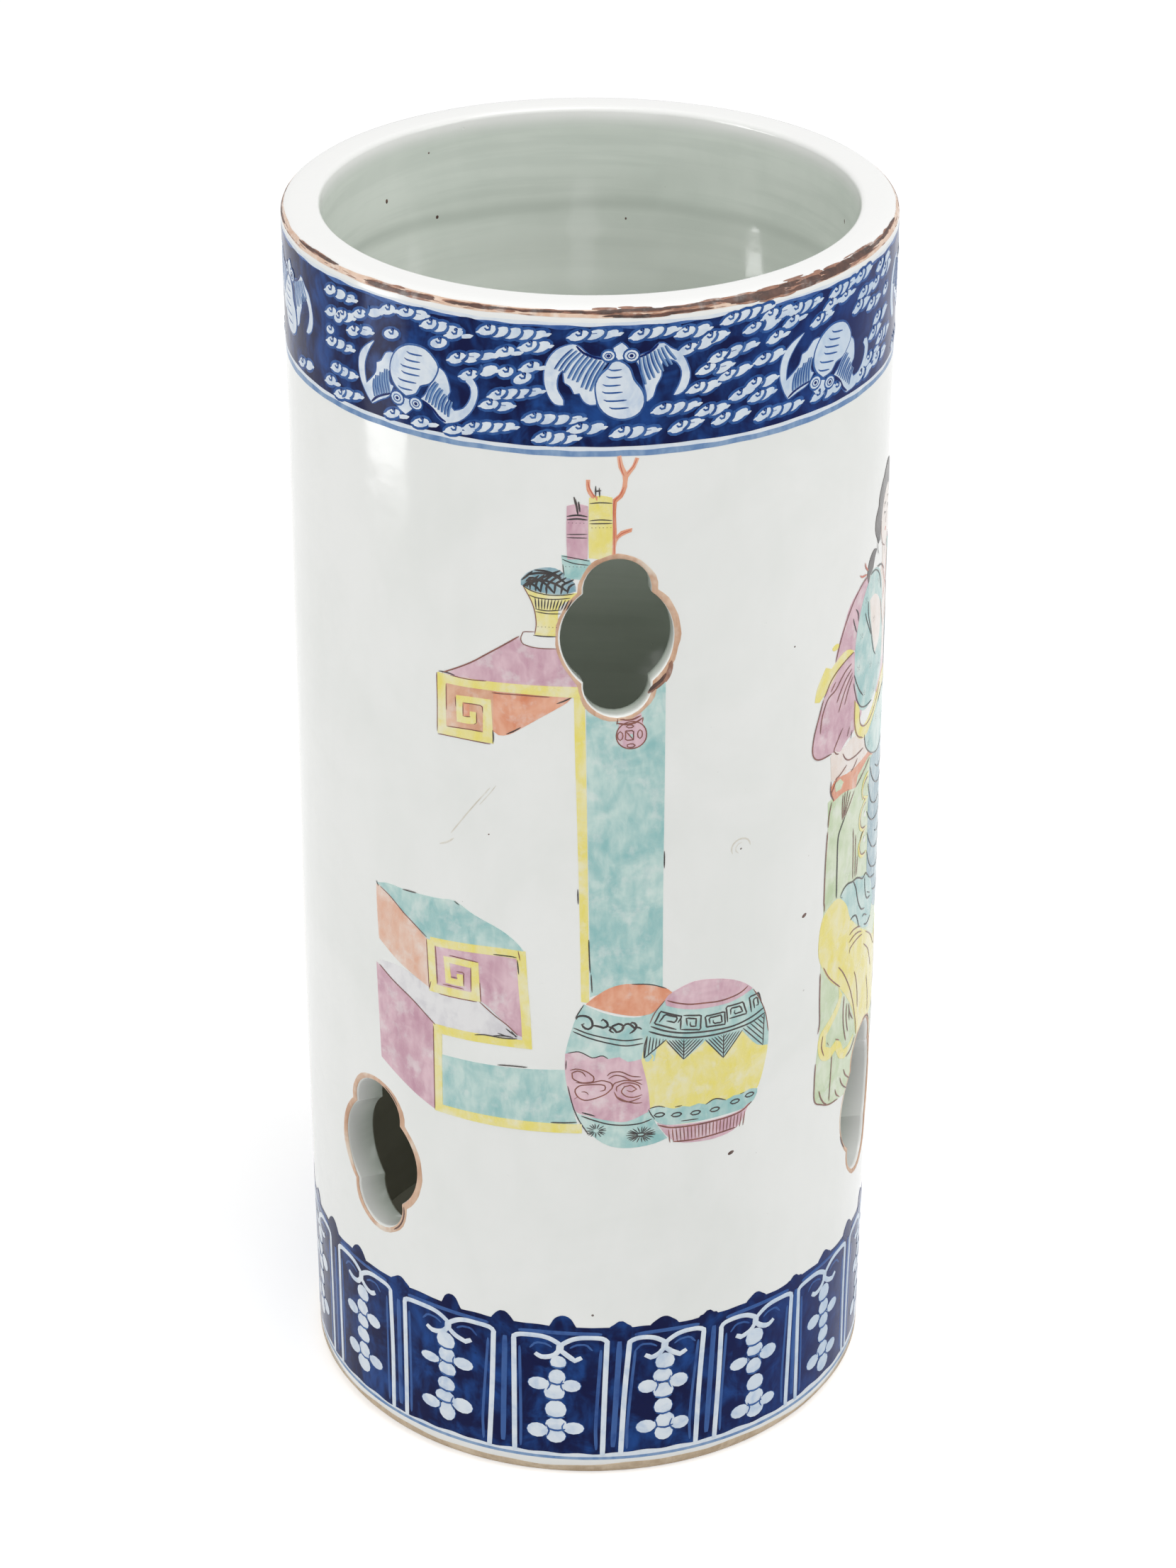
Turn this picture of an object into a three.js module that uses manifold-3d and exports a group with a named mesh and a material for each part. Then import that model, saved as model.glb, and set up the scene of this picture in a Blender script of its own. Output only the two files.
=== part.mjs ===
// Porcelain hat stand: an open cylinder with six pierced windows, two cobalt bands and enamelled pictures.
// Millimetres, +Z up. The origin is the middle of the foot, and the front upper window faces -Y.
// A place on the wall is a turn, in degrees from the front towards +X, and a height above the foot.
import * as THREE from "three";
import { mergeVertices } from "three/addons/utils/BufferGeometryUtils.js";
import Module from "manifold-3d";

// Driving sizes of the fired body
const height = 280;
const outer_radius = 63.8;
const wall = 8;
const seam_height = 142; // the two thrown sections are luted together here
const floor_thickness = 9;
const floor_recess = 3; // the foot ring stands this far below the floor slab
const floor_seat_width = 4;
const floor_clearance = 0.3;
const foot_bevel_width = 1.8;
const foot_bevel_height = 2.7;
const rim_outside_round = 2.2;
const rim_inside_round = 1.2;

// Driving sizes of the pierced windows
const upper_window = {
  width: 22.9,
  height: 34.8,
  lobe_radius: 6.9,
  side_radius: 12.8,
  below_rim: 70.6,
  turns: [0, 120, 240],
};
const lower_window = {
  width: 23.3,
  height: 37.2,
  lobe_radius: 7.1,
  side_radius: 13.4,
  above_foot: 73.7,
  turns: [-51.6, 67.1, 187.5],
};
const window_edge_width = 1.5; // the brown dressing round each cut
const window_edge_margin = 0.2;

// Driving sizes of the fired-on layers
const layer_gap = 0.05;
const layer_thickness = 0.3;
const cloud_band_height = 28;
const cloud_band_below_rim = 2.4;
const lappet_band_height = 38.4;
const lappet_band_above_foot = 3.6;

// How finely round shapes are cut into flat faces
const facets = 72;
const round_steps = 4;
const arc_steps = 7;
const longest_edge = 5; // an outline's straight edge is cut to follow the wall
const weld_distance = 0.001;
const cut_overrun = 2;

// The wall swells a little at its middle: shares of the height, and of the outer radius there
const swell_shares = [
  [0, 0.9965],
  [0.09, 0.9975],
  [0.2, 1.003],
  [0.31, 1.006],
  [0.42, 1.0055],
  [0.54, 1.0025],
  [0.67, 0.9995],
  [0.81, 0.9955],
  [0.93, 0.9945],
  [1, 0.996],
];

// Colours, as they look in plain daylight
const glaze_white = "#e6e8e4";
const cobalt_blue = "#22336f";
const edge_brown = "#c08a63";
const mauve = "#bd90aa";
const yellow = "#ece07c";
const turquoise = "#97cbc8";
const coral_orange = "#dd9a72";
const robe_green = "#bcd5b2";

// How dull each surface is, from 0 for a mirror to 1
const glaze_dullness = 0.12;
const floor_dullness = 0.2;
const enamel_dullness = 0.3;
const edge_dullness = 0.45;

const wasm = await Module();
wasm.setup();

const degrees = Math.PI / 180;
const upper_window_height = height - upper_window.below_rim;

// Outer radius of the wall at a height
function outerRadius(z) {
  const share = z / height;
  let k = 1;
  while (k < swell_shares.length - 1 && swell_shares[k][0] < share) k += 1;
  const [low, low_radius] = swell_shares[k - 1];
  const [high, high_radius] = swell_shares[k];
  const part = (share - low) / (high - low);
  return outer_radius * (low_radius + part * (high_radius - low_radius));
}

// Heights from bottom to top at which the swell is set out, both ends included
function stations(bottom, top) {
  const heights = swell_shares.map(([share]) => share * height);
  const inside = heights.filter((z) => z > bottom && z < top);
  return [bottom, ...inside, top];
}

// Profile points that follow the wall, set in from its outside by a depth
function wallLine(bottom, top, depth) {
  return stations(bottom, top).map((z) => [outerRadius(z) - depth, z]);
}

// A quarter round of the rim, from the upright side to the flat top
function quarterRound(edge_radius, size, outwards) {
  const points = [];
  for (let k = 0; k <= round_steps; k += 1) {
    const turn = ((k / round_steps) * Math.PI) / 2;
    const middle = edge_radius - outwards * size;
    points.push([middle + outwards * size * Math.cos(turn), height - size + size * Math.sin(turn)]);
  }
  return points;
}

// A solid of revolution about Z, from a profile that runs up its outside and down its inside
function spun(profile) {
  const points = profile.map(([radius, z]) => new THREE.Vector2(radius, z));
  points.push(points[0].clone());
  return new THREE.LatheGeometry(points, facets).rotateX(Math.PI / 2);
}

// A closed geometry as a solid that can be joined and cut
function asSolid(geometry) {
  const bare = geometry.clone();
  bare.deleteAttribute("normal");
  bare.deleteAttribute("uv");
  const merged = mergeVertices(bare, weld_distance);
  const triVerts = new Uint32Array(merged.index.array);
  const vertProperties = merged.attributes.position.array;
  return new wasm.Manifold(new wasm.Mesh({ numProp: 3, vertProperties, triVerts }));
}

// A solid as the geometry of a mesh
function asGeometry(solid) {
  const made = solid.getMesh();
  const places = new THREE.BufferAttribute(made.vertProperties, 3);
  const geometry = new THREE.BufferGeometry().setAttribute("position", places);
  geometry.setIndex(new THREE.BufferAttribute(made.triVerts, 1));
  return geometry;
}

const hat_stand = new THREE.Group();

function addPiece(name, solid, color, dullness) {
  const finish = { color, roughness: dullness, metalness: 0 };
  const material = new THREE.MeshStandardMaterial(finish);
  const geometry = asGeometry(solid);
  geometry.computeVertexNormals();
  const mesh = new THREE.Mesh(geometry, material);
  mesh.name = name;
  hat_stand.add(mesh);
}

// Four-lobed window outline, grown outwards by a margin: two side arcs and two end lobes
function quatrefoil(window, grow) {
  const lobe = window.lobe_radius + grow;
  const side = window.side_radius + grow;
  const lobe_rise = window.height / 2 - window.lobe_radius;
  const side_shift = window.side_radius - window.width / 2;
  const apart = Math.hypot(side_shift, lobe_rise);
  const along = (side * side - lobe * lobe + apart * apart) / (2 * apart);
  const across = Math.sqrt(side * side - along * along);
  const corner_x = (side_shift * along + lobe_rise * across) / apart - side_shift;
  const corner_y = (lobe_rise * along - side_shift * across) / apart;
  const lobe_turn = Math.atan2(corner_y - lobe_rise, corner_x);
  const side_turn = Math.atan2(corner_y, corner_x + side_shift);
  const arcs = [
    [-side_shift, 0, side, -side_turn, side_turn],
    [0, lobe_rise, lobe, lobe_turn, Math.PI - lobe_turn],
    [side_shift, 0, side, Math.PI - side_turn, Math.PI + side_turn],
    [0, -lobe_rise, lobe, Math.PI + lobe_turn, 2 * Math.PI - lobe_turn],
  ];
  const points = [];
  for (const [x, y, radius, start, end] of arcs) {
    for (let k = 0; k < arc_steps; k += 1) {
      const turn = start + ((end - start) * k) / arc_steps;
      points.push(new THREE.Vector2(x + radius * Math.cos(turn), y + radius * Math.sin(turn)));
    }
  }
  return points;
}

// A straight cutter through the wall at one window, shaped as the window grown by a margin
function windowCutter(window, middle, turn, grow) {
  const inner = outer_radius - wall - cut_overrun;
  const depth = wall + 2 * cut_overrun;
  const outline = new THREE.Shape(quatrefoil(window, grow));
  const cutter = new THREE.ExtrudeGeometry(outline, { depth, bevelEnabled: false, steps: 1 });
  cutter.translate(0, 0, inner).rotateX(Math.PI / 2).translate(0, 0, middle);
  return asSolid(cutter.rotateZ(turn * degrees));
}

// Every window as its kind, height and turn
const windows = [
  ...upper_window.turns.map((turn, k) => {
    return { name: `upper_${k + 1}`, window: upper_window, middle: upper_window_height, turn };
  }),
  ...lower_window.turns.map((turn, k) => {
    return { name: `lower_${k + 1}`, window: lower_window, middle: lower_window.above_foot, turn };
  }),
];

function cutWindows(solid, grow) {
  let left = solid;
  for (const { window, middle, turn } of windows) {
    left = left.subtract(windowCutter(window, middle, turn, grow));
  }
  return left;
}

// Lower thrown section: foot ring, seat for the floor, and the wall up to the seam
function makeLowerWall() {
  const foot_radius = outerRadius(foot_bevel_height) - foot_bevel_width;
  const seat_radius = outerRadius(floor_recess) - wall - floor_seat_width;
  const profile = [
    [seat_radius, 0],
    [foot_radius, 0],
    ...wallLine(foot_bevel_height, seam_height, 0),
    ...wallLine(floor_recess, seam_height, wall).reverse(),
    [seat_radius, floor_recess],
  ];
  addPiece("lower_wall", cutWindows(asSolid(spun(profile)), 0), glaze_white, glaze_dullness);
}

// Upper thrown section: the wall from the seam to the rounded rim, flat on top
function makeUpperWall() {
  const inner_edge = outerRadius(height) - wall;
  const outside = wallLine(seam_height, height - rim_outside_round, 0).slice(0, -1);
  const inside = wallLine(seam_height, height - rim_inside_round, wall).slice(0, -1);
  const profile = [
    ...outside,
    ...quarterRound(outerRadius(height), rim_outside_round, 1),
    ...quarterRound(inner_edge, rim_inside_round, -1).reverse(),
    ...inside.reverse(),
  ];
  addPiece("upper_wall", cutWindows(asSolid(spun(profile)), 0), glaze_white, glaze_dullness);
}

// Floor slab, dropped in from above and luted on its seat
function makeFloor() {
  const radius = outerRadius(floor_recess) - wall - floor_clearance;
  const slab = new THREE.CylinderGeometry(radius, radius, floor_thickness, facets);
  slab.rotateX(Math.PI / 2).translate(0, 0, floor_recess + floor_thickness / 2);
  addPiece("floor_slab", asSolid(slab), glaze_white, floor_dullness);
}

// A thin layer that covers the wall's outside from one height to another
function layer(bottom, top) {
  return asSolid(
    spun([
      ...wallLine(bottom, top, -layer_gap - layer_thickness),
      ...wallLine(bottom, top, -layer_gap).reverse(),
    ]),
  );
}

function makeBands() {
  const cloud_top = height - cloud_band_below_rim;
  const clouds = layer(cloud_top - cloud_band_height, cloud_top);
  const lappets = layer(lappet_band_above_foot, lappet_band_above_foot + lappet_band_height);
  addPiece("cloud_band", cutWindows(clouds, window_edge_width), cobalt_blue, glaze_dullness);
  addPiece("lappet_band", cutWindows(lappets, window_edge_width), cobalt_blue, glaze_dullness);
}

// The brown dressing painted round the outside edge of each window
function makeWindowEdges() {
  for (const { name, window, middle, turn } of windows) {
    const reach = window.height / 2 + window_edge_width + window_edge_margin;
    const around = layer(middle - reach, middle + reach);
    const outside = windowCutter(window, middle, turn, window_edge_width);
    const inside = windowCutter(window, middle, turn, 0);
    const edge = around.intersect(outside).subtract(inside);
    addPiece(`window_edge_${name}`, edge, edge_brown, edge_dullness);
  }
}

// An outline of turns and heights, grown outwards all round by a margin
function grownOutline(outline, margin) {
  const arc = degrees * outer_radius;
  const flat = outline.map((point) => new THREE.Vector2(point.x * arc, point.y));
  const outwards = THREE.ShapeUtils.isClockWise(flat) ? 1 : -1;
  const count = flat.length;
  return flat.map((point, k) => {
    const before = point.clone().sub(flat[(k + count - 1) % count]).normalize();
    const after = flat[(k + 1) % count].clone().sub(point).normalize();
    const along = before.add(after).normalize();
    const x = point.x - along.y * margin * outwards;
    const y = point.y + along.x * margin * outwards;
    return new THREE.Vector2(x / arc, y);
  });
}

// A picture's outline as turns and heights, its long edges cut short
function placedOutline(picture) {
  const { left, right, bottom, top, outline_shares } = picture;
  const corners = outline_shares.map(([across, up]) => {
    return [left + across * (right - left), bottom + up * (top - bottom)];
  });
  const points = [];
  corners.forEach(([turn, z], k) => {
    const [next_turn, next_z] = corners[(k + 1) % corners.length];
    const run = Math.hypot((next_turn - turn) * degrees * outer_radius, next_z - z);
    const pieces = Math.ceil(run / longest_edge);
    for (let i = 0; i < pieces; i += 1) {
      const part = i / pieces;
      points.push(new THREE.Vector2(turn + part * (next_turn - turn), z + part * (next_z - z)));
    }
  });
  return points;
}

// A cutter whose sides run straight out from the middle axis through an outline on the wall
function radialCutter(outline) {
  const near = outer_radius - wall;
  const far = 2 * outer_radius;
  const count = outline.length;
  const places = [];
  for (const radius of [near, far]) {
    for (const point of outline) {
      const turn = point.x * degrees;
      places.push(radius * Math.sin(turn), -radius * Math.cos(turn), point.y);
    }
  }
  const faces = [];
  for (const [a, b, c] of THREE.ShapeUtils.triangulateShape(outline, [])) {
    faces.push(a, c, b);
    faces.push(count + a, count + b, count + c);
  }
  for (let k = 0; k < count; k += 1) {
    const next = (k + 1) % count;
    faces.push(k, next, count + next);
    faces.push(k, count + next, count + k);
  }
  const cutter = new THREE.BufferGeometry();
  cutter.setAttribute("position", new THREE.Float32BufferAttribute(places, 3));
  cutter.setIndex(faces);
  return asSolid(cutter);
}

// Where each enamelled picture lies: turns of its sides, its heights, and its outline in shares of both.
// They are listed from front to back, and each gives way to those listed before it.
const vase_foot_below_window = 1.4;
const table_back_below_window = 0.4;
const jar_top_above_window = 33.6;
const coral_foot_above_window = 19.4;
const coral_tip_above_window = 39.6;
const picture_parting = 0.3; // bare glaze between two pictures that meet

// A height between the middles of the two rows of windows, as a share of the way up
function between(share) {
  const low = lower_window.above_foot;
  return low + share * (upper_window_height - low);
}

const pictures = [
  {
    name: "enamel_front_stool",
    color: yellow,
    left: 5.2,
    right: 31.7,
    bottom: between(0.097),
    top: between(0.393),
    outline_shares: [
      [0.3, 0.03],
      [0.55, 0],
      [0.73, 0.02],
      [0.88, 0.2],
      [0.98, 0.45],
      [1, 0.62],
      [0.88, 0.86],
      [0.7, 0.96],
      [0.48, 1],
      [0.3, 0.96],
      [0.15, 0.88],
      [0.02, 0.62],
      [0.02, 0.42],
      [0.1, 0.24],
    ],
  },
  {
    name: "enamel_back_stool",
    color: turquoise,
    left: -9.5,
    right: 10.2,
    bottom: between(0.105),
    top: between(0.405),
    outline_shares: [
      [0.1, 0.16],
      [0.3, 0.02],
      [0.55, 0],
      [0.78, 0.06],
      [0.74, 0.26],
      [0.74, 0.7],
      [0.88, 0.86],
      [0.97, 0.91],
      [0.78, 0.96],
      [0.54, 1],
      [0.2, 0.9],
      [0.02, 0.72],
      [0, 0.5],
    ],
  },
  {
    name: "enamel_vase_group",
    color: yellow,
    left: -17.6,
    right: -0.7,
    bottom: upper_window_height - vase_foot_below_window,
    top: upper_window_height + jar_top_above_window,
    outline_shares: [
      [0, 0.01],
      [1, 0.01],
      [1, 0.9],
      [0.88, 0.93],
      [0.84, 1],
      [0.76, 0.93],
      [0.72, 0.87],
      [0.69, 0.87],
      [0.6, 0.92],
      [0.58, 0.87],
      [0.49, 0.83],
      [0.49, 0.57],
      [0.43, 0.58],
      [0.43, 0.49],
      [0.24, 0.5],
      [0.02, 0.42],
      [0, 0.39],
      [0.14, 0.3],
      [0.15, 0.1],
      [0, 0.07],
    ],
  },
  {
    name: "enamel_coral_branch",
    color: coral_orange,
    left: -0.3,
    right: 3.7,
    bottom: upper_window_height + coral_foot_above_window,
    top: upper_window_height + coral_tip_above_window,
    outline_shares: [
      [0, 0],
      [0.12, 0],
      [0.2, 0.14],
      [0.86, 0.22],
      [0.8, 0.28],
      [0.24, 0.22],
      [0.2, 0.54],
      [0.5, 0.62],
      [0.58, 0.8],
      [1, 0.92],
      [0.94, 0.98],
      [0.5, 0.86],
      [0.24, 1],
      [0.1, 0.98],
      [0.4, 0.8],
      [0.36, 0.66],
      [0.02, 0.54],
    ],
  },
  {
    name: "enamel_table_top",
    color: mauve,
    left: -34.2,
    right: -6,
    bottom: between(0.815),
    top: upper_window_height - table_back_below_window,
    outline_shares: [
      [0, 0],
      [0.4, 0],
      [0.46, 0.11],
      [0.53, 0.11],
      [0.9, 0.47],
      [1, 0.5],
      [1, 0.99],
      [0.575, 1],
      [0.09, 0.58],
      [0.01, 0.54],
    ],
  },
  {
    name: "enamel_table_leg",
    color: turquoise,
    left: -7.8,
    right: 9.2,
    bottom: between(0.38),
    top: between(0.92),
    outline_shares: [
      [0.08, 0],
      [0.17, 0],
      [0.22, 0.03],
      [1, 0.03],
      [1, 1],
      [0.5, 0.9],
      [0, 0.9],
    ],
  },
  {
    name: "enamel_table_foot",
    color: turquoise,
    left: -50.4,
    right: -9.8,
    bottom: between(0.135),
    top: between(0.53),
    outline_shares: [
      [0.32, 0],
      [1, 0.01],
      [0.94, 0.11],
      [0.93, 0.285],
      [0.37, 0.27],
      [0.37, 0.37],
      [0.78, 0.39],
      [0.755, 0.825],
      [0.7, 0.86],
      [0.42, 1],
      [0.035, 0.975],
      [0, 0.94],
      [0, 0.15],
    ],
  },
  {
    name: "enamel_robed_figure",
    color: robe_green,
    left: 41.2,
    right: 92,
    bottom: between(0.046),
    top: between(1.122),
    outline_shares: [
      [0.1, 0.04],
      [0.3, 0],
      [0.8, 0.02],
      [0.98, 0.1],
      [0.97, 0.4],
      [1, 0.7],
      [0.9, 0.84],
      [0.74, 0.87],
      [0.76, 0.97],
      [0.66, 1],
      [0.53, 0.97],
      [0.5, 0.91],
      [0.42, 0.87],
      [0.16, 0.8],
      [0.02, 0.73],
      [0, 0.64],
      [0.12, 0.6],
      [0.11, 0.38],
      [0.08, 0.31],
      [0.1, 0.25],
    ],
  },
  {
    name: "enamel_rear_flower_vase",
    color: mauve,
    left: 104,
    right: 150,
    bottom: between(-0.13),
    top: between(0.754),
    outline_shares: [
      [0.25, 0],
      [0.75, 0],
      [0.8, 0.12],
      [0.7, 0.2],
      [0.78, 0.35],
      [0.62, 0.52],
      [0.9, 0.6],
      [1, 0.78],
      [0.8, 0.95],
      [0.5, 1],
      [0.2, 0.95],
      [0, 0.78],
      [0.1, 0.6],
      [0.38, 0.52],
      [0.22, 0.35],
      [0.3, 0.2],
      [0.2, 0.12],
    ],
  },
  {
    name: "enamel_rear_incense_burner",
    color: turquoise,
    left: 216,
    right: 268,
    bottom: between(-0.13),
    top: between(0.754),
    outline_shares: [
      [0.1, 0],
      [0.9, 0],
      [0.95, 0.36],
      [0.82, 0.42],
      [0.86, 0.72],
      [0.62, 0.82],
      [0.56, 1],
      [0.44, 1],
      [0.38, 0.82],
      [0.14, 0.72],
      [0.18, 0.42],
      [0.05, 0.36],
    ],
  },
];

function makePictures() {
  const margin = window_edge_width + window_edge_margin;
  const in_front = [];
  for (const picture of pictures) {
    const skin = layer(picture.bottom - cut_overrun, picture.top + cut_overrun);
    const outline = placedOutline(picture);
    let painted = cutWindows(skin.intersect(radialCutter(outline)), margin);
    for (const nearer of in_front) {
      painted = painted.subtract(radialCutter(grownOutline(nearer, picture_parting)));
    }
    addPiece(picture.name, painted, picture.color, enamel_dullness);
    in_front.push(outline);
  }
}

makeLowerWall();
makeUpperWall();
makeFloor();
makeBands();
makeWindowEdges();
makePictures();

export default hat_stand;
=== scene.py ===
# Porcelain hat stand: the fired body, its cobalt bands, the brown window edges and the enamelled pictures.
# Lengths are in millimetres until a mesh is made. Paint is laid out on the unrolled wall: u runs round it
# to the viewer's right, with nought facing the camera, and z is the height above the foot.
import math
import random
import bmesh
import bpy
import numpy as np
from mathutils import Euler, Matrix, Vector
from mathutils.geometry import delaunay_2d_cdt


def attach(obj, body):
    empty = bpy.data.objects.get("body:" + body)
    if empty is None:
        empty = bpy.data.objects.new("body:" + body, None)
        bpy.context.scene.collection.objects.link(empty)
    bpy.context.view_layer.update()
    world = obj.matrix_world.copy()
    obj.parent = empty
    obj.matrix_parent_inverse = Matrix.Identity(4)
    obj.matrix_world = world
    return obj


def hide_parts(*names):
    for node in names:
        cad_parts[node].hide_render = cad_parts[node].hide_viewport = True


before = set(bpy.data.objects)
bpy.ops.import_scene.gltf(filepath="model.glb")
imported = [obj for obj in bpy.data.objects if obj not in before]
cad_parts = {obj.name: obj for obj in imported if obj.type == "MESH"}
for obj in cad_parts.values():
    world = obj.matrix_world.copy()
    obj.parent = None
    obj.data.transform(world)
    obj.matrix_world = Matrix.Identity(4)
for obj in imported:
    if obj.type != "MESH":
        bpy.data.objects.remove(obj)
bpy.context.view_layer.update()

MM = 0.001
HEIGHT = 280.0
OUTER_RADIUS = 63.8
WALL = 8.0
SEAM_HEIGHT = 142.0
FLOOR_TOP = 12.0
FLOOR_RECESS = 3.0
FLOOR_SEAT = 4.0
FOOT_BEVEL = (1.8, 2.7)  # width and height
RIM_OUTSIDE_ROUND = 2.2
RIM_INSIDE_ROUND = 1.2
LIP_ROUND = 0.9  # the glazed outside edge of a window
INNER_LIP_ROUND = 0.7
FRONT_OFFSET = 5.7  # u of the middle of the front upper window
TAU = 2 * math.pi
AROUND = TAU * OUTER_RADIUS
COLUMNS = 180  # of the wall's mesh, right round
ROW_STEP = 3.4  # greatest height of its rows
ARC_STEPS = 16  # points on each of a window's four arcs
SHEET_START = 200  # degrees back from the front where the unrolled wall begins
CORNER = math.radians(50)  # a painted outline turns sharply past this angle
PAINT_STEP = 1.7
SINK = 0.04  # how far a layer reaches into the wall below it
SOFT_INSET = 0.4  # a fill has a second row of points this far inside its outline
FAR_INSIDE = 5.0  # edge value of a mesh that has no washed-out border
WINDOW_SLANT = 2.3  # how much lower a window's inner outline sits than its outer one
STROKE_FLATNESS = 0.16  # half thickness of a brush stroke, as a share of its half width

# The wall swells a little at its middle: share of the height, share of the outer radius
SWELL = np.array([
    (0, 0.9965), (0.09, 0.9975), (0.2, 1.003), (0.31, 1.006), (0.42, 1.0055),
    (0.54, 1.0025), (0.67, 0.9995), (0.81, 0.9955), (0.93, 0.9945), (1, 0.996),
])
SWELL_SLOPE = np.gradient(SWELL[:, 1], SWELL[:, 0])

# Windows: width, height, radius of the end lobes, radius of the sides, height of the middle, turns
UPPER_WINDOW = (22.9, 34.8, 6.9, 12.8, 209.4, (0, 120, 240))
LOWER_WINDOW = (23.3, 37.2, 7.1, 13.4, 73.7, (-51.6, 67.1, 187.5))
WINDOWS = [("upper_%d" % (k + 1), UPPER_WINDOW, t) for k, t in enumerate(UPPER_WINDOW[5])]
WINDOWS += [("lower_%d" % (k + 1), LOWER_WINDOW, t) for k, t in enumerate(LOWER_WINDOW[5])]


def wall_radius(z):
    """Outside radius of the wall at a height, without the rim's and the foot's rounding."""
    share = np.clip(np.asarray(z, float) / HEIGHT, 0, 1)
    k = np.clip(np.searchsorted(SWELL[:, 0], share) - 1, 0, len(SWELL) - 2)
    run = SWELL[k + 1, 0] - SWELL[k, 0]
    t = (share - SWELL[k, 0]) / run
    return OUTER_RADIUS * (
        SWELL[k, 1] * (2 * t**3 - 3 * t**2 + 1) + SWELL[k + 1, 1] * (3 * t**2 - 2 * t**3)
        + run * SWELL_SLOPE[k] * (t**3 - 2 * t**2 + t) + run * SWELL_SLOPE[k + 1] * (t**3 - t**2)
    )


def in_space(radius, turns, z):
    """Places in metres at a radius, turns from the front and a height."""
    return np.column_stack([radius * np.sin(turns), -radius * np.cos(turns), z]) * MM


def on_wall(flat, lift):
    """Places in metres of flat places (u, z) raised off the glaze; past its start, z follows the rim's round."""
    flat = np.asarray(flat, float)
    turn = (flat[:, 0] - FRONT_OFFSET) / OUTER_RADIUS
    start = HEIGHT - RIM_OUTSIDE_ROUND
    bend = np.clip((flat[:, 1] - start) / RIM_OUTSIDE_ROUND, 0, math.pi / 2)
    reach = RIM_OUTSIDE_ROUND * (np.cos(bend) - 1) + lift * np.cos(bend)
    radius = wall_radius(np.minimum(flat[:, 1], start)) + reach
    z = np.minimum(flat[:, 1], start) + (RIM_OUTSIDE_ROUND + lift) * np.sin(bend)
    return in_space(radius, turn, np.minimum(z, HEIGHT))


def places(text):
    """Flat places written as 'u,z u,z ...'."""
    return np.array([[float(v) for v in pair.split(",")] for pair in text.split()])


def eased(points, closed=True, step=PAINT_STEP):
    """A smooth line through points, kept sharp at corners, with a point every step or closer."""
    points = np.asarray(points, float)
    count = len(points)
    before = np.roll(points, 1, 0)
    after = np.roll(points, -1, 0)
    if not closed:
        before[0], after[-1] = points[0], points[-1]
    came, goes = points - before, after - points
    arriving, leaving = np.arctan2(came[:, 1], came[:, 0]), np.arctan2(goes[:, 1], goes[:, 0])
    turning = np.abs((arriving - leaving + math.pi) % TAU - math.pi)
    heading = after - before
    heading /= np.maximum(np.linalg.norm(heading, axis=1, keepdims=True), 1e-9)
    sharp = turning > CORNER
    if not closed:
        sharp[0] = sharp[-1] = True
    made = []
    for k in range(count if closed else count - 1):
        a, b = points[k], points[(k + 1) % count]
        run = b - a
        length = max(np.hypot(*run), 1e-6)
        leave = run if sharp[k] else heading[k] * length
        reach = run if sharp[(k + 1) % count] else heading[(k + 1) % count] * length
        t = (np.arange(max(1, math.ceil(length / step))) / max(1, math.ceil(length / step)))[:, None]
        made.append(a * (2 * t**3 - 3 * t**2 + 1) + b * (3 * t**2 - 2 * t**3)
                    + leave * (t**3 - 2 * t**2 + t) + reach * (t**3 - t**2))
    if not closed:
        made.append(points[-1:])
    return np.vstack(made)


def inside(points, outline):
    """Which points lie in a closed outline."""
    x, y = points[:, 0][:, None], points[:, 1][:, None]
    ax, ay = outline[:, 0][None], outline[:, 1][None]
    bx, by = np.roll(outline, -1, 0).T
    crosses = (ay > y) != (by[None] > y)
    rise = np.where(by[None] == ay, 1e-12, by[None] - ay)
    return (crosses & (x < ax + (y - ay) * (bx[None] - ax) / rise)).sum(1) % 2 == 1


def triangles(vertices, edges):
    """Triangles among flat vertices that keep the given edges; new vertices only where edges cross."""
    found = delaunay_2d_cdt([tuple(v) for v in vertices], edges, [], 0, 1e-5)
    return np.array([tuple(v) for v in found[0]]), [tuple(f) for f in found[2]], found[3]


def ring_edges(start, count):
    """Edges that close a run of numbered points into a ring."""
    return [(start + k, start + (k + 1) % count) for k in range(count)]


def edge_distance(points, outlines):
    """How far each flat place is from the nearest of the closed outlines."""
    nearest = np.full(len(points), FAR_INSIDE)
    for outline in outlines:
        start = outline[None]
        run = np.roll(outline, -1, 0)[None] - start
        away = points[:, None] - start
        share = np.clip((away * run).sum(2) / np.maximum((run**2).sum(2), 1e-12), 0, 1)
        nearest = np.minimum(nearest, np.linalg.norm(away - share[..., None] * run, axis=2).min(1))
    return nearest


def inset(outline, depth):
    """Places inside a closed outline, at a depth from it."""
    along = np.roll(outline, -1, 0) - np.roll(outline, 1, 0)
    along /= np.maximum(np.linalg.norm(along, axis=1, keepdims=True), 1e-9)
    both = np.vstack([outline + side * depth * along[:, ::-1] * (1, -1) for side in (-1, 1)])
    return both[inside(both, outline) & (edge_distance(both, [outline]) > depth * 0.8)]


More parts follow.
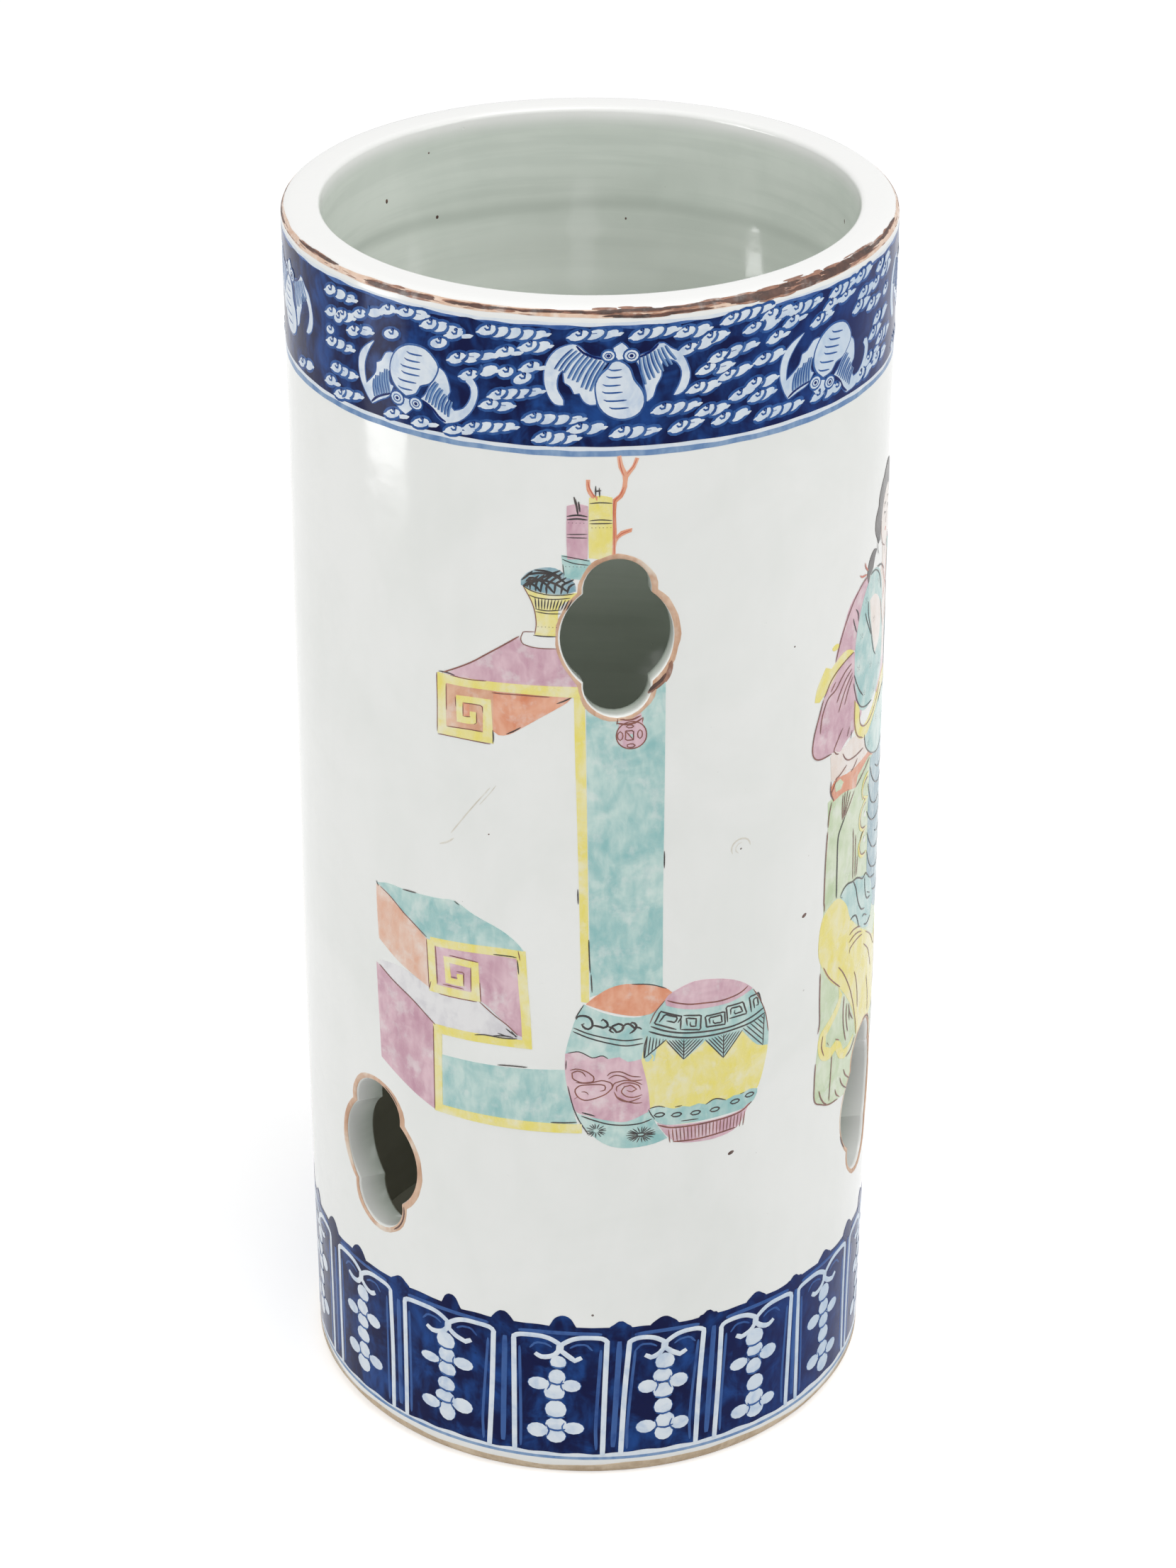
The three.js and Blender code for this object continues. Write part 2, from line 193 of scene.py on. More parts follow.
def quatrefoil(window, grow):
    """A window's outline in its own plane, grown outwards: two side arcs and two end lobes."""
    width, height, lobe_radius, side_radius = window[:4]
    lobe, side = lobe_radius + grow, side_radius + grow
    rise, shift = height / 2 - lobe_radius, side_radius - width / 2
    apart = math.hypot(shift, rise)
    along = (side**2 - lobe**2 + apart**2) / (2 * apart)
    across = math.sqrt(side**2 - along**2)
    corner = ((shift * along + rise * across) / apart - shift, (rise * along - shift * across) / apart)
    lobe_turn = math.atan2(corner[1] - rise, corner[0])
    side_turn = math.atan2(corner[1], corner[0] + shift)
    arcs = [
        (-shift, 0, side, -side_turn, side_turn),
        (0, rise, lobe, lobe_turn, math.pi - lobe_turn),
        (shift, 0, side, math.pi - side_turn, math.pi + side_turn),
        (0, -rise, lobe, math.pi + lobe_turn, TAU - lobe_turn),
    ]
    points = []
    for x, y, radius, start, end in arcs:
        for k in range(ARC_STEPS):
            turn = start + (end - start) * k / ARC_STEPS
            points.append((x + radius * math.cos(turn), y + radius * math.sin(turn)))
    return np.array(points)


def window_flat(window, turn, grow, depth=0.0):
    """The grown outline laid on the unrolled wall at a depth, as arc from the front and height."""
    outline = quatrefoil(window, grow)
    z = window[4] + outline[:, 1] - WINDOW_SLANT * max(depth, 0) / WALL
    lean = np.arcsin(outline[:, 0] / (wall_radius(z) - depth))
    return np.column_stack([(math.radians(turn) + lean) * OUTER_RADIUS, z])


def window_gap(window, turn, grow):
    """The same outline in paint's u and z, nearest to the camera's side."""
    flat = window_flat(window, (turn + 180) % 360 - 180, grow)
    return flat + (FRONT_OFFSET, 0)


GAPS = [window_gap(w, t, 0.85) for _, w, t in WINDOWS]


class Layer:
    """Closed thin shapes on the wall that become one piece."""

    def __init__(self):
        self.vertices, self.faces, self.edge, self.count = [], [], [], 0

    def add(self, vertices, faces, edge=FAR_INSIDE):
        self.vertices.append(vertices)
        self.edge.append(np.broadcast_to(edge, (len(vertices),)))
        self.faces += [tuple(k + self.count for k in face) for face in faces]
        self.count += len(vertices)

    def fill(self, outline, lift, smooth=True, step=PAINT_STEP):
        """A filled outline, less the windows, as a slab from inside the wall to the lift."""
        border = eased(outline, True, step) if smooth else np.asarray(outline, float)
        low, high = border.min(0), border.max(0)
        holes = [g for g in GAPS if (g.min(0) < high).all() and (g.max(0) > low).all()]
        vertices, edges = list(border), ring_edges(0, len(border))
        for hole in holes:
            edges += ring_edges(len(vertices), len(hole))
            vertices += list(hole)
        rows = np.arange(low[1] + step * 0.6, high[1], step)
        grid = np.array([(u + (step / 2 if k % 2 else 0), z) for k, z in enumerate(rows)
                         for u in np.arange(low[0] + step * 0.4, high[0], step * 1.1)]).reshape(-1, 2)
        if len(grid):
            kept = inside(grid, border)
            for hole in holes:
                kept &= ~inside(grid, hole)
            grid = grid[kept]
        vertices += list(inset(border, SOFT_INSET))
        if len(grid):
            fixed = np.array(vertices)
            clear = np.array([np.hypot(*(fixed - g).T).min() > step * 0.45 for g in grid])
            vertices += list(grid[clear])
        flat, faces, _ = triangles(vertices, edges)
        middles = np.array([flat[list(f)].mean(0) for f in faces])
        kept = inside(middles, border)
        for hole in holes:
            kept &= ~inside(middles, hole)
        self.slab(flat, [f for f, k in zip(faces, kept) if k], lift, edge_distance(flat, [border] + holes))

    def slab(self, flat, faces, lift, edge):
        """Flat triangles raised to the lift, with a back inside the wall and closed sides."""
        used = sorted({k for f in faces for k in f})
        place = {k: n for n, k in enumerate(used)}
        faces = [tuple(place[k] for k in f) for f in faces]
        flat = flat[used]
        count = len(flat)
        sides = {(f[k], f[(k + 1) % 3]) for f in faces for k in range(3)}
        rims = [(a, b) for a, b in sides if (b, a) not in sides]
        shape = list(faces) + [tuple(k + count for k in reversed(f)) for f in faces]
        shape += [(a, a + count, b + count, b) for a, b in sorted(rims)]
        self.add(np.vstack([on_wall(flat, lift), on_wall(flat, -SINK)]), shape, np.tile(edge[used], 2))

    def ring(self, bottom, top, lift, columns=360, rows=8):
        """A layer right round the wall between two edges, given as functions of u."""
        u = np.arange(columns) * AROUND / columns
        low, high = bottom(u), top(u)
        outer = [on_wall(np.column_stack([u, low + (high - low) * k / rows]), lift) for k in range(rows + 1)]
        inner = [on_wall(np.column_stack([u, low + (high - low) * k / rows]), -SINK) for k in range(rows, -1, -1)]
        self.loops(outer + inner, True)

    def loops(self, rings, closed):
        """Rings of the same number of points joined by quads, and the last to the first if closed."""
        count = len(rings[0])
        faces = []
        for k in range(len(rings) if closed else len(rings) - 1):
            a, b = k * count, (k + 1) % len(rings) * count
            faces += [(a + i, a + (i + 1) % count, b + (i + 1) % count, b + i) for i in range(count)]
        self.add(np.vstack(rings), faces)


def as_piece(name, mesh, material, slot, *nodes, sharp=35):
    """A finished mesh as a piece of the object, standing for the nodes that it hides."""
    mesh.name = name
    mesh.materials.clear()
    mesh.materials.append(material)
    mesh.shade_smooth()
    mesh.set_sharp_from_angle(angle=math.radians(sharp))
    if "edge" not in mesh.attributes:
        values = mesh.attributes.new("edge", "FLOAT", "POINT").data
        values.foreach_set("value", [FAR_INSIDE] * len(values))
    piece = bpy.data.objects.new(name, mesh)
    bpy.context.scene.collection.objects.link(piece)
    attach(piece, "root")
    if nodes:
        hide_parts(*nodes)
    return piece


def turned_outwards(mesh, weld=0.0):
    """Welds points closer than a distance, if one is given, and turns the faces outwards."""
    shape = bmesh.new()
    shape.from_mesh(mesh)
    if weld:
        bmesh.ops.remove_doubles(shape, verts=shape.verts, dist=weld)
    bmesh.ops.recalc_face_normals(shape, faces=shape.faces)
    shape.to_mesh(mesh)
    shape.free()


def layer_piece(name, layer, material, slot, *nodes, sharp=35, recalculate=False):
    """A layer's shapes as one piece, with how far each point is from the paint's border."""
    mesh = bpy.data.meshes.new(name)
    mesh.from_pydata([tuple(v) for v in np.vstack(layer.vertices)], [], layer.faces)
    mesh.attributes.new("edge", "FLOAT", "POINT").data.foreach_set("value", np.concatenate(layer.edge))
    if recalculate:
        turned_outwards(mesh)
    mesh.validate()
    return as_piece(name, mesh, material, slot, *nodes, sharp=sharp)


# Geometry Nodes: brush lines along drawn paths, and drops of glaze laid on points
def new_tree(name, inputs):
    tree = bpy.data.node_groups.new(name, "GeometryNodeTree")
    tree.interface.new_socket("Geometry", in_out="INPUT", socket_type="NodeSocketGeometry")
    for label, kind, value in inputs:
        socket = tree.interface.new_socket(label, in_out="INPUT", socket_type=kind)
        if value is not None:
            socket.default_value = value
    tree.interface.new_socket("Geometry", in_out="OUTPUT", socket_type="NodeSocketGeometry")
    return tree


def feed(tree, socket, value):
    """An input linked to a socket, or set to a value."""
    if isinstance(value, bpy.types.NodeSocket):
        tree.links.new(value, socket)
    else:
        socket.default_value = value


def put(tree, kind, inputs=None, **settings):
    """A node with its settings, and its inputs set to values or linked to sockets."""
    made = tree.nodes.new(kind)
    for key, value in settings.items():
        setattr(made, key, value)
    for key, value in (inputs or {}).items():
        feed(tree, made.inputs[key], value)
    return made


def named(tree, label):
    """A number that each point carries."""
    return put(tree, "GeometryNodeInputNamedAttribute", {"Name": label}, data_type="FLOAT").outputs["Attribute"]


def finish_tree(tree, shape, material):
    whole = put(tree, "GeometryNodeRealizeInstances", {"Geometry": shape})
    painted = put(tree, "GeometryNodeSetMaterial", {"Geometry": whole.outputs[0], "Material": material})
    out = put(tree, "NodeGroupOutput")
    tree.links.new(painted.outputs[0], out.inputs[0])
    return tree


def brush_line_tree():
    """A flat oval stroke that follows each path, as wide as the brush was pressed at each point."""
    tree = new_tree("brush_line", [("Step", "NodeSocketFloat", 0.8), ("Profile Points", "NodeSocketInt", 6),
                                   ("Flatness", "NodeSocketFloat", 0.16), ("Material", "NodeSocketMaterial", None)])
    given = put(tree, "NodeGroupInput").outputs
    paths = put(tree, "GeometryNodeMeshToCurve", {"Mesh": given["Geometry"]})
    smooth = put(tree, "GeometryNodeCurveSplineType", {"Curve": paths.outputs[0]}, spline_type="CATMULL_ROM")
    even = put(tree, "GeometryNodeResampleCurve", {"Curve": smooth.outputs[0], "Length": given["Step"]}, mode="LENGTH")
    level = put(tree, "GeometryNodeSetCurveNormal", {"Curve": even.outputs[0]}, mode="Z_UP")
    circle = put(tree, "GeometryNodeCurvePrimitiveCircle", {"Resolution": given["Profile Points"], "Radius": 1.0},
                 mode="RADIUS")
    scale = put(tree, "ShaderNodeCombineXYZ", {"X": 1.0, "Y": given["Flatness"], "Z": 1.0})
    oval = put(tree, "GeometryNodeTransform", {"Geometry": circle.outputs[0], "Scale": scale.outputs[0]})
    stroke = put(tree, "GeometryNodeCurveToMesh", {"Curve": level.outputs[0], "Profile Curve": oval.outputs[0],
                                                   "Scale": named(tree, "half_width"), "Fill Caps": True})
    return finish_tree(tree, stroke.outputs[0], given["Material"])


def glaze_drop_tree():
    """A low oval drop on each point, turned and sized by the point's own numbers."""
    tree = new_tree("glaze_drop", [("Segments", "NodeSocketInt", 14), ("Rings", "NodeSocketInt", 6),
                                   ("Thickness", "NodeSocketFloat", 0.06), ("Edge Reach", "NodeSocketFloat", 1.3),
                                   ("Material", "NodeSocketMaterial", None)])
    given = put(tree, "NodeGroupInput").outputs
    ball = put(tree, "GeometryNodeMeshUVSphere",
               {"Segments": given["Segments"], "Rings": given["Rings"], "Radius": 1.0})
    flat = put(tree, "ShaderNodeVectorMath", {0: put(tree, "GeometryNodeInputPosition").outputs[0], 1: (1, 1, 0)},
               operation="MULTIPLY")
    out = put(tree, "ShaderNodeVectorMath", {0: flat.outputs[0]}, operation="LENGTH").outputs["Value"]
    inward = put(tree, "ShaderNodeMath", {0: 1.0, 1: out}, operation="SUBTRACT", use_clamp=True).outputs[0]
    inward = put(tree, "ShaderNodeMath", {0: inward, 1: given["Edge Reach"]}, operation="MULTIPLY").outputs[0]
    ball = put(tree, "GeometryNodeStoreNamedAttribute", {"Geometry": ball.outputs[0], "Name": "edge", "Value": inward},
               data_type="FLOAT", domain="POINT")
    size = put(tree, "ShaderNodeCombineXYZ",
               {"X": named(tree, "half_wide"), "Y": named(tree, "half_tall"), "Z": given["Thickness"]})
    turn = put(tree, "ShaderNodeCombineXYZ", {"Z": named(tree, "tilt")})
    spots = put(tree, "GeometryNodeMeshToPoints", {"Mesh": given["Geometry"]})
    drops = put(tree, "GeometryNodeInstanceOnPoints", {"Points": spots.outputs[0], "Instance": ball.outputs[0],
                                                       "Rotation": turn.outputs[0], "Scale": size.outputs[0]})
    return finish_tree(tree, drops.outputs[0], given["Material"])


def grown(tree, name, points, edges, numbers, settings):
    """The tree's result on flat points, as a plain mesh wrapped onto the wall."""
    base = bpy.data.meshes.new(name + "_base")
    base.from_pydata(points, edges, [])
    for label, values in numbers.items():
        base.attributes.new(label, "FLOAT", "POINT").data.foreach_set("value", values)
    maker = bpy.data.objects.new(name + "_maker", base)
    bpy.context.scene.collection.objects.link(maker)
    modifier = maker.modifiers.new(tree.name, "NODES")
    modifier.node_group = tree
    for item in tree.interface.items_tree:
        if item.item_type == "SOCKET" and item.in_out == "INPUT" and item.name in settings:
            modifier[item.identifier] = settings[item.name]
    bpy.context.view_layer.update()
    depsgraph = bpy.context.evaluated_depsgraph_get()
    mesh = bpy.data.meshes.new_from_object(maker.evaluated_get(depsgraph), depsgraph=depsgraph)
    maker.modifiers.remove(modifier)
    bpy.data.objects.remove(maker)
    bpy.data.meshes.remove(base)
    co = np.empty(len(mesh.vertices) * 3)
    mesh.vertices.foreach_get("co", co)
    co = co.reshape(-1, 3)
    mesh.vertices.foreach_set("co", on_wall(co[:, :2], co[:, 2]).ravel())
    turned_outwards(mesh, 1e-7)
    for label in [a.name for a in mesh.attributes if a.name in numbers]:
        mesh.attributes.remove(mesh.attributes[label])
    return mesh


class Strokes:
    """Brush strokes of one colour that become one piece."""

    def __init__(self):
        self.points, self.edges, self.half_widths = [], [], []

    def add(self, path, half_width, lift, taper=0.35, smooth=True, closed=False, ends=(True, True)):
        """A stroke along flat places, thinner towards its free ends, with its top at the lift."""
        line = eased(path, closed, 1.0) if smooth else np.asarray(path, float)
        if closed:
            line = np.vstack([line, line[:1]])
        run = np.concatenate([[0], np.cumsum(np.hypot(*np.diff(line, axis=0).T))])
        if run[-1] < 0.05:
            return
        free = 0.5 * min(run[-1], 5 * half_width + 1.2)
        width = np.ones(len(line)) * half_width
        if ends[0] and not closed:
            width *= taper + (1 - taper) * np.sqrt(np.clip(run / free, 0, 1))
        if ends[1] and not closed:
            width *= taper + (1 - taper) * np.sqrt(np.clip((run[-1] - run) / free, 0, 1))
        start = len(self.points)
        self.points += [(u, z, lift - STROKE_FLATNESS * w) for (u, z), w in zip(line, width)]
        self.half_widths += list(width)
        self.edges += [(start + k, start + k + 1) for k in range(len(line) - 1)]

    def piece(self, name, material, slot, *nodes, step=0.8):
        mesh = grown(BRUSH_LINE, name, self.points, self.edges, {"half_width": self.half_widths},
                     {"Step": step, "Profile Points": 6, "Flatness": STROKE_FLATNESS, "Material": material})
        return as_piece(name, mesh, material, slot, *nodes, sharp=75)


class Drops:
    """Oval drops of one colour that become one piece."""

    def __init__(self):
        self.points, self.wide, self.tall, self.tilt = [], [], [], []

    def add(self, u, z, width, height, lift, tilt=0.0):
        self.points.append((u, z, lift))
        self.wide.append(width / 2)
        self.tall.append(height / 2)
        self.tilt.append(math.radians(tilt))

    def piece(self, name, material, slot, *nodes, thickness=0.05, reach=1.3):
        mesh = grown(GLAZE_DROP, name, self.points, [],
                     {"half_wide": self.wide, "half_tall": self.tall, "tilt": self.tilt},
                     {"Segments": 12, "Rings": 4, "Thickness": thickness, "Edge Reach": reach, "Material": material})
        return as_piece(name, mesh, material, slot, *nodes, sharp=75)


BRUSH_LINE = brush_line_tree()
GLAZE_DROP = glaze_drop_tree()


# Finishes
def new_group(name, inputs, outputs):
    tree = bpy.data.node_groups.new(name, "ShaderNodeTree")
    for label, kind, value in inputs:
        tree.interface.new_socket(label, in_out="INPUT", socket_type=kind).default_value = value
    for label, kind in outputs:
        tree.interface.new_socket(label, in_out="OUTPUT", socket_type=kind)
    given = put(tree, "NodeGroupInput").outputs
    return tree, given, put(tree, "NodeGroupOutput").inputs


def mixed(tree, factor, a, b):
    """Two colours mixed by a factor; a colour is a socket or a value."""
    made = tree.nodes.new("ShaderNodeMix")
    made.data_type = "RGBA"
    for key, value in ((0, factor), (6, a), (7, b)):
        feed(tree, made.inputs[key], value)
    return made.outputs[2]


def between(tree, value, low, high, to_low=0.0, to_high=1.0):
    """A value spread smoothly from one range to another."""
    return put(tree, "ShaderNodeMapRange", {0: value, 1: low, 2: high, 3: to_low, 4: to_high},
               interpolation_type="SMOOTHSTEP").outputs[0]


def noise(tree, where, scale, detail=3.0, roughness=0.55, distortion=0.0):
    return put(tree, "ShaderNodeTexNoise", {"Vector": where, "Scale": scale, "Detail": detail,
                                            "Roughness": roughness, "Distortion": distortion}).outputs[0]


def reckon(tree, operation, a, b=0.5, clamp=False):
    return put(tree, "ShaderNodeMath", {0: a, 1: b}, operation=operation, use_clamp=clamp).outputs[0]


def object_places(tree):
    return put(tree, "ShaderNodeTexCoord").outputs["Object"]


def brush_wash_group():
    """Colour laid on by a loaded brush: pools, streaks and thin places."""
    tree, given, out = new_group("brush_wash", [
        ("Light", "NodeSocketColor", (1, 1, 1, 1)), ("Dark", "NodeSocketColor", (0, 0, 0, 1)),
        ("Pool Scale", "NodeSocketFloat", 120.0), ("Streak Scale", "NodeSocketFloat", 500.0),
        ("Streaks", "NodeSocketFloat", 0.3), ("Low", "NodeSocketFloat", 0.35), ("High", "NodeSocketFloat", 0.65),
    ], [("Color", "NodeSocketColor"), ("Amount", "NodeSocketFloat")])
    where = object_places(tree)
    pools = noise(tree, where, given["Pool Scale"], 4.0, 0.6, 0.6)
    leaning = put(tree, "ShaderNodeMapping",
                  {"Vector": where, "Rotation": (0.3, 0.5, 0.0), "Scale": (1.0, 1.0, 0.35)}).outputs[0]
    streaks = noise(tree, leaning, given["Streak Scale"], 2.0, 0.5, 0.4)
    both = put(tree, "ShaderNodeMix", {0: given["Streaks"], 2: pools, 3: streaks}, data_type="FLOAT").outputs[0]
    amount = put(tree, "ShaderNodeMapRange", {0: both, 1: given["Low"], 2: given["High"]},
                 interpolation_type="SMOOTHSTEP").outputs[0]
    tree.links.new(mixed(tree, amount, given["Light"], given["Dark"]), out["Color"])
    tree.links.new(amount, out["Amount"])
    return tree


def specks_group():
    """Sparse small specks, such as iron spots that came through a glaze."""
    tree, given, out = new_group("iron_specks", [
        ("Scale", "NodeSocketFloat", 60.0), ("Size", "NodeSocketFloat", 0.03), ("Share", "NodeSocketFloat", 0.1),
    ], [("Mask", "NodeSocketFloat")])
    where = object_places(tree)
    cells = put(tree, "ShaderNodeTexVoronoi", {"Vector": where, "Scale": given["Scale"]})
    chance = put(tree, "ShaderNodeSeparateColor", {0: cells.outputs["Color"]})
    chosen = reckon(tree, "LESS_THAN", chance.outputs[0], given["Share"])
    reach = reckon(tree, "MULTIPLY", given["Size"], chance.outputs[1])
    near = reckon(tree, "SUBTRACT", 1.0, reckon(tree, "DIVIDE", cells.outputs["Distance"], reach), True)
    soft = reckon(tree, "MULTIPLY", near, 3.0, True)
    tree.links.new(reckon(tree, "MULTIPLY", soft, chosen), out["Mask"])
    return tree


def relief_group():
    """Height of a fired glaze: a slow ripple, orange peel and tiny pits."""
    tree, given, out = new_group("glaze_relief", [
        ("Ripple Scale", "NodeSocketFloat", 40.0), ("Peel Scale", "NodeSocketFloat", 420.0),
        ("Peel", "NodeSocketFloat", 0.2), ("Pits", "NodeSocketFloat", 0.5),
    ], [("Height", "NodeSocketFloat")])
    where = object_places(tree)
    ripple = noise(tree, where, given["Ripple Scale"], 2.0)
    peel = reckon(tree, "MULTIPLY", noise(tree, where, given["Peel Scale"], 2.0), given["Peel"])
    cells = put(tree, "ShaderNodeTexVoronoi", {"Vector": where, "Scale": 260.0})
    pit = between(tree, cells.outputs["Distance"], 0.0, 0.09, 1.0, 0.0)
    chance = put(tree, "ShaderNodeSeparateColor", {0: cells.outputs["Color"]}).outputs[0]
    pit = reckon(tree, "MULTIPLY", reckon(tree, "MULTIPLY", pit, reckon(tree, "LESS_THAN", chance, 0.06)),
                 given["Pits"])
    tree.links.new(reckon(tree, "SUBTRACT", reckon(tree, "ADD", ripple, peel), pit), out["Height"])
    return tree


BRUSH_WASH = brush_wash_group()
IRON_SPECKS = specks_group()
GLAZE_RELIEF = relief_group()


def placed(tree, group, **inputs):
    made = tree.nodes.new("ShaderNodeGroup")
    made.node_tree = group
    for key, value in inputs.items():
        feed(tree, made.inputs[key.replace("_", " ")], value)
    return made.outputs


def linear(colour):
    """A colour given as it looks on a screen, 0 to 255, as the shader's own numbers."""
    shares = [v / 255 for v in colour]
    return tuple(v / 12.92 if v <= 0.04045 else ((v + 0.055) / 1.055) ** 2.4 for v in shares) + (1.0,)


def new_material(name, roughness, **settings):
    """A material with its node tree and its shader."""
    material = bpy.data.materials.new(name)
    material.use_nodes = True
    shader = material.node_tree.nodes["Principled BSDF"]
    shader.inputs["Roughness"].default_value = roughness
    for key, value in settings.items():
        shader.inputs[key.replace("_", " ")].default_value = value
    return material, material.node_tree, shader


def washed(tree, light, dark, pool, streak, streaks, low, high):
    """A brush wash between two colours: its colour and its amount."""
    return placed(tree, BRUSH_WASH, Light=linear(light), Dark=linear(dark), Pool_Scale=pool, Streak_Scale=streak,
                  Streaks=streaks, Low=low, High=high)


def speck_mask(tree, scale, size, share):
    return placed(tree, IRON_SPECKS, Scale=scale, Size=size, Share=share)["Mask"]


def tinted(tree, colour, tint, *shares):
    """A colour mixed towards a tint by the product of the shares."""
    share = shares[0]
    for following in shares[1:]:
        share = reckon(tree, "MULTIPLY", share, following)
    return mixed(tree, share, colour, linear(tint))


def fired_relief(tree, shader, ripple, peel_scale, peel, pits, distance, strength):
    """Bump of a fired surface on a shader."""
    relief = placed(tree, GLAZE_RELIEF, Ripple_Scale=ripple, Peel_Scale=peel_scale, Peel=peel, Pits=pits)
    bump = put(tree, "ShaderNodeBump", {"Height": relief["Height"], "Distance": distance, "Strength": strength})
    tree.links.new(bump.outputs[0], shader.inputs["Normal"])


def porcelain_material():
    """Thick clear glaze on white clay: cool and pooled, greyer inside, with iron specks and a few scuffs. Inside it
    carries painted shade that deepens lower down and a painted lighter band below the rim; the rim's top is painted
    lighter as a painted highlight.
    """
    material, tree, shader = new_material("glazed_porcelain", 0.11)
    where = object_places(tree)
    split = put(tree, "ShaderNodeSeparateXYZ", {0: where}).outputs
    reach = reckon(tree, "SQRT",
                   reckon(tree, "ADD", reckon(tree, "POWER", split[0], 2.0), reckon(tree, "POWER", split[1], 2.0)))
    below_rim = between(tree, split[2], 0.2745, 0.2786, 1.0, 0.0)
    within = reckon(tree, "MULTIPLY", between(tree, reach, 0.0570, 0.0625, 1.0, 0.0), below_rim)
    pooled = washed(tree, (242, 243, 240), (235, 237, 233), 22.0, 90.0, 0.3, 0.35, 0.7)
    inner = washed(tree, (236, 242, 234), (222, 230, 221), 20.0, 90.0, 0.1, 0.3, 0.72)
    body = mixed(tree, within, pooled["Color"], inner["Color"])
    rings = noise(tree, put(tree, "ShaderNodeMapping", {"Vector": where, "Scale": (6.0, 6.0, 95.0)}).outputs[0], 3.0,
                  3.0, 0.6)
    body = tinted(tree, body, (176, 188, 178), between(tree, rings, 0.42, 0.62, 0.0, 0.13), within)
    innermost = between(tree, reach, 0.0564, 0.0569, 1.0, 0.0)
    waver = reckon(tree, "ADD", reckon(tree, "MULTIPLY", noise(tree, where, 14.0, 2.0), 0.006), split[2])
    # On the inside only: painted shade that deepens lower down, darker and browner painted shade in the lowest part, a
    # darker band at a throwing ring, and a painted lighter band from about 21 to 27 cm up that stands in for light
    for tint, *shares in (
            ((122, 130, 114), between(tree, split[2], 0.15, 0.208, 0.62, 0.0)),
            ((128, 112, 88), between(tree, split[2], 0.06, 0.15, 0.5, 0.0)),
            ((178, 188, 178), between(tree, waver, 0.2582, 0.2612), between(tree, waver, 0.2612, 0.2637, 0.45, 0.0)),
            ((249, 253, 246), between(tree, split[2], 0.205, 0.228, 0.0, 0.6),
             between(tree, split[2], 0.236, 0.266, 1.0, 0.0))):
        body = tinted(tree, body, tint, *shares, innermost)
    # The rim's top is painted nearly white: a painted highlight where light falls on it from above.
    body = tinted(tree, body, (250, 250, 248), between(tree, split[2], 0.2768, 0.279))
    body = tinted(tree, body, (70, 62, 48), speck_mask(tree, 46.0, 0.05, 0.035), 0.85)
    body = tinted(tree, body, (140, 132, 118), speck_mask(tree, 190.0, 0.07, 0.03), 0.35)
    tree.links.new(body, shader.inputs["Base Color"])
    smears = noise(tree, where, 55.0, 4.0, 0.6)
    tree.links.new(between(tree, smears, 0.35, 0.75, 0.07, 0.17), shader.inputs["Roughness"])
    fired_relief(tree, shader, 48.0, 520.0, 0.06, 0.25, 0.0004, 0.55)
    return material


def bare_clay_material():
    """Unglazed foot: tan and grey, dry, gritty, with kiln grit stuck to it."""
    material, tree, shader = new_material("bare_clay", 0.8)
    wash = washed(tree, (214, 196, 170), (184, 162, 134), 90.0, 600.0, 0.4, 0.3, 0.7)
    gritty = tinted(tree, wash["Color"], (112, 88, 66), speck_mask(tree, 420.0, 0.3, 0.12), 0.6)
    tree.links.new(gritty, shader.inputs["Base Color"])
    tree.links.new(between(tree, wash["Amount"], 0.0, 1.0, 0.68, 0.9), shader.inputs["Roughness"])
    fired_relief(tree, shader, 150.0, 1400.0, 0.8, 0.9, 0.0003, 0.8)
    return material


def painted_material(name, light, dark, roughness, pool=120.0, streak=520.0, streaks=0.35, low=0.3, high=0.7,
                     spots=0.0, spot_colour=(20, 24, 40), thin=0.0, soft=0.0, fade=(238, 239, 235), shine=0.5,
                     right_side_share=0.0, right_side_colour=(6, 40, 112)):
    """Paint under or over the glaze, washed on unevenly.

    It can have darker spots, places where it ran thin, a soft border, and a bluer colour towards the viewer's right.
    """
    material, tree, shader = new_material(name, roughness, Specular_IOR_Level=shine)
    wash = washed(tree, light, dark, pool, streak, streaks, low, high)
    colour = wash["Color"]
    if spots:
        colour = tinted(tree, colour, spot_colour, speck_mask(tree, 330.0, 0.28, 0.16), spots)
    where = object_places(tree)
    # Mixed towards a bluer colour on the side to the viewer's right, by the object's x coordinate.
    if right_side_share:
        side = put(tree, "ShaderNodeSeparateXYZ", {0: where}).outputs[0]
        colour = tinted(tree, colour, right_side_colour, between(tree, side, 0.012, 0.055, 0.0, right_side_share))
    if thin:
        worn = between(tree, noise(tree, where, 230.0, 4.0, 0.6), 0.5, 0.68)
        colour = tinted(tree, colour, fade, worn, thin)
    if soft:
        near = put(tree, "ShaderNodeAttribute", attribute_name="edge").outputs["Fac"]
        waver = reckon(tree, "MULTIPLY_ADD", noise(tree, where, 420.0, 2.0), 0.5)
        faded = between(tree, reckon(tree, "ADD", near, waver), 0.1, soft + 0.3, 0.85, 0.0)
        colour = tinted(tree, colour, fade, faded)
    tree.links.new(colour, shader.inputs["Base Color"])
    tree.links.new(between(tree, wash["Amount"], 0.0, 1.0, roughness - 0.04, roughness + 0.05),
                   shader.inputs["Roughness"])
    fired_relief(tree, shader, 70.0, 640.0, 0.1, 0.15, 0.0003, 0.6)
    return material


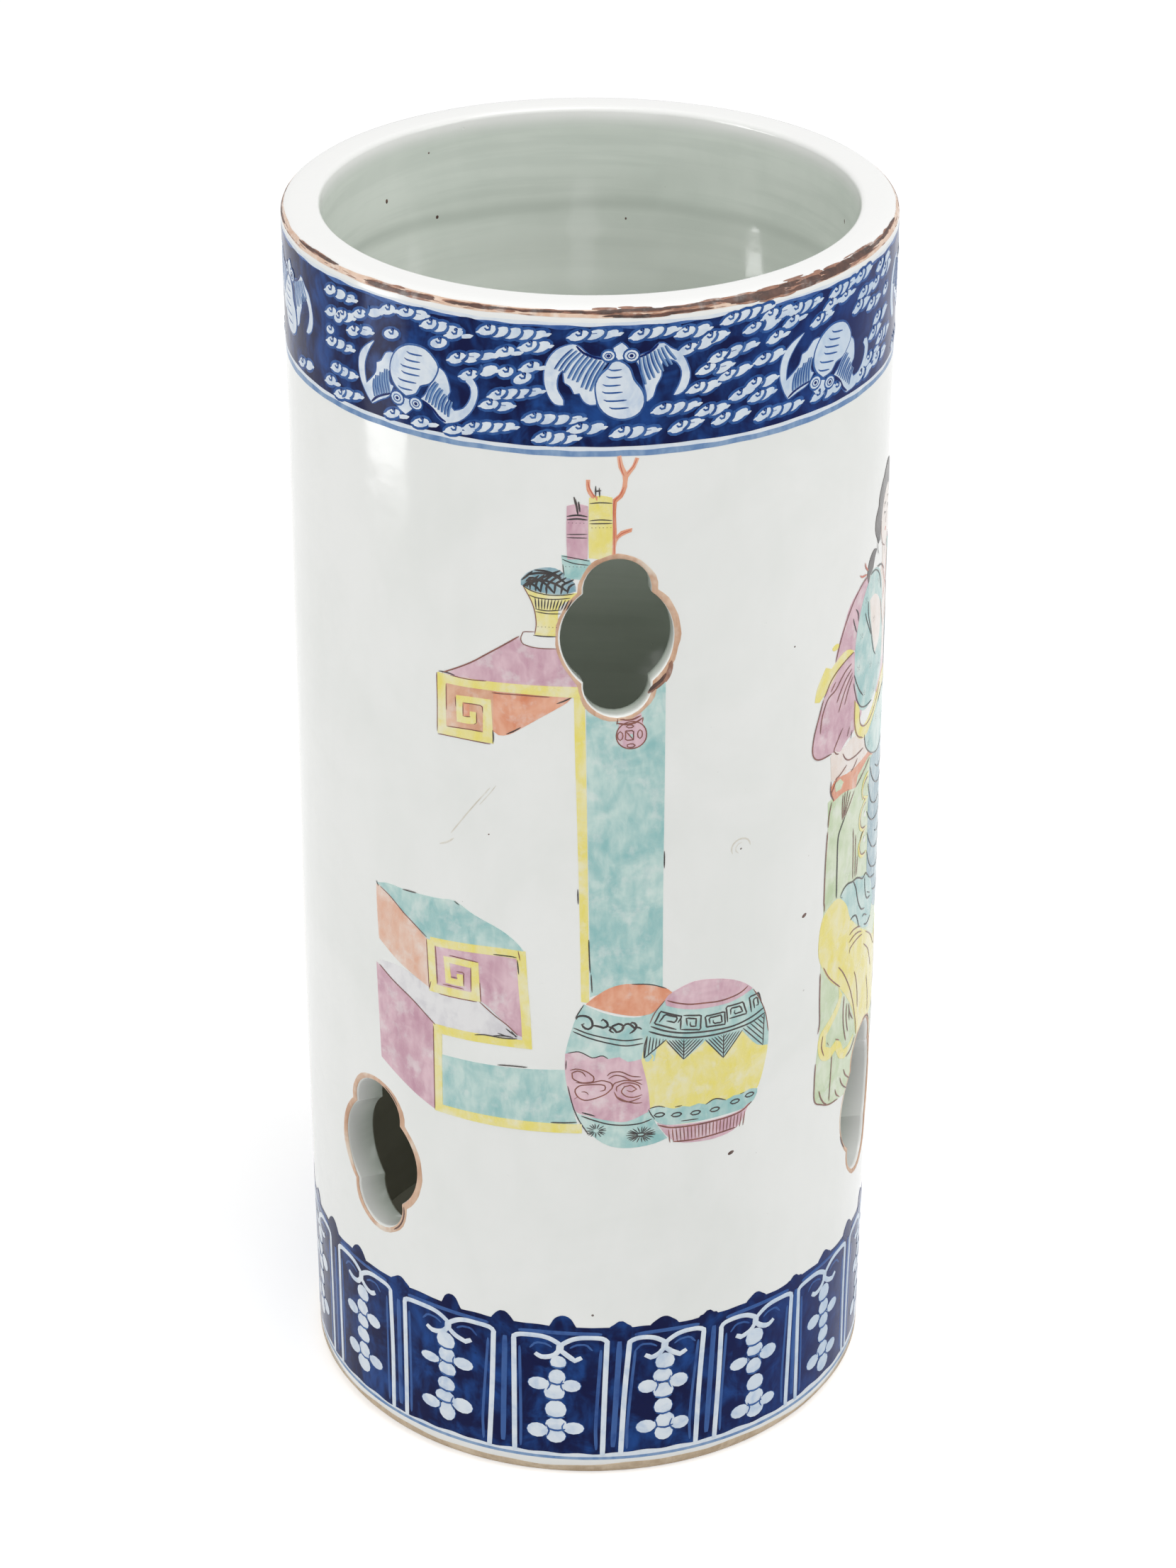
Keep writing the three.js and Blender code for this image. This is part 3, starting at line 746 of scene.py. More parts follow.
def iron_edge_material():
    """Brown dressing on the cut edges: rusty, paler where it is rubbed, darker where it pooled."""
    material, tree, shader = new_material("iron_edge", 0.45)
    where = object_places(tree)
    wash = washed(tree, (222, 190, 164), (194, 150, 120), 110.0, 700.0, 0.4, 0.3, 0.68)
    rubbed = between(tree, noise(tree, where, 75.0, 4.0, 0.6), 0.52, 0.66)
    colour = tinted(tree, wash["Color"], (232, 222, 206), rubbed, 0.75)
    burnt = between(tree, noise(tree, where, 190.0, 5.0, 0.65), 0.64, 0.74)
    colour = tinted(tree, colour, (116, 80, 56), burnt, 0.5)
    tree.links.new(colour, shader.inputs["Base Color"])
    tree.links.new(between(tree, rubbed, 0.0, 1.0, 0.5, 0.3), shader.inputs["Roughness"])
    fired_relief(tree, shader, 160.0, 1500.0, 0.5, 0.5, 0.0002, 0.7)
    return material


PORCELAIN = porcelain_material()
BARE_CLAY = bare_clay_material()
IRON_EDGE = iron_edge_material()
GLOSS, SOFT_GLOSS = 0.12, 0.24
UNDER_GLAZE = 0.07  # how much cobalt shines
COBALT = painted_material("cobalt_ground", (30, 72, 140), (14, 22, 68), GLOSS, pool=115.0, streak=380.0, streaks=0.3,
                          low=0.3, high=0.58, spots=0.4, spot_colour=(10, 14, 44), shine=UNDER_GLAZE, right_side_share=0.5)
COBALT_MID = painted_material("cobalt_mid", (84, 120, 180), (48, 84, 150), GLOSS, pool=260.0, streaks=0.3,
                              shine=UNDER_GLAZE)
COBALT_LINE = painted_material("cobalt_line", (30, 52, 120), (12, 24, 80), GLOSS, pool=300.0, shine=UNDER_GLAZE)
COBALT_HALO = painted_material("cobalt_halo", (62, 104, 168), (32, 70, 134), GLOSS, pool=200.0, soft=0.75,
                               fade=(24, 50, 110), shine=UNDER_GLAZE, right_side_share=0.4, right_side_colour=(34, 92, 168))
COBALT_STROKE = painted_material("cobalt_stroke", (78, 118, 176), (38, 72, 136), GLOSS, pool=300.0, streaks=0.3,
                                 shine=UNDER_GLAZE, right_side_share=0.35, right_side_colour=(30, 84, 158))
COBALT_MARGIN = painted_material("cobalt_margin", (236, 240, 243), (216, 227, 238), GLOSS, pool=160.0, streaks=0.3,
                                 shine=UNDER_GLAZE)
RESERVE = painted_material("reserved_white", (228, 236, 243), (190, 208, 230), GLOSS, pool=220.0, streaks=0.25,
                           low=0.4, high=0.75,
                           soft=0.5, fade=(96, 134, 190), shine=UNDER_GLAZE, right_side_share=0.35, right_side_colour=(160, 194, 226))
MAUVE = painted_material("mauve_enamel", (230, 198, 206), (194, 146, 164), SOFT_GLOSS, thin=0.35, soft=0.35)
YELLOW = painted_material("yellow_enamel", (240, 234, 190), (236, 222, 104), SOFT_GLOSS, thin=0.35, soft=0.45,
                          low=0.25, high=0.68)
TURQUOISE = painted_material("turquoise_enamel", (206, 228, 221), (140, 191, 190), SOFT_GLOSS, thin=0.3, soft=0.45)
ORANGE = painted_material("orange_enamel", (238, 180, 150), (216, 124, 80), SOFT_GLOSS, thin=0.3, soft=0.4)
PEACH = painted_material("peach_enamel", (240, 220, 206), (226, 174, 146), SOFT_GLOSS, thin=0.35, soft=0.4)
SIENNA = painted_material("sienna_enamel", (232, 190, 160), (206, 140, 106), SOFT_GLOSS, thin=0.3, soft=0.4)
GREEN = painted_material("green_enamel", (222, 232, 206), (188, 208, 164), SOFT_GLOSS, thin=0.35, soft=0.4)
BLUE = painted_material("blue_enamel", (156, 188, 196), (92, 140, 160), SOFT_GLOSS, thin=0.3, soft=0.4)
PALE = painted_material("pale_enamel", (242, 234, 228), (234, 218, 206), SOFT_GLOSS, low=0.35, soft=0.6)
GREY = painted_material("grey_enamel", (234, 233, 233), (210, 208, 212), SOFT_GLOSS, low=0.4, soft=0.6)
BARE = painted_material("bare_glaze", (241, 242, 239), (235, 236, 233), GLOSS, soft=0.3)
LINE = painted_material("drawn_line", (70, 60, 56), (30, 27, 28), SOFT_GLOSS, pool=300.0, low=0.35, high=0.6)
BROWN_LINE = painted_material("brown_line", (150, 92, 78), (104, 58, 50), SOFT_GLOSS, pool=300.0)
RED_LINE = painted_material("red_line", (216, 120, 92), (192, 82, 60), SOFT_GLOSS, pool=300.0)
SCUFF = painted_material("glaze_scuff", (230, 228, 220), (208, 202, 188), 0.3, pool=400.0, thin=0.7)
HAIR = painted_material("hair_black", (78, 70, 66), (30, 27, 28), SOFT_GLOSS, pool=260.0, streaks=0.6)
WORN_EDGE = painted_material("worn_dark", (104, 68, 54), (50, 36, 32), 0.45, pool=240.0, thin=0.15)
WORN_BROWN = painted_material("worn_brown", (178, 132, 108), (118, 78, 62), 0.4, pool=240.0, thin=0.4)
WORN_PEACH = painted_material("worn_peach", (238, 214, 194), (214, 174, 146), 0.25, pool=200.0, thin=0.6,
                              fade=(248, 242, 234))
COBALT_WASH = painted_material("cobalt_wash", (66, 100, 160), (34, 60, 124), GLOSS, pool=180.0, streaks=0.4,
                               low=0.45, high=0.8, shine=UNDER_GLAZE, right_side_share=0.5, right_side_colour=(20, 80, 156))
COBALT_FAINT = painted_material("cobalt_faint", (150, 176, 206), (98, 134, 182), GLOSS, pool=160.0, shine=UNDER_GLAZE)


# The fired body
def ring_at(radius, z, turns):
    """A ring of places in metres, at a radius that may change round it."""
    return in_space(radius, turns, np.full(len(turns), z))


def throwing_ripple(turn, z):
    """How far the inside stands in or out, from the potter's fingers."""
    climb = z + 1.6 * turn / TAU * 5
    return 0.10 * np.sin(climb / 2.1) + 0.07 * np.sin(climb / 5.3 + 1.2 * np.sin(turn)) + 0.05 * np.sin(3 * turn
        + z / 17)


def pierced_sheet(bottom, top, holes, radius):
    """One face of the wall on the unrolled arc, cut by the holes: its places, faces, and the order of its edges."""
    pitch = AROUND / COLUMNS
    start = -SHEET_START / 360 * AROUND
    rows = math.ceil((top - bottom) / ROW_STEP)
    grid = [(start + k * pitch, bottom + (top - bottom) * j / rows) for j in range(rows + 1)
            for k in range(COLUMNS + 1)]
    vertices, edges, hole_starts = [], [], []
    for hole in holes:
        hole_starts.append(len(vertices))
        edges += ring_edges(len(vertices), len(hole))
        vertices += [tuple(v) for v in hole]
    flat_grid = np.array(grid)
    clear = np.ones(len(grid), bool)
    for hole in holes:
        middle = hole.mean(0)
        wide = middle + (hole - middle) * (1 + 1.3 / np.hypot(*(hole - middle).T))[:, None]
        clear &= ~inside(flat_grid, wide)
    number = {}
    for n, keep in enumerate(clear):
        if keep:
            number[divmod(n, COLUMNS + 1)] = len(vertices)
            vertices.append(grid[n])
    for j in (0, rows):
        edges += [(number[(j, k)], number[(j, k + 1)]) for k in range(COLUMNS)]
    for k in (0, COLUMNS):
        edges += [(number[(j, k)], number[(j + 1, k)]) for j in range(rows)]
    flat, faces, origin = triangles(vertices, edges)
    back = [o[0] if o else -1 for o in origin]
    middles = np.array([flat[list(f)].mean(0) for f in faces])
    kept = np.ones(len(faces), bool)
    for hole in holes:
        kept &= ~inside(middles, hole)
    seam = {number[(j, COLUMNS)]: number[(j, 0)] for j in range(rows + 1)}
    faces = [tuple(seam.get(back[v], back[v]) for v in f) for f, k in zip(faces, kept) if k]
    flat = np.array(vertices)
    turns = flat[:, 0] / OUTER_RADIUS
    reach = radius(turns, flat[:, 1])
    spots = in_space(reach, turns, flat[:, 1])
    edge_rows = [[number[(j, k)] for k in range(COLUMNS)] for j in (0, rows)]
    return spots, faces, hole_starts, edge_rows, turns[edge_rows[0]]


def window_ring(window, turn, grow, depth):
    """A loop round a window at a depth in the wall, in metres."""
    flat = window_flat(window, turn, grow, depth)
    turns = flat[:, 0] / OUTER_RADIUS
    return in_space(wall_radius(flat[:, 1]) - depth, turns, flat[:, 1])


LIP_STEPS = [(LIP_ROUND * (1 - math.sin(a)), LIP_ROUND * (1 - math.cos(a))) for a in np.radians((0, 22, 45, 68, 90))]
INNER_STEPS = [(INNER_LIP_ROUND * (1 - math.cos(a)), WALL - INNER_LIP_ROUND * (1 - math.sin(a)))
               for a in np.radians((0, 30, 60, 90))]


def wall_section(name, bottom, top, windows, head, foot, *nodes):
    """A thrown section with its windows cut through; head and foot close it between its two faces."""
    outer_holes = [window_flat(w, (t + SHEET_START) % 360 - SHEET_START, LIP_ROUND + 0.7) for _, w, t in windows]
    inner_holes = [window_flat(w, (t + SHEET_START) % 360 - SHEET_START, INNER_LIP_ROUND + 0.6, WALL) for _, w,
                   t in windows]
    outer = pierced_sheet(bottom[0], top[0], outer_holes, lambda turn, z: wall_radius(z))
    inner = pierced_sheet(bottom[1], top[1], inner_holes,
                          lambda turn, z: wall_radius(z) - WALL + throwing_ripple(turn, z))
    body = Layer()
    body.add(outer[0], outer[1])
    offset = body.count
    body.add(inner[0], [tuple(reversed(f)) for f in inner[1]])
    size = len(outer_holes[0]) if windows else 0

    def bridge(a, b):
        count = len(a)
        body.faces += [(a[k], a[(k + 1) % count], b[(k + 1) % count], b[k]) for k in range(count)]

    def extra(ring):
        start = body.count
        body.add(ring, [])
        return list(range(start, start + len(ring)))

    for n, (_, window, turn) in enumerate(windows):
        loop = [outer[2][n] + k for k in range(size)]
        for grow, depth in LIP_STEPS + [(0, WALL * 0.35), (0, WALL * 0.65)] + INNER_STEPS:
            following = extra(window_ring(window, turn, grow, depth))
            bridge(loop, following)
            loop = following
        bridge(loop, [offset + inner[2][n] + k for k in range(size)])
    for steps, row in ((head, 1), (foot, 0)):
        loop = outer[3][row]
        for radius, z in steps:
            following = extra(ring_at(radius, z, outer[4]))
            bridge(loop, following)
            loop = following
        bridge(loop, [offset + k for k in inner[3][row]])
    return layer_piece(name, body, PORCELAIN, "glazed_body", *nodes, sharp=50, recalculate=True)


def rim_steps():
    """The rim from the top of the outside to the top of the inside, rounded, with a barely crowned flat."""
    outer_edge = float(wall_radius(HEIGHT))
    inner_edge = outer_edge - WALL
    steps = []
    for a in np.radians((22, 45, 68, 90)):
        steps.append((outer_edge - RIM_OUTSIDE_ROUND * (1 - math.cos(a)),
                      HEIGHT - 0.06 - RIM_OUTSIDE_ROUND * (1 - math.sin(a))))
    steps += [(outer_edge - WALL * 0.42, HEIGHT), (outer_edge - WALL * 0.66, HEIGHT)]
    for a in np.radians((90, 68, 45, 22)):
        steps.append((inner_edge + RIM_INSIDE_ROUND * (1 - math.cos(a)),
                      HEIGHT - 0.06 - RIM_INSIDE_ROUND * (1 - math.sin(a))))
    return steps


def make_body():
    """The two thrown sections, the floor, the bare underside and the bare foot ring."""
    upper = [w for w in WINDOWS if w[0].startswith("upper")]
    lower = [w for w in WINDOWS if w[0].startswith("lower")]
    wall_section("upper_thrown_wall", (SEAM_HEIGHT, SEAM_HEIGHT),
                 (HEIGHT - RIM_OUTSIDE_ROUND, HEIGHT - RIM_INSIDE_ROUND),
                 upper, rim_steps(), [], "upper_wall")
    foot_radius = float(wall_radius(FOOT_BEVEL[1])) - FOOT_BEVEL[0]
    seat = float(wall_radius(FLOOR_RECESS)) - WALL - FLOOR_SEAT
    foot = [(foot_radius + 0.2, 0.35), (foot_radius - 0.3, 0.06), (seat + 0.4, 0.06), (seat, 0.3), (seat, FLOOR_RECESS)]
    wall_section("lower_thrown_wall", (FOOT_BEVEL[1], FLOOR_RECESS), (SEAM_HEIGHT, SEAM_HEIGHT), lower, [], foot,
                 "lower_wall")
    turns = np.linspace(0, TAU, 144, endpoint=False)
    rim = float(wall_radius(FLOOR_TOP)) - WALL - 0.05
    floor = Layer()
    rings = []
    for k, share in enumerate(np.linspace(0.02, 1, 30)):
        swirl = 0.12 * np.sin(share * 60 + turns) * (share < 0.95)
        place = ring_at(rim * share, FLOOR_TOP - 0.35, turns)
        place[:, 2] += (swirl + 0.25 * share**6) * MM
        rings.append(place)
    rings += [ring_at(rim * share, FLOOR_RECESS + 0.05, turns) for share in (1, 0.6, 0.25, 0.02)]
    floor.loops(rings, False)
    count, last = len(turns), len(rings) - 1
    floor.faces += [tuple(reversed(range(count))), tuple(range(last * count, (last + 1) * count))]
    layer_piece("glazed_floor", floor, PORCELAIN, "glazed_body", "floor_slab", sharp=50, recalculate=True)
    under = Layer()
    wide = seat + FLOOR_SEAT - 0.4
    rings = [ring_at(wide * share, FLOOR_RECESS - 0.25 + 0.12 * math.cos(share * 40), turns)
             for share in np.linspace(1, 0.02, 40)]
    rings += [ring_at(wide * 0.02, FLOOR_RECESS + 0.2, turns), ring_at(wide, FLOOR_RECESS + 0.2, turns)]
    under.loops(rings, True)
    layer_piece("bare_underside", under, BARE_CLAY, "bare_foot", recalculate=True)
    bare = Layer()
    top = float(wall_radius(FOOT_BEVEL[1])) + 0.05
    wander = 0.25 * np.sin(turns * 5) + 0.18 * np.sin(turns * 13 + 1) + 0.1 * np.sin(turns * 31)
    profile = [(top - 0.3, 3.2), (top, 3.2), (top, 2.6), (foot_radius + 0.75, 0.85), (foot_radius + 0.2, 0.18),
               (foot_radius - 0.2, 0.0),
               (seat + 0.5, 0.0), (seat - 0.08, 0.3), (seat - 0.08, 2.7), (seat + 0.3, 2.7), (seat + 0.7, 0.6),
               (foot_radius - 0.6, 0.6), (foot_radius - 0.1, 1.0)]
    rings = []
    for k, (radius, z) in enumerate(profile):
        place = ring_at(radius, z, turns)
        if k < 2:
            place[:, 2] += wander * MM
        rings.append(place)
    bare.loops(rings, True)
    layer_piece("bare_foot_ring", bare, BARE_CLAY, "bare_foot", recalculate=True)


def make_window_edges():
    """The brown dressing on each window's outer lip, broader on its right; the glaze within it stays white."""
    for name, window, turn in WINDOWS:
        chance = random.Random(name)
        count = len(quatrefoil(window, 0))
        around = np.linspace(0, TAU, count, endpoint=False)
        side, up = (2 * quatrefoil(window, 0) / window[:2]).T
        spread = sum(chance.uniform(0.03, 0.09) * np.sin(around * f + chance.uniform(0, TAU))
                     for f in (3, 5, 8, 13, 19))
        if window is UPPER_WINDOW:
            width, cover = 1.22 + 0.16 * side - 0.04 * up, 32 + 20 * np.clip(side, 0, 1) + 24 * np.clip(up, 0, 1)
        else:
            width, cover = 1.38 + 0.4 * side + 0.14 * np.abs(up), 36 + 24 * np.clip(-side, 0, 1)
        width = np.clip(width + spread, LIP_ROUND + 0.02, 1.85)
        last = np.radians(cover + 7 * np.sin(around * 2 + chance.uniform(0, TAU))
                          + 4 * np.sin(around * 7 + chance.uniform(0, TAU)))
        edge = Layer()
        thick = 0.09
        rings = []

        def ring(grow, depth):
            """A loop whose growth and depth change round the window."""
            grow, depth = np.broadcast_to(grow, (count,)), np.broadcast_to(depth, (count,))
            flat = np.array([window_flat(window, turn, g, max(d, 0))[k] for k, (g, d) in enumerate(zip(grow, depth))])
            turns = flat[:, 0] / OUTER_RADIUS
            return in_space(wall_radius(flat[:, 1]) - depth, turns, flat[:, 1])

        rings.append(ring(width, 0.06))
        rings.append(ring(width, -0.03))
        rings.append(ring(np.maximum(width - 0.2, LIP_ROUND + 0.01), -thick))
        for share in (0, 0.35, 0.7, 0.94):
            size = LIP_ROUND + thick
            rings.append(ring(LIP_ROUND - size * np.sin(last * share), LIP_ROUND - size * np.cos(last * share)))
        for share, size in ((1, LIP_ROUND), (0.9, LIP_ROUND - 0.1), (0.45, LIP_ROUND - 0.1), (0, LIP_ROUND - 0.1)):
            rings.append(ring(LIP_ROUND - size * np.sin(last * share), LIP_ROUND - size * np.cos(last * share)))
        edge.loops(rings, True)
        layer_piece("window_dressing_" + name, edge, IRON_EDGE, "window_edge", "window_edge_" + name, sharp=60,
                    recalculate=True)


make_body()
make_window_edges()


# The cobalt band of clouds and bats under the rim
CLOUD_LOW, CLOUD_HIGH = 251.0, 275.9
LOBE_WIDTH, LOBE_HEIGHT, LOBE_PITCH = 4.1, 2.0, 2.65  # one curl of a cloud chain
# Chains of cloud curls: first u, last u, height at the start, height at the end
CLOUDS = """-62,-51.5,273.5,273.5 -52.5,-44.3,271.3,272.8 -62,-57,268.8,268.8 -58,-52.2,269.5,269.5 -59,-56,268.4,268.4
-54.5,-47,267.2,268 -62,-59,265,265 -62,-52.7,262.7,262.7 -60.5,-52,257.3,257.3 -63,-58,253.7,253.7
-59.5,-50.5,252,253.3 -44.6,-40,274.3,274.3 -40,-33,274.8,274.8 -34.5,-26,273.3,273.3 -29,-23.7,272.3,272.3
-43.8,-39.8,269.3,269.3 -32.5,-28.5,270,270 -28.5,-18.3,267.3,268.8 -18.5,-13.5,270,270 -13.7,-7.5,271.8,271.8
-22,-8,274.2,274.2 -26,-18,264.3,265.8 -18,-14.7,265.8,265.8 -15,-11,265,265 -13.5,-8.7,267.3,267.3
-20,-9,260.9,262.3 -21.8,-15,258.7,258.7 -13,-1,256.8,256.8 -25.5,-14.3,253.4,254.3 -29.5,-24,252,252
-44,-38.5,252.4,252.4 -37,-31.5,252.2,252.2 -11,-2,252.7,252.7 -4,3,255,255 -4,6,274.5,274.5 8,17.5,274.3,274.7
17,24,274,274 17.5,25,270.6,271.2 22,27.7,272.3,272.3 26.5,38,275.3,276 24,34.5,267.8,268.9 21.5,29,265.7,265.7
26,33,263.7,264.4 19.5,26,262,262 28.7,33.5,259.3,259.3 32,39.5,260.8,260.8 33,39,258,258 34,41,265.7,265.7
12.5,22,258.5,258.5 21.5,28,257,257 25,32.8,254.8,254.8 16,22.5,254.3,254.8 4.3,13.7,254,254 34.5,46.3,253.8,253.8
35.5,43,274.5,274.5 31.5,39.5,272.7,272.7 42,51,274.2,274.2 41,46.5,272,272 37,42,269.5,269.5 48.3,54.5,270.3,270.3
52,57,272.5,272.5 57,62,272.8,272.8 53.7,62.5,274.8,274.8 62.5,69,275.4,275.4 62,68.5,269,269 64,70.5,271.3,271.3
70,74,271.5,271.5 72,80,274.5,274.5 75,81,272.5,272.5 68,74.5,267.5,267.5 76.5,80,268,268 71.5,79.5,263.3,263.3
69.5,75.5,260.7,260.7 73.5,82,258.3,258.3 67.5,75,255.8,255.8 49,56.5,254,254 55.5,58.7,254,254 64,71,253.5,253.5
71.8,79.7,254.3,254.3"""
FRONT_CLOUDS = (-63.0, 82.0)  # first and last u of the chains drawn one by one
CLOUD_ROWS = (252.9, 256.3, 259.6, 263.0, 266.4, 269.8, 273.7)  # heights of the rows round the rest
BAT_REACH = 15.5  # a bat's half width with the ground round it
HEADS_UP = (6.0, 98.0, 208.5, 319.0)
HEADS_DOWN = (-37.0, 54.5, 153.0, 263.7)


def oval(u, z, wide, tall, count=12):
    return [(u + wide * math.cos(t), z + tall * math.sin(t)) for t in np.linspace(0, TAU, count, endpoint=False)]


def along_band(low, mid, high, seed):
    """A painted edge that wanders: heights as a function of u."""
    chance = random.Random(seed)
    waves = [(chance.uniform(low, high), f, chance.uniform(0, TAU)) for f in (4, 9, 17, 31, 53)]
    return lambda u: mid + sum(a * np.sin(f * u / OUTER_RADIUS + p) for a, f, p in waves)


def cloud_chains():
    """Every chain round the band: those drawn in front, and rows of the same kind for the rest."""
    chains = [tuple(float(v) for v in line.split(",")) for line in CLOUDS.split()]
    chance = random.Random(11)
    bats = [b % AROUND for b in HEADS_UP + HEADS_DOWN]
    for z in CLOUD_ROWS:
        u = FRONT_CLOUDS[1] + 1.5 + chance.uniform(0, 5)
        while u < FRONT_CLOUDS[0] + AROUND - 5:
            length = chance.uniform(5.0, 13.0)
            middle, lift = u + length / 2, chance.uniform(-0.4, 1.0)
            near = min(abs((middle - b + AROUND / 2) % AROUND - AROUND / 2) for b in bats)
            if near > BAT_REACH + length / 2 - (3 if z > 273 or z < 254 else 0) or (z > 274 or z < 253) and near > 4:
                chains.append((u, min(u + length, FRONT_CLOUDS[0] + AROUND - 1), z, z + lift))
            u += length + chance.uniform(1.2, 3.6)
    return chains


UP_BODY = places("""
5.8,268.9 7.6,267.5 8.5,265 10.2,262.5 10.6,260.3 9.8,258.3 8,257.2 5.8,257 3.6,257.8 2,259.5 1.3,262
1.3,264.5 2.3,266.3 3.6,267.5 4.4,268.7""")
UP_HEAD = places("6.2,272.8 7.5,271.5 7.4,269.6 5.5,269.3 4.9,270.2 4.6,271.8")
UP_RIBS = [(267.2, 3.6, 6.2), (265.7, 3.2, 6.3), (264, 2.5, 6), (262.5, 2.4, 6.4), (260.8, 2.7, 7.2), (259.2, 3.8, 7.6)]
UP_EYES = [(3.6, 270.2, 1.2), (8.1, 270.1, 1.4)]
UP_WINGS = [
    places("""
-2.6,272.4 -4,272.4 -6.5,271.2 -8.4,268.5 -8.9,265 -8.2,262 -6.8,260 -5.2,259.8 -5.2,260.8 -6.4,263.2
-6.2,266 -5.2,267.2 -4.9,264.5 -3.8,263.8 -3,262.2 -2,262.4 -1.2,260.8 0,260 1.2,260.1 1.2,262 1,265 1.6,267 3.2,268.5
2.6,269.6 0.2,270.1"""),
    places("""
9.5,269.9 12,270.8 13.4,272.2 14.5,272.2 16,271 18,269.8 19.6,266.5 19.8,264.5 19,262.3 17.6,261.3 16.6,261.2
17.8,263.5 18.2,266 17.2,268 15.6,268.9 14.4,268.9 14,267.5 14,265.5 13,263.5 12.4,261.3 11.2,260.3 11.2,261.5
10.9,263 10.3,265.5 9.5,268.2 9,269"""),
]
UP_BARS = [places("-2.6,272.2 -1.4,270.9 0.4,270 2.4,269.5"), places("9.4,269.6 11,270.2 12.6,271.3 13.4,272.2")]
UP_STROKES = [(-3.4 + 0.78 * k, 271.6 - 0.34 * k, -6.9 + 0.86 * k, 267.3 - 0.62 * k + 0.25 * (k % 3)) for k in range(9)]
UP_STROKES += [(9.6 + 0.72 * k, 269.6 + 0.3 * k, 10.8 + 0.86 * k, 263.9 + 0.62 * k + 0.3 * (k % 2)) for k in range(8)]
DOWN_BODY = places("""
-36,268.2 -38.5,267.7 -41,265.8 -42.3,263 -42.2,260.5 -41,258.6 -38.6,257.2 -36.2,258.3 -35.2,260
-33,261 -31.8,262.5 -31,264.8 -32,266.5 -33.8,267.9""")
DOWN_HEAD = places("-41,254.6 -39.5,256.6 -37.3,256.4 -36.6,255.4 -37.5,254.3 -38.8,253.2 -40.2,253.9")
DOWN_RIBS = [(266.4, -38.2, -34.5), (264.9, -38.8, -35), (263.4, -39.8, -35), (262, -39.6, -35.2), (260.3, -40.5, -36),
             (258.6, -40.5, -37)]
DOWN_EYES = [(-40.8, 256.2, 1.5), (-36.2, 256, 1.4)]
DOWN_WINGS = [
    places("""
-48.2,264.5 -46.6,266.8 -49.6,264.6 -51.2,262 -51,258 -49,254.5 -47.6,253.2 -45.4,254.6 -43,256 -41.8,258.4
-42.5,258.5 -43.8,260.6 -42.3,262 -41.7,265.5 -43.5,265 -44.8,263 -46.1,262.3 -46.3,260.3 -47.5,258.7 -49.2,257
-49.6,259 -49.5,261.5"""),
    places("""
-31,264.8 -29.6,264 -28.7,262 -28.4,260 -28.9,259.2 -28.6,257.5 -27.5,256.2 -25.5,257 -23.9,259.5 -23.9,261.8
-24.9,262.8 -24.6,263.6 -23.5,263.7 -22.5,262 -22.6,259.5 -24,256.5 -26.5,254.2 -29.5,253.2 -31.2,254.3 -33,256.5
-35,257.3 -34,258.3 -32.8,260.5 -31.6,262.5"""),
]
DOWN_BARS = [places("-42.6,256.6 -44.4,255.9 -46.4,254.8 -47.8,253.5"),
             places("-34.6,257 -32.4,255.8 -30.8,254.2 -29.4,253.5")]
DOWN_STROKES = [(-42.9 - 0.68 * k, 256.6 - 0.3 * k, -43.4 - 0.62 * k, 261.6 - 0.5 * k + 0.4 * (k % 2))
                for k in range(7)]
DOWN_STROKES += [(-34 + 0.72 * k, 257.2 - 0.36 * k, -31.6 + 0.5 * k, 261.6 - 0.55 * k + 0.3 * (k % 2))
                 for k in range(8)]
DRAWN_BATS = ((UP_BODY, UP_HEAD, UP_RIBS, UP_EYES, UP_WINGS, UP_BARS, UP_STROKES, HEADS_UP),
              (DOWN_BODY, DOWN_HEAD, DOWN_RIBS, DOWN_EYES, DOWN_WINGS, DOWN_BARS, DOWN_STROKES, HEADS_DOWN))
BAT_TILTS = {54.5: -12.0, 98.0: 4.0, 153.0: 8.0, 208.5: -5.0, 263.7: 3.0, 319.0: -3.0}


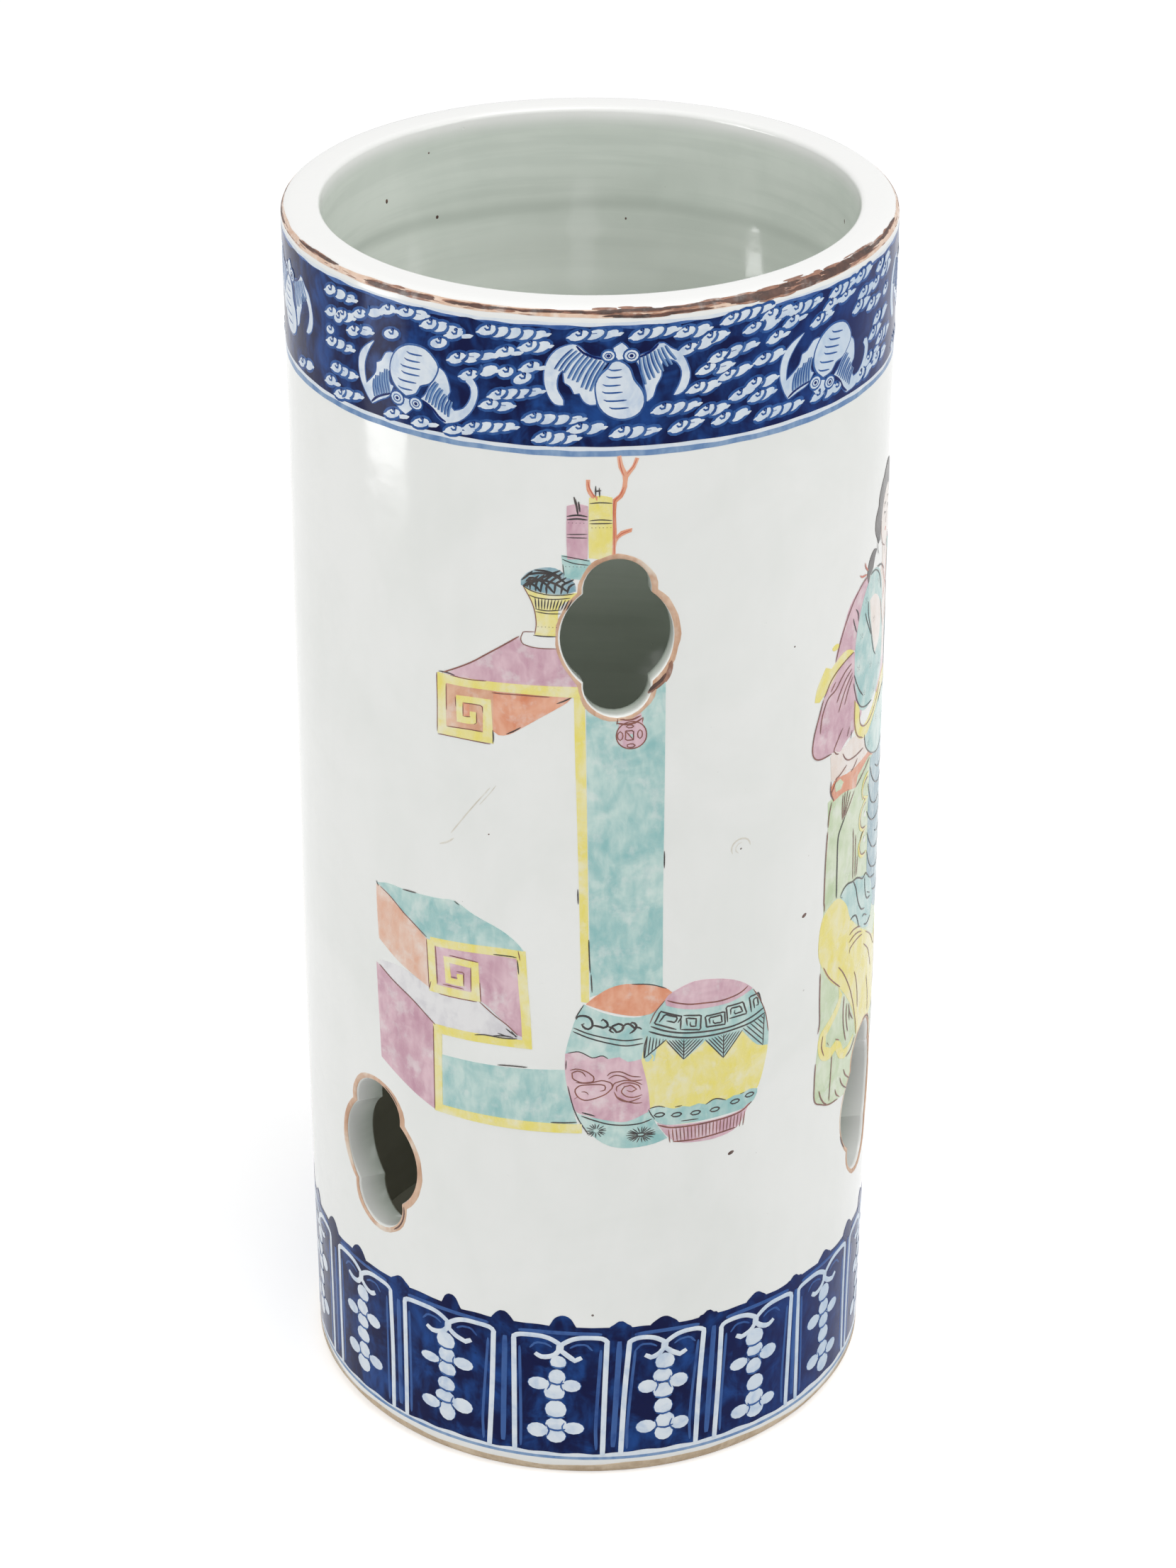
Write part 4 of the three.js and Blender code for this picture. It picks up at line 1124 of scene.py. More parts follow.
def make_cloud_band():
    """Cloud chains and bats left white on a cobalt ground, between pale margins."""
    ground, rule, wash, pale = Layer(), Layer(), Layer(), Layer()
    pale.ring(along_band(0.02, 249.9, 0.06, 1), along_band(0.02, 277.0, 0.06, 2), 0.02, rows=20)
    rule.ring(along_band(0.02, 249.0, 0.05, 3), along_band(0.02, 250.15, 0.06, 4), 0.035, rows=2)
    wash.ring(along_band(0.02, 274.0, 0.05, 5), along_band(0.05, 276.35, 0.12, 6), 0.035, rows=2)
    ground.ring(along_band(0.02, CLOUD_LOW, 0.08, 7), along_band(0.09, CLOUD_HIGH, 0.2, 8), 0.05, rows=20)
    halo, dots = Drops(), Drops()
    lobes, tails, curls, rims, whites = Drops(), Strokes(), Strokes(), Strokes(), Layer()
    wings, ribs, shade = Layer(), Strokes(), Strokes()
    chance = random.Random(5)
    for u0, u1, z0, z1 in cloud_chains():
        length = u1 - u0
        count = max(1, round((length - 1.6) / LOBE_PITCH))
        wide = LOBE_WIDTH if count > 1 else min(LOBE_WIDTH, length)
        for k in range(count):
            share = k / max(1, count - 1)
            u = u0 + wide * 0.45 + share * (length - wide * 0.95)
            z = z0 + share * (z1 - z0) + chance.uniform(-0.15, 0.15)
            last = count > 2 and k == count - 1
            tall = LOBE_HEIGHT * (0.78 if last else 1.0) * chance.uniform(0.88, 1.04)
            tilt = chance.uniform(16, 28)
            halo.add(u, z, wide + 1.3, tall + 1.2, 0.06, tilt)
            lobes.add(u, z, wide * (0.86 if last else 1.0), tall, 0.09, tilt)
            if k:
                b = u - (length - wide * 0.95) / (count - 1) * 0.5
                ribs.add([(b + 0.55, z + 1.15), (b + 0.75, z + 0.35), (b + 0.3, z - 0.45), (b - 0.6, z - 1.05)],
                         0.34, 0.195, 0.6)
            else:
                ribs.add([(u + 0.2, z + 1.2), (u + 0.6, z + 0.5), (u + 0.25, z + 0.05), (u - 0.4, z + 0.1),
                          (u - 0.6, z + 0.4)], 0.24, 0.185, 0.6)
                dots.add(u + 0.35, z + 1.0, 0.9, 0.7, 0.12, 20)
            if chance.random() < 0.3 and k:
                ribs.add([(u - 0.6, z + 0.2), (u + 0.5, z + 0.3)], 0.13, 0.165, 0.5)
        if length > 4:
            tails.add([(u1 - 1.9, z1 - 0.1), (u1 - 0.4, z1 + 0.1), (u1 + 0.6, z1 + 0.4)], 0.55, 0.115, 0.1,
                      ends=(False, True))
            tails.add([(u0 + 1.6, z0 - 0.35), (u0 + 0.3, z0 - 0.45), (u0 - 0.6, z0 - 0.7)], 0.5, 0.115, 0.1,
                      ends=(False, True))
    for body, head, bones, eyes, spans, bars, strokes, spots in DRAWN_BATS:
        middle = np.array([6.0, 263.0]) if spots is HEADS_UP else np.array([-37.0, 261.0])
        for spot in spots:
            tilt = math.radians(BAT_TILTS.get(spot, 0.0))
            turn = np.array([[math.cos(tilt), math.sin(tilt)], [-math.sin(tilt), math.cos(tilt)]])

            def moved(points):
                return (np.asarray(points, float) - middle) @ turn + (spot, middle[1])

            for outline in spans:
                placed_outline = moved(outline)
                rims.add(placed_outline, 0.5, 0.066, closed=True)
                wings.fill(placed_outline, 0.085, step=1.2)
            for bar in bars:
                curls.add(moved(bar), 0.26, 0.125, 0.6)
            for a, b, c, d in strokes:
                line = moved([(a, b), ((a + c) / 2 - 0.25, (b + d) / 2 + 0.1), (c, d)])
                ribs.add(line, 0.19, 0.125, 0.5)
                shade.add(line + (0.22, 0), 0.36, 0.115, 0.4)
            for outline, edge in ((body, 0.42), (head, 0.3)):
                placed_outline = moved(outline)
                ribs.add(placed_outline, edge, 0.125, closed=True)
                whites.fill(placed_outline, 0.13, step=1.2)
            for z, a, b in bones:
                ribs.add(moved([(a, z + 0.25), (a + 0.4, z), ((a + b) / 2, z - 0.08), (b, z + 0.06)]), 0.19, 0.16, 0.4)
            for u, z, size in eyes:
                place = moved([(u, z)])[0]
                halo.add(place[0], place[1], 2 * size + 0.7, 2 * size + 0.5, 0.13)
                lobes.add(place[0], place[1], 2 * size, 2 * size * 0.85, 0.16)
                ribs.add([(place[0] + size * 0.62 * math.cos(t), place[1] + size * 0.5 * math.sin(t))
                          for t in np.linspace(0, TAU, 9)[:-1]], 0.12, 0.225, closed=True)
                dots.add(place[0], place[1], 0.8, 0.7, 0.225)
    layer_piece("cloud_band_pale_margin", pale, COBALT_MARGIN, "cobalt_band")
    layer_piece("cloud_band_lower_rule", rule, COBALT_FAINT, "cobalt_band")
    layer_piece("cloud_band_upper_wash", wash, COBALT_MID, "cobalt_band")
    layer_piece("cloud_band_ground", ground, COBALT, "cobalt_band", "cloud_band")
    halo.piece("cloud_halos", COBALT_HALO, "cobalt_band", thickness=0.03)
    lobes.piece("cloud_lobes", RESERVE, "glazed_body", thickness=0.045, reach=2.0)
    tails.piece("cloud_tails", RESERVE, "glazed_body")
    rims.piece("cloud_and_bat_halos", COBALT_MID, "cobalt_band")
    shade.piece("bat_wing_shading", COBALT_FAINT, "cobalt_band")
    curls.piece("bat_wing_bones", COBALT_LINE, "cobalt_band")
    dots.piece("cloud_dots", COBALT_LINE, "cobalt_band", thickness=0.03)
    layer_piece("bat_wings", wings, RESERVE, "glazed_body")
    layer_piece("bat_bodies", whites, RESERVE, "glazed_body")
    ribs.piece("cloud_and_bat_strokes", COBALT_STROKE, "cobalt_band", step=0.6)


# The cobalt band of lappets above the foot
# Panels: middle at the top, left side at top and foot, right side at top and foot, top of the lobes,
# tips of the two hanging leaves, beads (u, z, width, height), side drops (u, z, width, height)
PANELS = [
    (-32.3, (-43.8, -43.9), (-22.0, -23.5), 38.4, ((-37.9, 33.4), (-27, 33.2)),
     "-33.2,31.3,4.2,3.8 -33,27.4,3.8,3.6 -33,23.5,4,3.2 -33.3,19.2,4,3.2 -33.7,15.7,4.6,2.8 -33.2,11.8,3.8,4",
     "-37.5,25.3,4.4,2.1 -28.8,26.3,4.4,2.6 -37.6,13,4.4,2.6 -29.2,14.6,4.6,3.2"),
    (-6.0, (-15.9, -15.8), (3.5, 2.4), 37.9, ((-11.5, 33), (-1.7, 32.4)),
     "-6.6,31.3,3.2,2.8 -6.9,27.2,3.4,3.4 -7.5,23,4.2,3.6 -7.2,18.3,4.3,4 -7.1,14.2,4.4,2.9 -7.2,11,4,3",
     "-11.1,25.2,4.2,2.7 -3.7,25,3.8,2.6 -11.4,12.3,4.2,3.1 -3.2,13.3,4.2,2.6"),
    (17.4, (9.9, 8.2), (25.7, 24.0), 37.3, ((13, 32.3), (22, 32)),
     "17.3,30.3,4,3.6 16.8,26.5,4,3.2 17,22.3,4.2,3.4 17,18,3.8,3.6 17.5,14,4,3.4 17.2,10.8,3.8,3.4",
     "13.3,24,3.8,2.8 20.6,24.5,3.8,3 13,13,4,2.8 21,12.7,3.8,2.8"),
    (40.2, (31.5, 30.4), (50.2, 49.2), 36.9, ((35, 31.8), (45, 32)),
     "39.8,29.8,4.4,3.8 40,26.3,4,3 39.8,21.8,3.8,3.4 40.3,17,4.2,3.6 40.2,13,4.6,3.4 40.5,9.5,4.4,3.2",
     "35.6,24,4.2,2.5 43.9,24.2,4.3,3 36.2,10.6,4.3,2.8 44.1,11,3.8,2.4"),
]
# Panels round the rest of the band: where the middle is
OTHER_PANELS = (64.0, 88.9, 114.1, 139.2, 164.6, 189.7, 215.0, 240.1, 265.3, 290.4, 315.9, 341.5)
KNOBS = ((-45.8, 43.4, 4.5), (-31.7, 44.3, 3.8), (-19.2, 43.4, 4.0), (-5.6, 43.8, 4.8), (7.2, 41.8, 3.8),
         (17, 41.9, 5.0),
         (27.5, 41.0, 3.4), (40, 41.8, 4.4), (51.8, 41.0, 3.8), (63.4, 41.3, 4.2))
PANEL_FOOT = 6.3


def band_head(u):
    """The middle of the top rule, which sinks towards the viewer's right."""
    return 39.95 - 1.35 * np.sin((u - 5) / OUTER_RADIUS)


def all_panels():
    """Every lappet panel round the band: those drawn in front, and the rest of the same kind."""
    panels = []
    for middle, left, right, top, tips, beads, drops in PANELS:
        panels.append((middle, left, right, top, tips, [tuple(map(float, b.split(","))) for b in beads.split()],
                       [tuple(map(float, d.split(","))) for d in drops.split()]))
    chance = random.Random(23)
    for middle in OTHER_PANELS:
        half, top = 9.6 + chance.uniform(-0.5, 0.5), float(band_head(middle)) - 2.0
        lean = chance.uniform(-0.9, 0.4)
        beads, z = [], top - 7.2
        for k in range(6):
            tall = chance.uniform(2.9, 3.7)
            beads.append((middle + lean * k / 6 + chance.uniform(-0.3, 0.3), z, chance.uniform(3.6, 4.4), tall))
            z -= chance.uniform(3.7, 4.3)
        drops = []
        for k in (1.5, 4.5):
            z = beads[int(k)][1] - 1.6
            for side in (-1, 1):
                drops.append((beads[int(k)][0] + side * chance.uniform(3.9, 4.4), z + chance.uniform(-0.8, 0.6), 4.2,
                              chance.uniform(2.4, 3.0)))
        tips = ((middle - 5.2, top - 4.7 + chance.uniform(-0.4, 0.4)),
                (middle + 4.8, top - 4.9 + chance.uniform(-0.4, 0.4)))
        panels.append((middle, (middle - half, middle - half + lean), (middle + half, middle + half + lean), top,
                       tips, beads, drops))
    return sorted(panels, key=lambda p: p[0])


def make_lappet_band():
    """Dark panels and dividers parted by thin white frames, each panel hung with leaves and a chain of beads."""
    pale, ground, line = Layer(), Layer(), Layer()
    pale.ring(along_band(0.02, 5.1, 0.05, 31), lambda u: 7.4 + 0 * u, 0.02, rows=2)
    line.ring(lambda u: 4.55 - 0.3 * np.sin((u - 5) / OUTER_RADIUS),
              lambda u: 5.3 - 0.3 * np.sin((u - 5) / OUTER_RADIUS), 0.03, rows=2)
    wander = along_band(0.03, 0.8, 0.1, 33)
    ground.ring(along_band(0.05, PANEL_FOOT, 0.16, 32), lambda u: band_head(u) + wander(u), 0.05, rows=16)
    frames, leaves, ticks, wash = Strokes(), Strokes(), Strokes(), Strokes()
    beads, halo = Drops(), Drops()
    found = all_panels()
    chance = random.Random(29)
    for n, (middle, left, right, top, tips, bead_list, drop_list) in enumerate(found):
        for side, edge in ((-1, left), (1, right)):
            at = (edge[0] + side * 0.7, edge[1] + side * 0.85)
            frames.add([(at[1], PANEL_FOOT - 0.5), ((at[0] + at[1]) / 2 + chance.uniform(-0.2, 0.2), 22),
                        (at[0], top - 0.7),
                        (at[0] - side * 1.1, top + 0.05), (middle + side * 5, top + 0.3),
                        (middle + side * 2.6, top - 0.2),
                        (middle + side * 0.9, top - 1.2), (middle, top - 1.9)], 0.6, 0.152, 0.9)
            tip = tips[0] if side < 0 else tips[1]
            leaves.add([(middle - 0.3, top - 3.1), (middle + side * 1.5, top - 4.7),
                        (tip[0] - side * 1.2, tip[1] - 0.5),
                        (tip[0] + side * 0.3, tip[1] + 0.4)], 0.66, 0.15, 0.75)
            wash.add([(middle + side * 2, top - 2.6), (middle + side * 3.4, top - 1.75),
                      (middle + side * 5.6, top - 1.6),
                      (middle + side * 7, top - 3.2)], 0.32, 0.085, 0.4)
            wash.add([(at[0] - side * 1.3, top - 3), (at[1] - side * 1.5, 14), (at[1] - side * 1.4, PANEL_FOOT + 1)],
                     chance.uniform(0.35, 0.6), 0.09, 0.3)
        following = found[(n + 1) % len(found)]
        beyond = AROUND if n == len(found) - 1 else 0
        gap_top, gap_foot = ((right[k] + following[1][k] + beyond) / 2 for k in (0, 1))
        wash.add([(gap_top + 0.3, 37), ((gap_top + gap_foot) / 2 + 0.2, 20), (gap_foot + 0.3, 8)], 0.95, 0.115, 0.5)
        wash.add([(left[0] + 0.4, top + 1.25), (middle - 4, top + 1.45), (middle + 3, top + 1.4),
                  (right[0] - 0.4, top + 1.2)], 0.6, 0.115, 0.4)
        leaves.add([(middle, top - 1.4), (middle - 0.2, top - 2.4), (middle - 0.3, top - 4)], 1.0, 0.165, 0.85)
        for u, z, wide, tall in bead_list + drop_list:
            halo.add(u, z, wide + 0.9, tall + 0.9, 0.06)
            beads.add(u, z, wide * 1.12, tall * 1.28, 0.09)
        for u, z, wide, tall in bead_list[:-1]:
            low = z - tall * 0.6
            ticks.add([(u - wide * 0.46, low + 0.6), (u, low + 0.05), (u + wide * 0.46, low + 0.55)], 0.26, 0.185, 0.5)
        for u, z, wide, tall in drop_list:
            inward = 1 if u < bead_list[0][0] else -1
            beads.add(u + inward * wide * 0.42, z + 0.1, wide * 0.55, tall * 0.66, 0.088)
            ticks.add([(u + inward * wide * 0.5, z + tall * 0.55), (u + inward * wide * 0.64, z),
                       (u + inward * wide * 0.47, z - tall * 0.55)], 0.18, 0.18, 0.5)
    knobs = Layer()
    spots = list(KNOBS)
    u = 76.0
    while u < -47.5 + AROUND - 6:
        spots.append((u, float(band_head(u)) + 3.2 + chance.uniform(-0.3, 0.5), chance.uniform(3.6, 4.8)))
        u += 12.6
    for u, top, wide in spots:
        low, top, wide = float(band_head(u)) - 0.2, top + (0.6 if 3 < u < 30 else 0.15), wide * 1.12
        knobs.fill([(u - wide / 2 - 1, low), (u - wide / 2 - 0.1, low + 1.4), (u - wide * 0.34, top - 0.8),
                    (u - wide * 0.1, top),
                    (u + wide * 0.12, top), (u + wide * 0.34, top - 0.8), (u + wide / 2 + 0.1, low + 1.4),
                    (u + wide / 2 + 1, low)], 0.07, step=1.0)
    layer_piece("lappet_pale_foot", pale, COBALT_MARGIN, "cobalt_band")
    layer_piece("foot_rule", line, COBALT_FAINT, "cobalt_band")
    layer_piece("lappet_panels", ground, COBALT, "cobalt_band", "lappet_band")
    layer_piece("lappet_knobs", knobs, COBALT, "cobalt_band")
    wash.piece("lappet_washes", COBALT_WASH, "cobalt_band")
    frames.piece("lappet_frames", RESERVE, "glazed_body")
    leaves.piece("lappet_leaves", RESERVE, "glazed_body")
    halo.piece("bead_halos", COBALT_HALO, "cobalt_band", thickness=0.03)
    beads.piece("lappet_beads", RESERVE, "glazed_body", thickness=0.05, reach=2.6)
    ticks.piece("bead_outlines", COBALT_STROKE, "cobalt_band")


# The worn brown line on the rim, and the iron spots
RIM_WEAR = [
    ("-47,278.6 -42,278.8 -38,278.7 -33,278.8", 0.45), ("-28,278.7 -26,278.8", 0.3), ("-23,278.9 -20,278.8", 0.32),
    ("-17.4,278.9 -16.6,278.8", 0.25), ("-13,279 -6,279.2 0,279.1", 0.16), ("2,279 8,279.3 14,279.2 22,279.3", 0.42),
    ("5,278.2 12,278.1 22,278.4", 0.22), ("22,279.2 28,279.4 34,279.5", 0.36),
            ("30,278.9 40,279.3 52,279.4 62,279.5 70,279.5", 0.85),
    ("36,278.3 46,278.4 58,278.7", 0.4), ("70,279.4 78,279.5 86,279.6", 0.3), ("-72,279.3 -66,279.4 -60,279.3", 0.2),
    ("104,279.3 118,279.4 131,279.2", 0.4), ("150,279.4 158,279.3", 0.25), ("183,279.2 204,279.3 222,279.1", 0.45),
    ("240,279.3 252,279.2", 0.25), ("281,279.2 300,279.3 312,279.2", 0.35),
]
IRON_SPOTS = ((50.9, 134.7, 1.5, 0.9), (1, 44.3, 0.6, 0.6), (-47.3, 9, 1.1, 0.9), (32, 82, 1.6, 0.9),
              (20.6, 122.4, 0.5, 0.5),
              (33, 157, 0.5, 0.4), (-21, 163, 0.4, 0.3), (46, 200, 0.4, 0.4), (131, 190, 0.9, 0.7), (168, 96, 0.7, 0.6),
              (222, 201, 0.8, 0.5), (275, 60, 0.7, 0.7), (300, 170, 0.5, 0.4))


# Iron specks on the inside of the wall: turn from the front in degrees, height, width, tallness
INNER_SPECKS = ((-133.1, 265.8, 0.9, 1.3), (-148.3, 258.6, 1.0, 1.2), (-193.3, 254.5, 0.5, 0.7),
                (-146.3, 273.6, 0.6, 0.6), (100.6, 268.7, 0.5, 1.4))


def make_inner_specks():
    """Tiny flattened burrs where iron in the clay came through the glaze."""
    specks = Layer()
    turns = np.linspace(0, TAU, 8, endpoint=False)
    for turn, z, wide, tall in INNER_SPECKS:
        turn = math.radians(turn)
        reach = float(wall_radius(z)) - WALL + throwing_ripple(turn, z)
        around = turn + wide / 2 * np.cos(turns) / reach
        spots = [np.array([(reach + 0.02) * np.sin(around), -(reach + 0.02) * np.cos(around),
                           z + tall / 2 * np.sin(turns)]).T]
        spots += [np.array([[(reach + off) * math.sin(turn), -(reach + off) * math.cos(turn), z]])
                  for off in (-0.1, 0.12)]
        faces = [(k, (k + 1) % 8, 8) for k in range(8)] + [((k + 1) % 8, k, 9) for k in range(8)]
        specks.add(np.vstack(spots) * MM, faces)
    layer_piece("inner_iron_specks", specks, WORN_EDGE, "glazed_body", recalculate=True)


def make_wear():
    """Dry brown strokes over a thin peach wash along the rim, broad in places and rubbed away in others."""
    dark, mid, wash, chance = Strokes(), Strokes(), Layer(), random.Random(41)
    head = along_band(0.03, 279.5, 0.1, 44)
    wash.ring(along_band(0.03, 278.05, 0.08, 43),
              lambda u: head(u) - 0.7 * np.clip(-2 * np.cos((u - 10) / OUTER_RADIUS), 0, 1), 0.012, rows=3)
    for path, half in RIM_WEAR:
        line = eased(places(path), False, 1.0)
        for _ in range(round(len(line) * (1.9 + 2.6 * half))):
            u, z = line[chance.randrange(len(line))]
            z = z if -75 < u < 92 else z - 0.8
            off = chance.gauss(0, 0.55) * half
            length = chance.uniform(1.5, 6.5)
            bend = chance.uniform(-0.12, 0.12)
            kind = dark if abs(off) < half * 0.6 and chance.random() < 0.72 else mid
            kind.add([(u - length / 2, z + off), (u, z + off + bend),
                      (u + length / 2, z + off + chance.uniform(-0.1, 0.1))],
                     chance.uniform(0.1, 0.2 + 0.28 * half), 0.065 if kind is dark else 0.045, 0.25)
    for _ in range(170):
        u, z = chance.uniform(0, AROUND), chance.uniform(278.1, 278.9)
        mid.add([(u, z), (u + chance.uniform(0.5, 3.2), z + chance.uniform(-0.15, 0.15))],
                chance.uniform(0.05, 0.12), 0.04, 0.3)
    dark.piece("rim_wear_dark", WORN_EDGE, "window_edge", step=0.6)
    mid.piece("rim_wear_brown", WORN_BROWN, "window_edge", step=0.6)
    layer_piece("rim_wear_wash", wash, WORN_PEACH, "window_edge")
    burn = Strokes()
    for _, window, turn in WINDOWS[1:]:
        border = window_gap(window, turn, 0.95)
        start = chance.randrange(len(border))
        for low, high, half in ((start, start + 6, 0.2), (start + 24, start + 28, 0.16)):
            burn.add([border[k % len(border)] for k in range(low, high)], half, 0.125, 0.3)
    burn.add([(12.1, 197.3), (12.9, 198), (13.9, 198.8), (14.9, 199.7), (15.6, 200.9)], 0.5, 0.15, 0.3)
    scorch = Strokes()
    scorch.add([(11.9, 196.9), (13.1, 197.8), (14.4, 198.8), (15.6, 200), (16.4, 201.9), (16.8, 203.6)], 0.8, 0.125,
               0.2)
    scorch.piece("window_edge_scorch", WORN_BROWN, "window_edge")
    burn.piece("window_edge_burns", WORN_EDGE, "window_edge")
    spots = Drops()
    for u, z, wide, tall in IRON_SPOTS:
        spots.add(u, z, wide, tall, 0.0, 20)
    spots.piece("iron_spots", WORN_EDGE, "glazed_body", thickness=0.05)
    make_inner_specks()
    scuffs = Strokes()
    for path, half in ((places("-20.6,174 -25,168.1 -29.6,161.5"), 0.14),
                       (places("-19.3,174.7 -21,172.2 -23,169.6"), 0.1),
                       (places("-32.3,158.3 -30.4,159.2 -28.9,160.5"), 0.22),
                       (oval(33, 157.3, 2.3, 2.1)[:8], 0.2), (oval(33.2, 157.2, 1.5, 1.3)[3:9], 0.15),
                       (places("20,112 24,111 27,111.6"), 0.12), (places("150,98 155,96.6 158,93"), 0.14)):
        scuffs.add(path, half, 0.03, 0.3)
    scuffs.piece("glaze_scuffs", SCUFF, "glazed_body")


make_cloud_band()
make_lappet_band()
make_wear()


# The enamelled pictures
# Each is fills, laid one over the other in this order, then drawn lines: colour or ink, half width, paths
COLOURS = {"mauve": (MAUVE, "enamel_mauve"), "yellow": (YELLOW, "enamel_yellow"),
           "turquoise": (TURQUOISE, "enamel_turquoise"),
           "orange": (ORANGE, "enamel_orange"), "green": (GREEN, "enamel_green"), "blue": (BLUE, "enamel_blue"),
           "sienna": (SIENNA, "enamel_orange"), "peach": (PEACH, "enamel_orange"),
           "pale": (PALE, "glazed_body"), "grey": (GREY, "glazed_body"), "white": (BARE, "glazed_body"),
           "black": (LINE, "enamel_line"), "brown": (BROWN_LINE, "enamel_line"), "red": (RED_LINE, "enamel_orange"),
           "hair": (HAIR, "enamel_line")}
FILL_LIFT = 0.045  # top of the lowest fill
FILL_STEP = 0.014  # each fill stands this far over the one below it
LINE_RISE = 0.03  # drawn lines stand this far over the highest fill
DOT_FLOWER = 0.75  # reach of a dabbed flower
PETAL_DEPTH = 0.16  # how deep a bloom's petals are notched


def ribbon(path):
    """The outline of a painted bar that follows 'u,z,half width' places, with mitred corners."""
    path = places(path)
    run = np.diff(path[:, :2], axis=0)
    run /= np.linalg.norm(run, axis=1, keepdims=True)
    normal = run[:, ::-1] * (-1, 1)
    before, after = np.vstack([normal[:1], normal]), np.vstack([normal, normal[-1:]])
    reach = (before + after) / (1 + (before * after).sum(1, keepdims=True)) * path[:, 2:]
    return np.vstack([path[:, :2] + reach, (path[:, :2] - reach)[::-1]])


def spiral(left, low, wide, tall, lean=0.0, flip=False):
    """A square fret spiral in a box, leaning with the band it sits in."""
    steps = ((0, 0), (0, 1), (1, 1), (1, 0.02), (0.22, 0), (0.2, 0.76), (0.78, 0.76), (0.78, 0.26), (0.44, 0.26),
             (0.44, 0.52), (0.58, 0.52))
    return [(left + wide * (1 - a if flip else a), low + tall * b + lean * a) for a, b in steps]


def hatched(outer, seam, tip, count):
    """Strokes that fill half a pointed leaf, from its top edge to its seam."""
    outer, seam, tip = (np.array(p, float) for p in (outer, seam, tip))
    return [[outer + (seam - outer) * k / count, tip + (seam - tip) * k / count] for k in range(count)]


def rays(u, z, count, inner, outer, flat=0.8):
    """Short strokes that point away from a middle."""
    turns = [TAU * (k + 0.3 * math.sin(5 * k)) / count for k in range(count)]
    return [[(u + inner * math.cos(t), z + inner * flat * math.sin(t)),
             (u + outer * math.cos(t), z + outer * flat * math.sin(t))]
            for t in turns]


def dot_flower(u, z):
    """Five short dabs round a dot, as painted on cloth."""
    return rays(u, z, 5, DOT_FLOWER * 0.55, DOT_FLOWER, 1.0) + [[(u - 0.12, z), (u + 0.12, z)]]


def make_picture(name, node, node_colour, fills, lines):
    """A picture's fills, each raised over those that it overlaps, and its lines on top."""
    layers, strokes = {}, {}
    shapes = [places(outline) if isinstance(outline, str) else np.asarray(outline, float) for _, outline in fills]
    borders, levels = [eased(shape) for shape in shapes], []
    for n, border in enumerate(borders):
        under = [levels[k] for k in range(n) if inside(border, borders[k]).any() or inside(borders[k], border).any()]
        levels.append(max(under, default=-1) + 1)
        layers.setdefault(fills[n][0], Layer()).fill(shapes[n], FILL_LIFT + levels[n] * FILL_STEP)
    top = FILL_LIFT + max(levels) * FILL_STEP + LINE_RISE
    for ink, half, paths in lines:
        found = [places(p) for p in paths.split("|")] if isinstance(paths, str) else paths
        for path in found:
            closed = len(path) > 3 and np.allclose(path[0], path[-1])
            strokes.setdefault(ink, Strokes()).add(path[:-1] if closed else path, half, top, closed=closed)
    for colour, layer in layers.items():
        material, slot = COLOURS[colour]
        layer_piece("%s_%s" % (name, colour), layer, material, slot, *((node,) if colour == node_colour else ()))
    for ink, drawn in strokes.items():
        material, slot = COLOURS[ink]
        drawn.piece("%s_%s_lines" % (name, ink), material, slot, step=0.6)


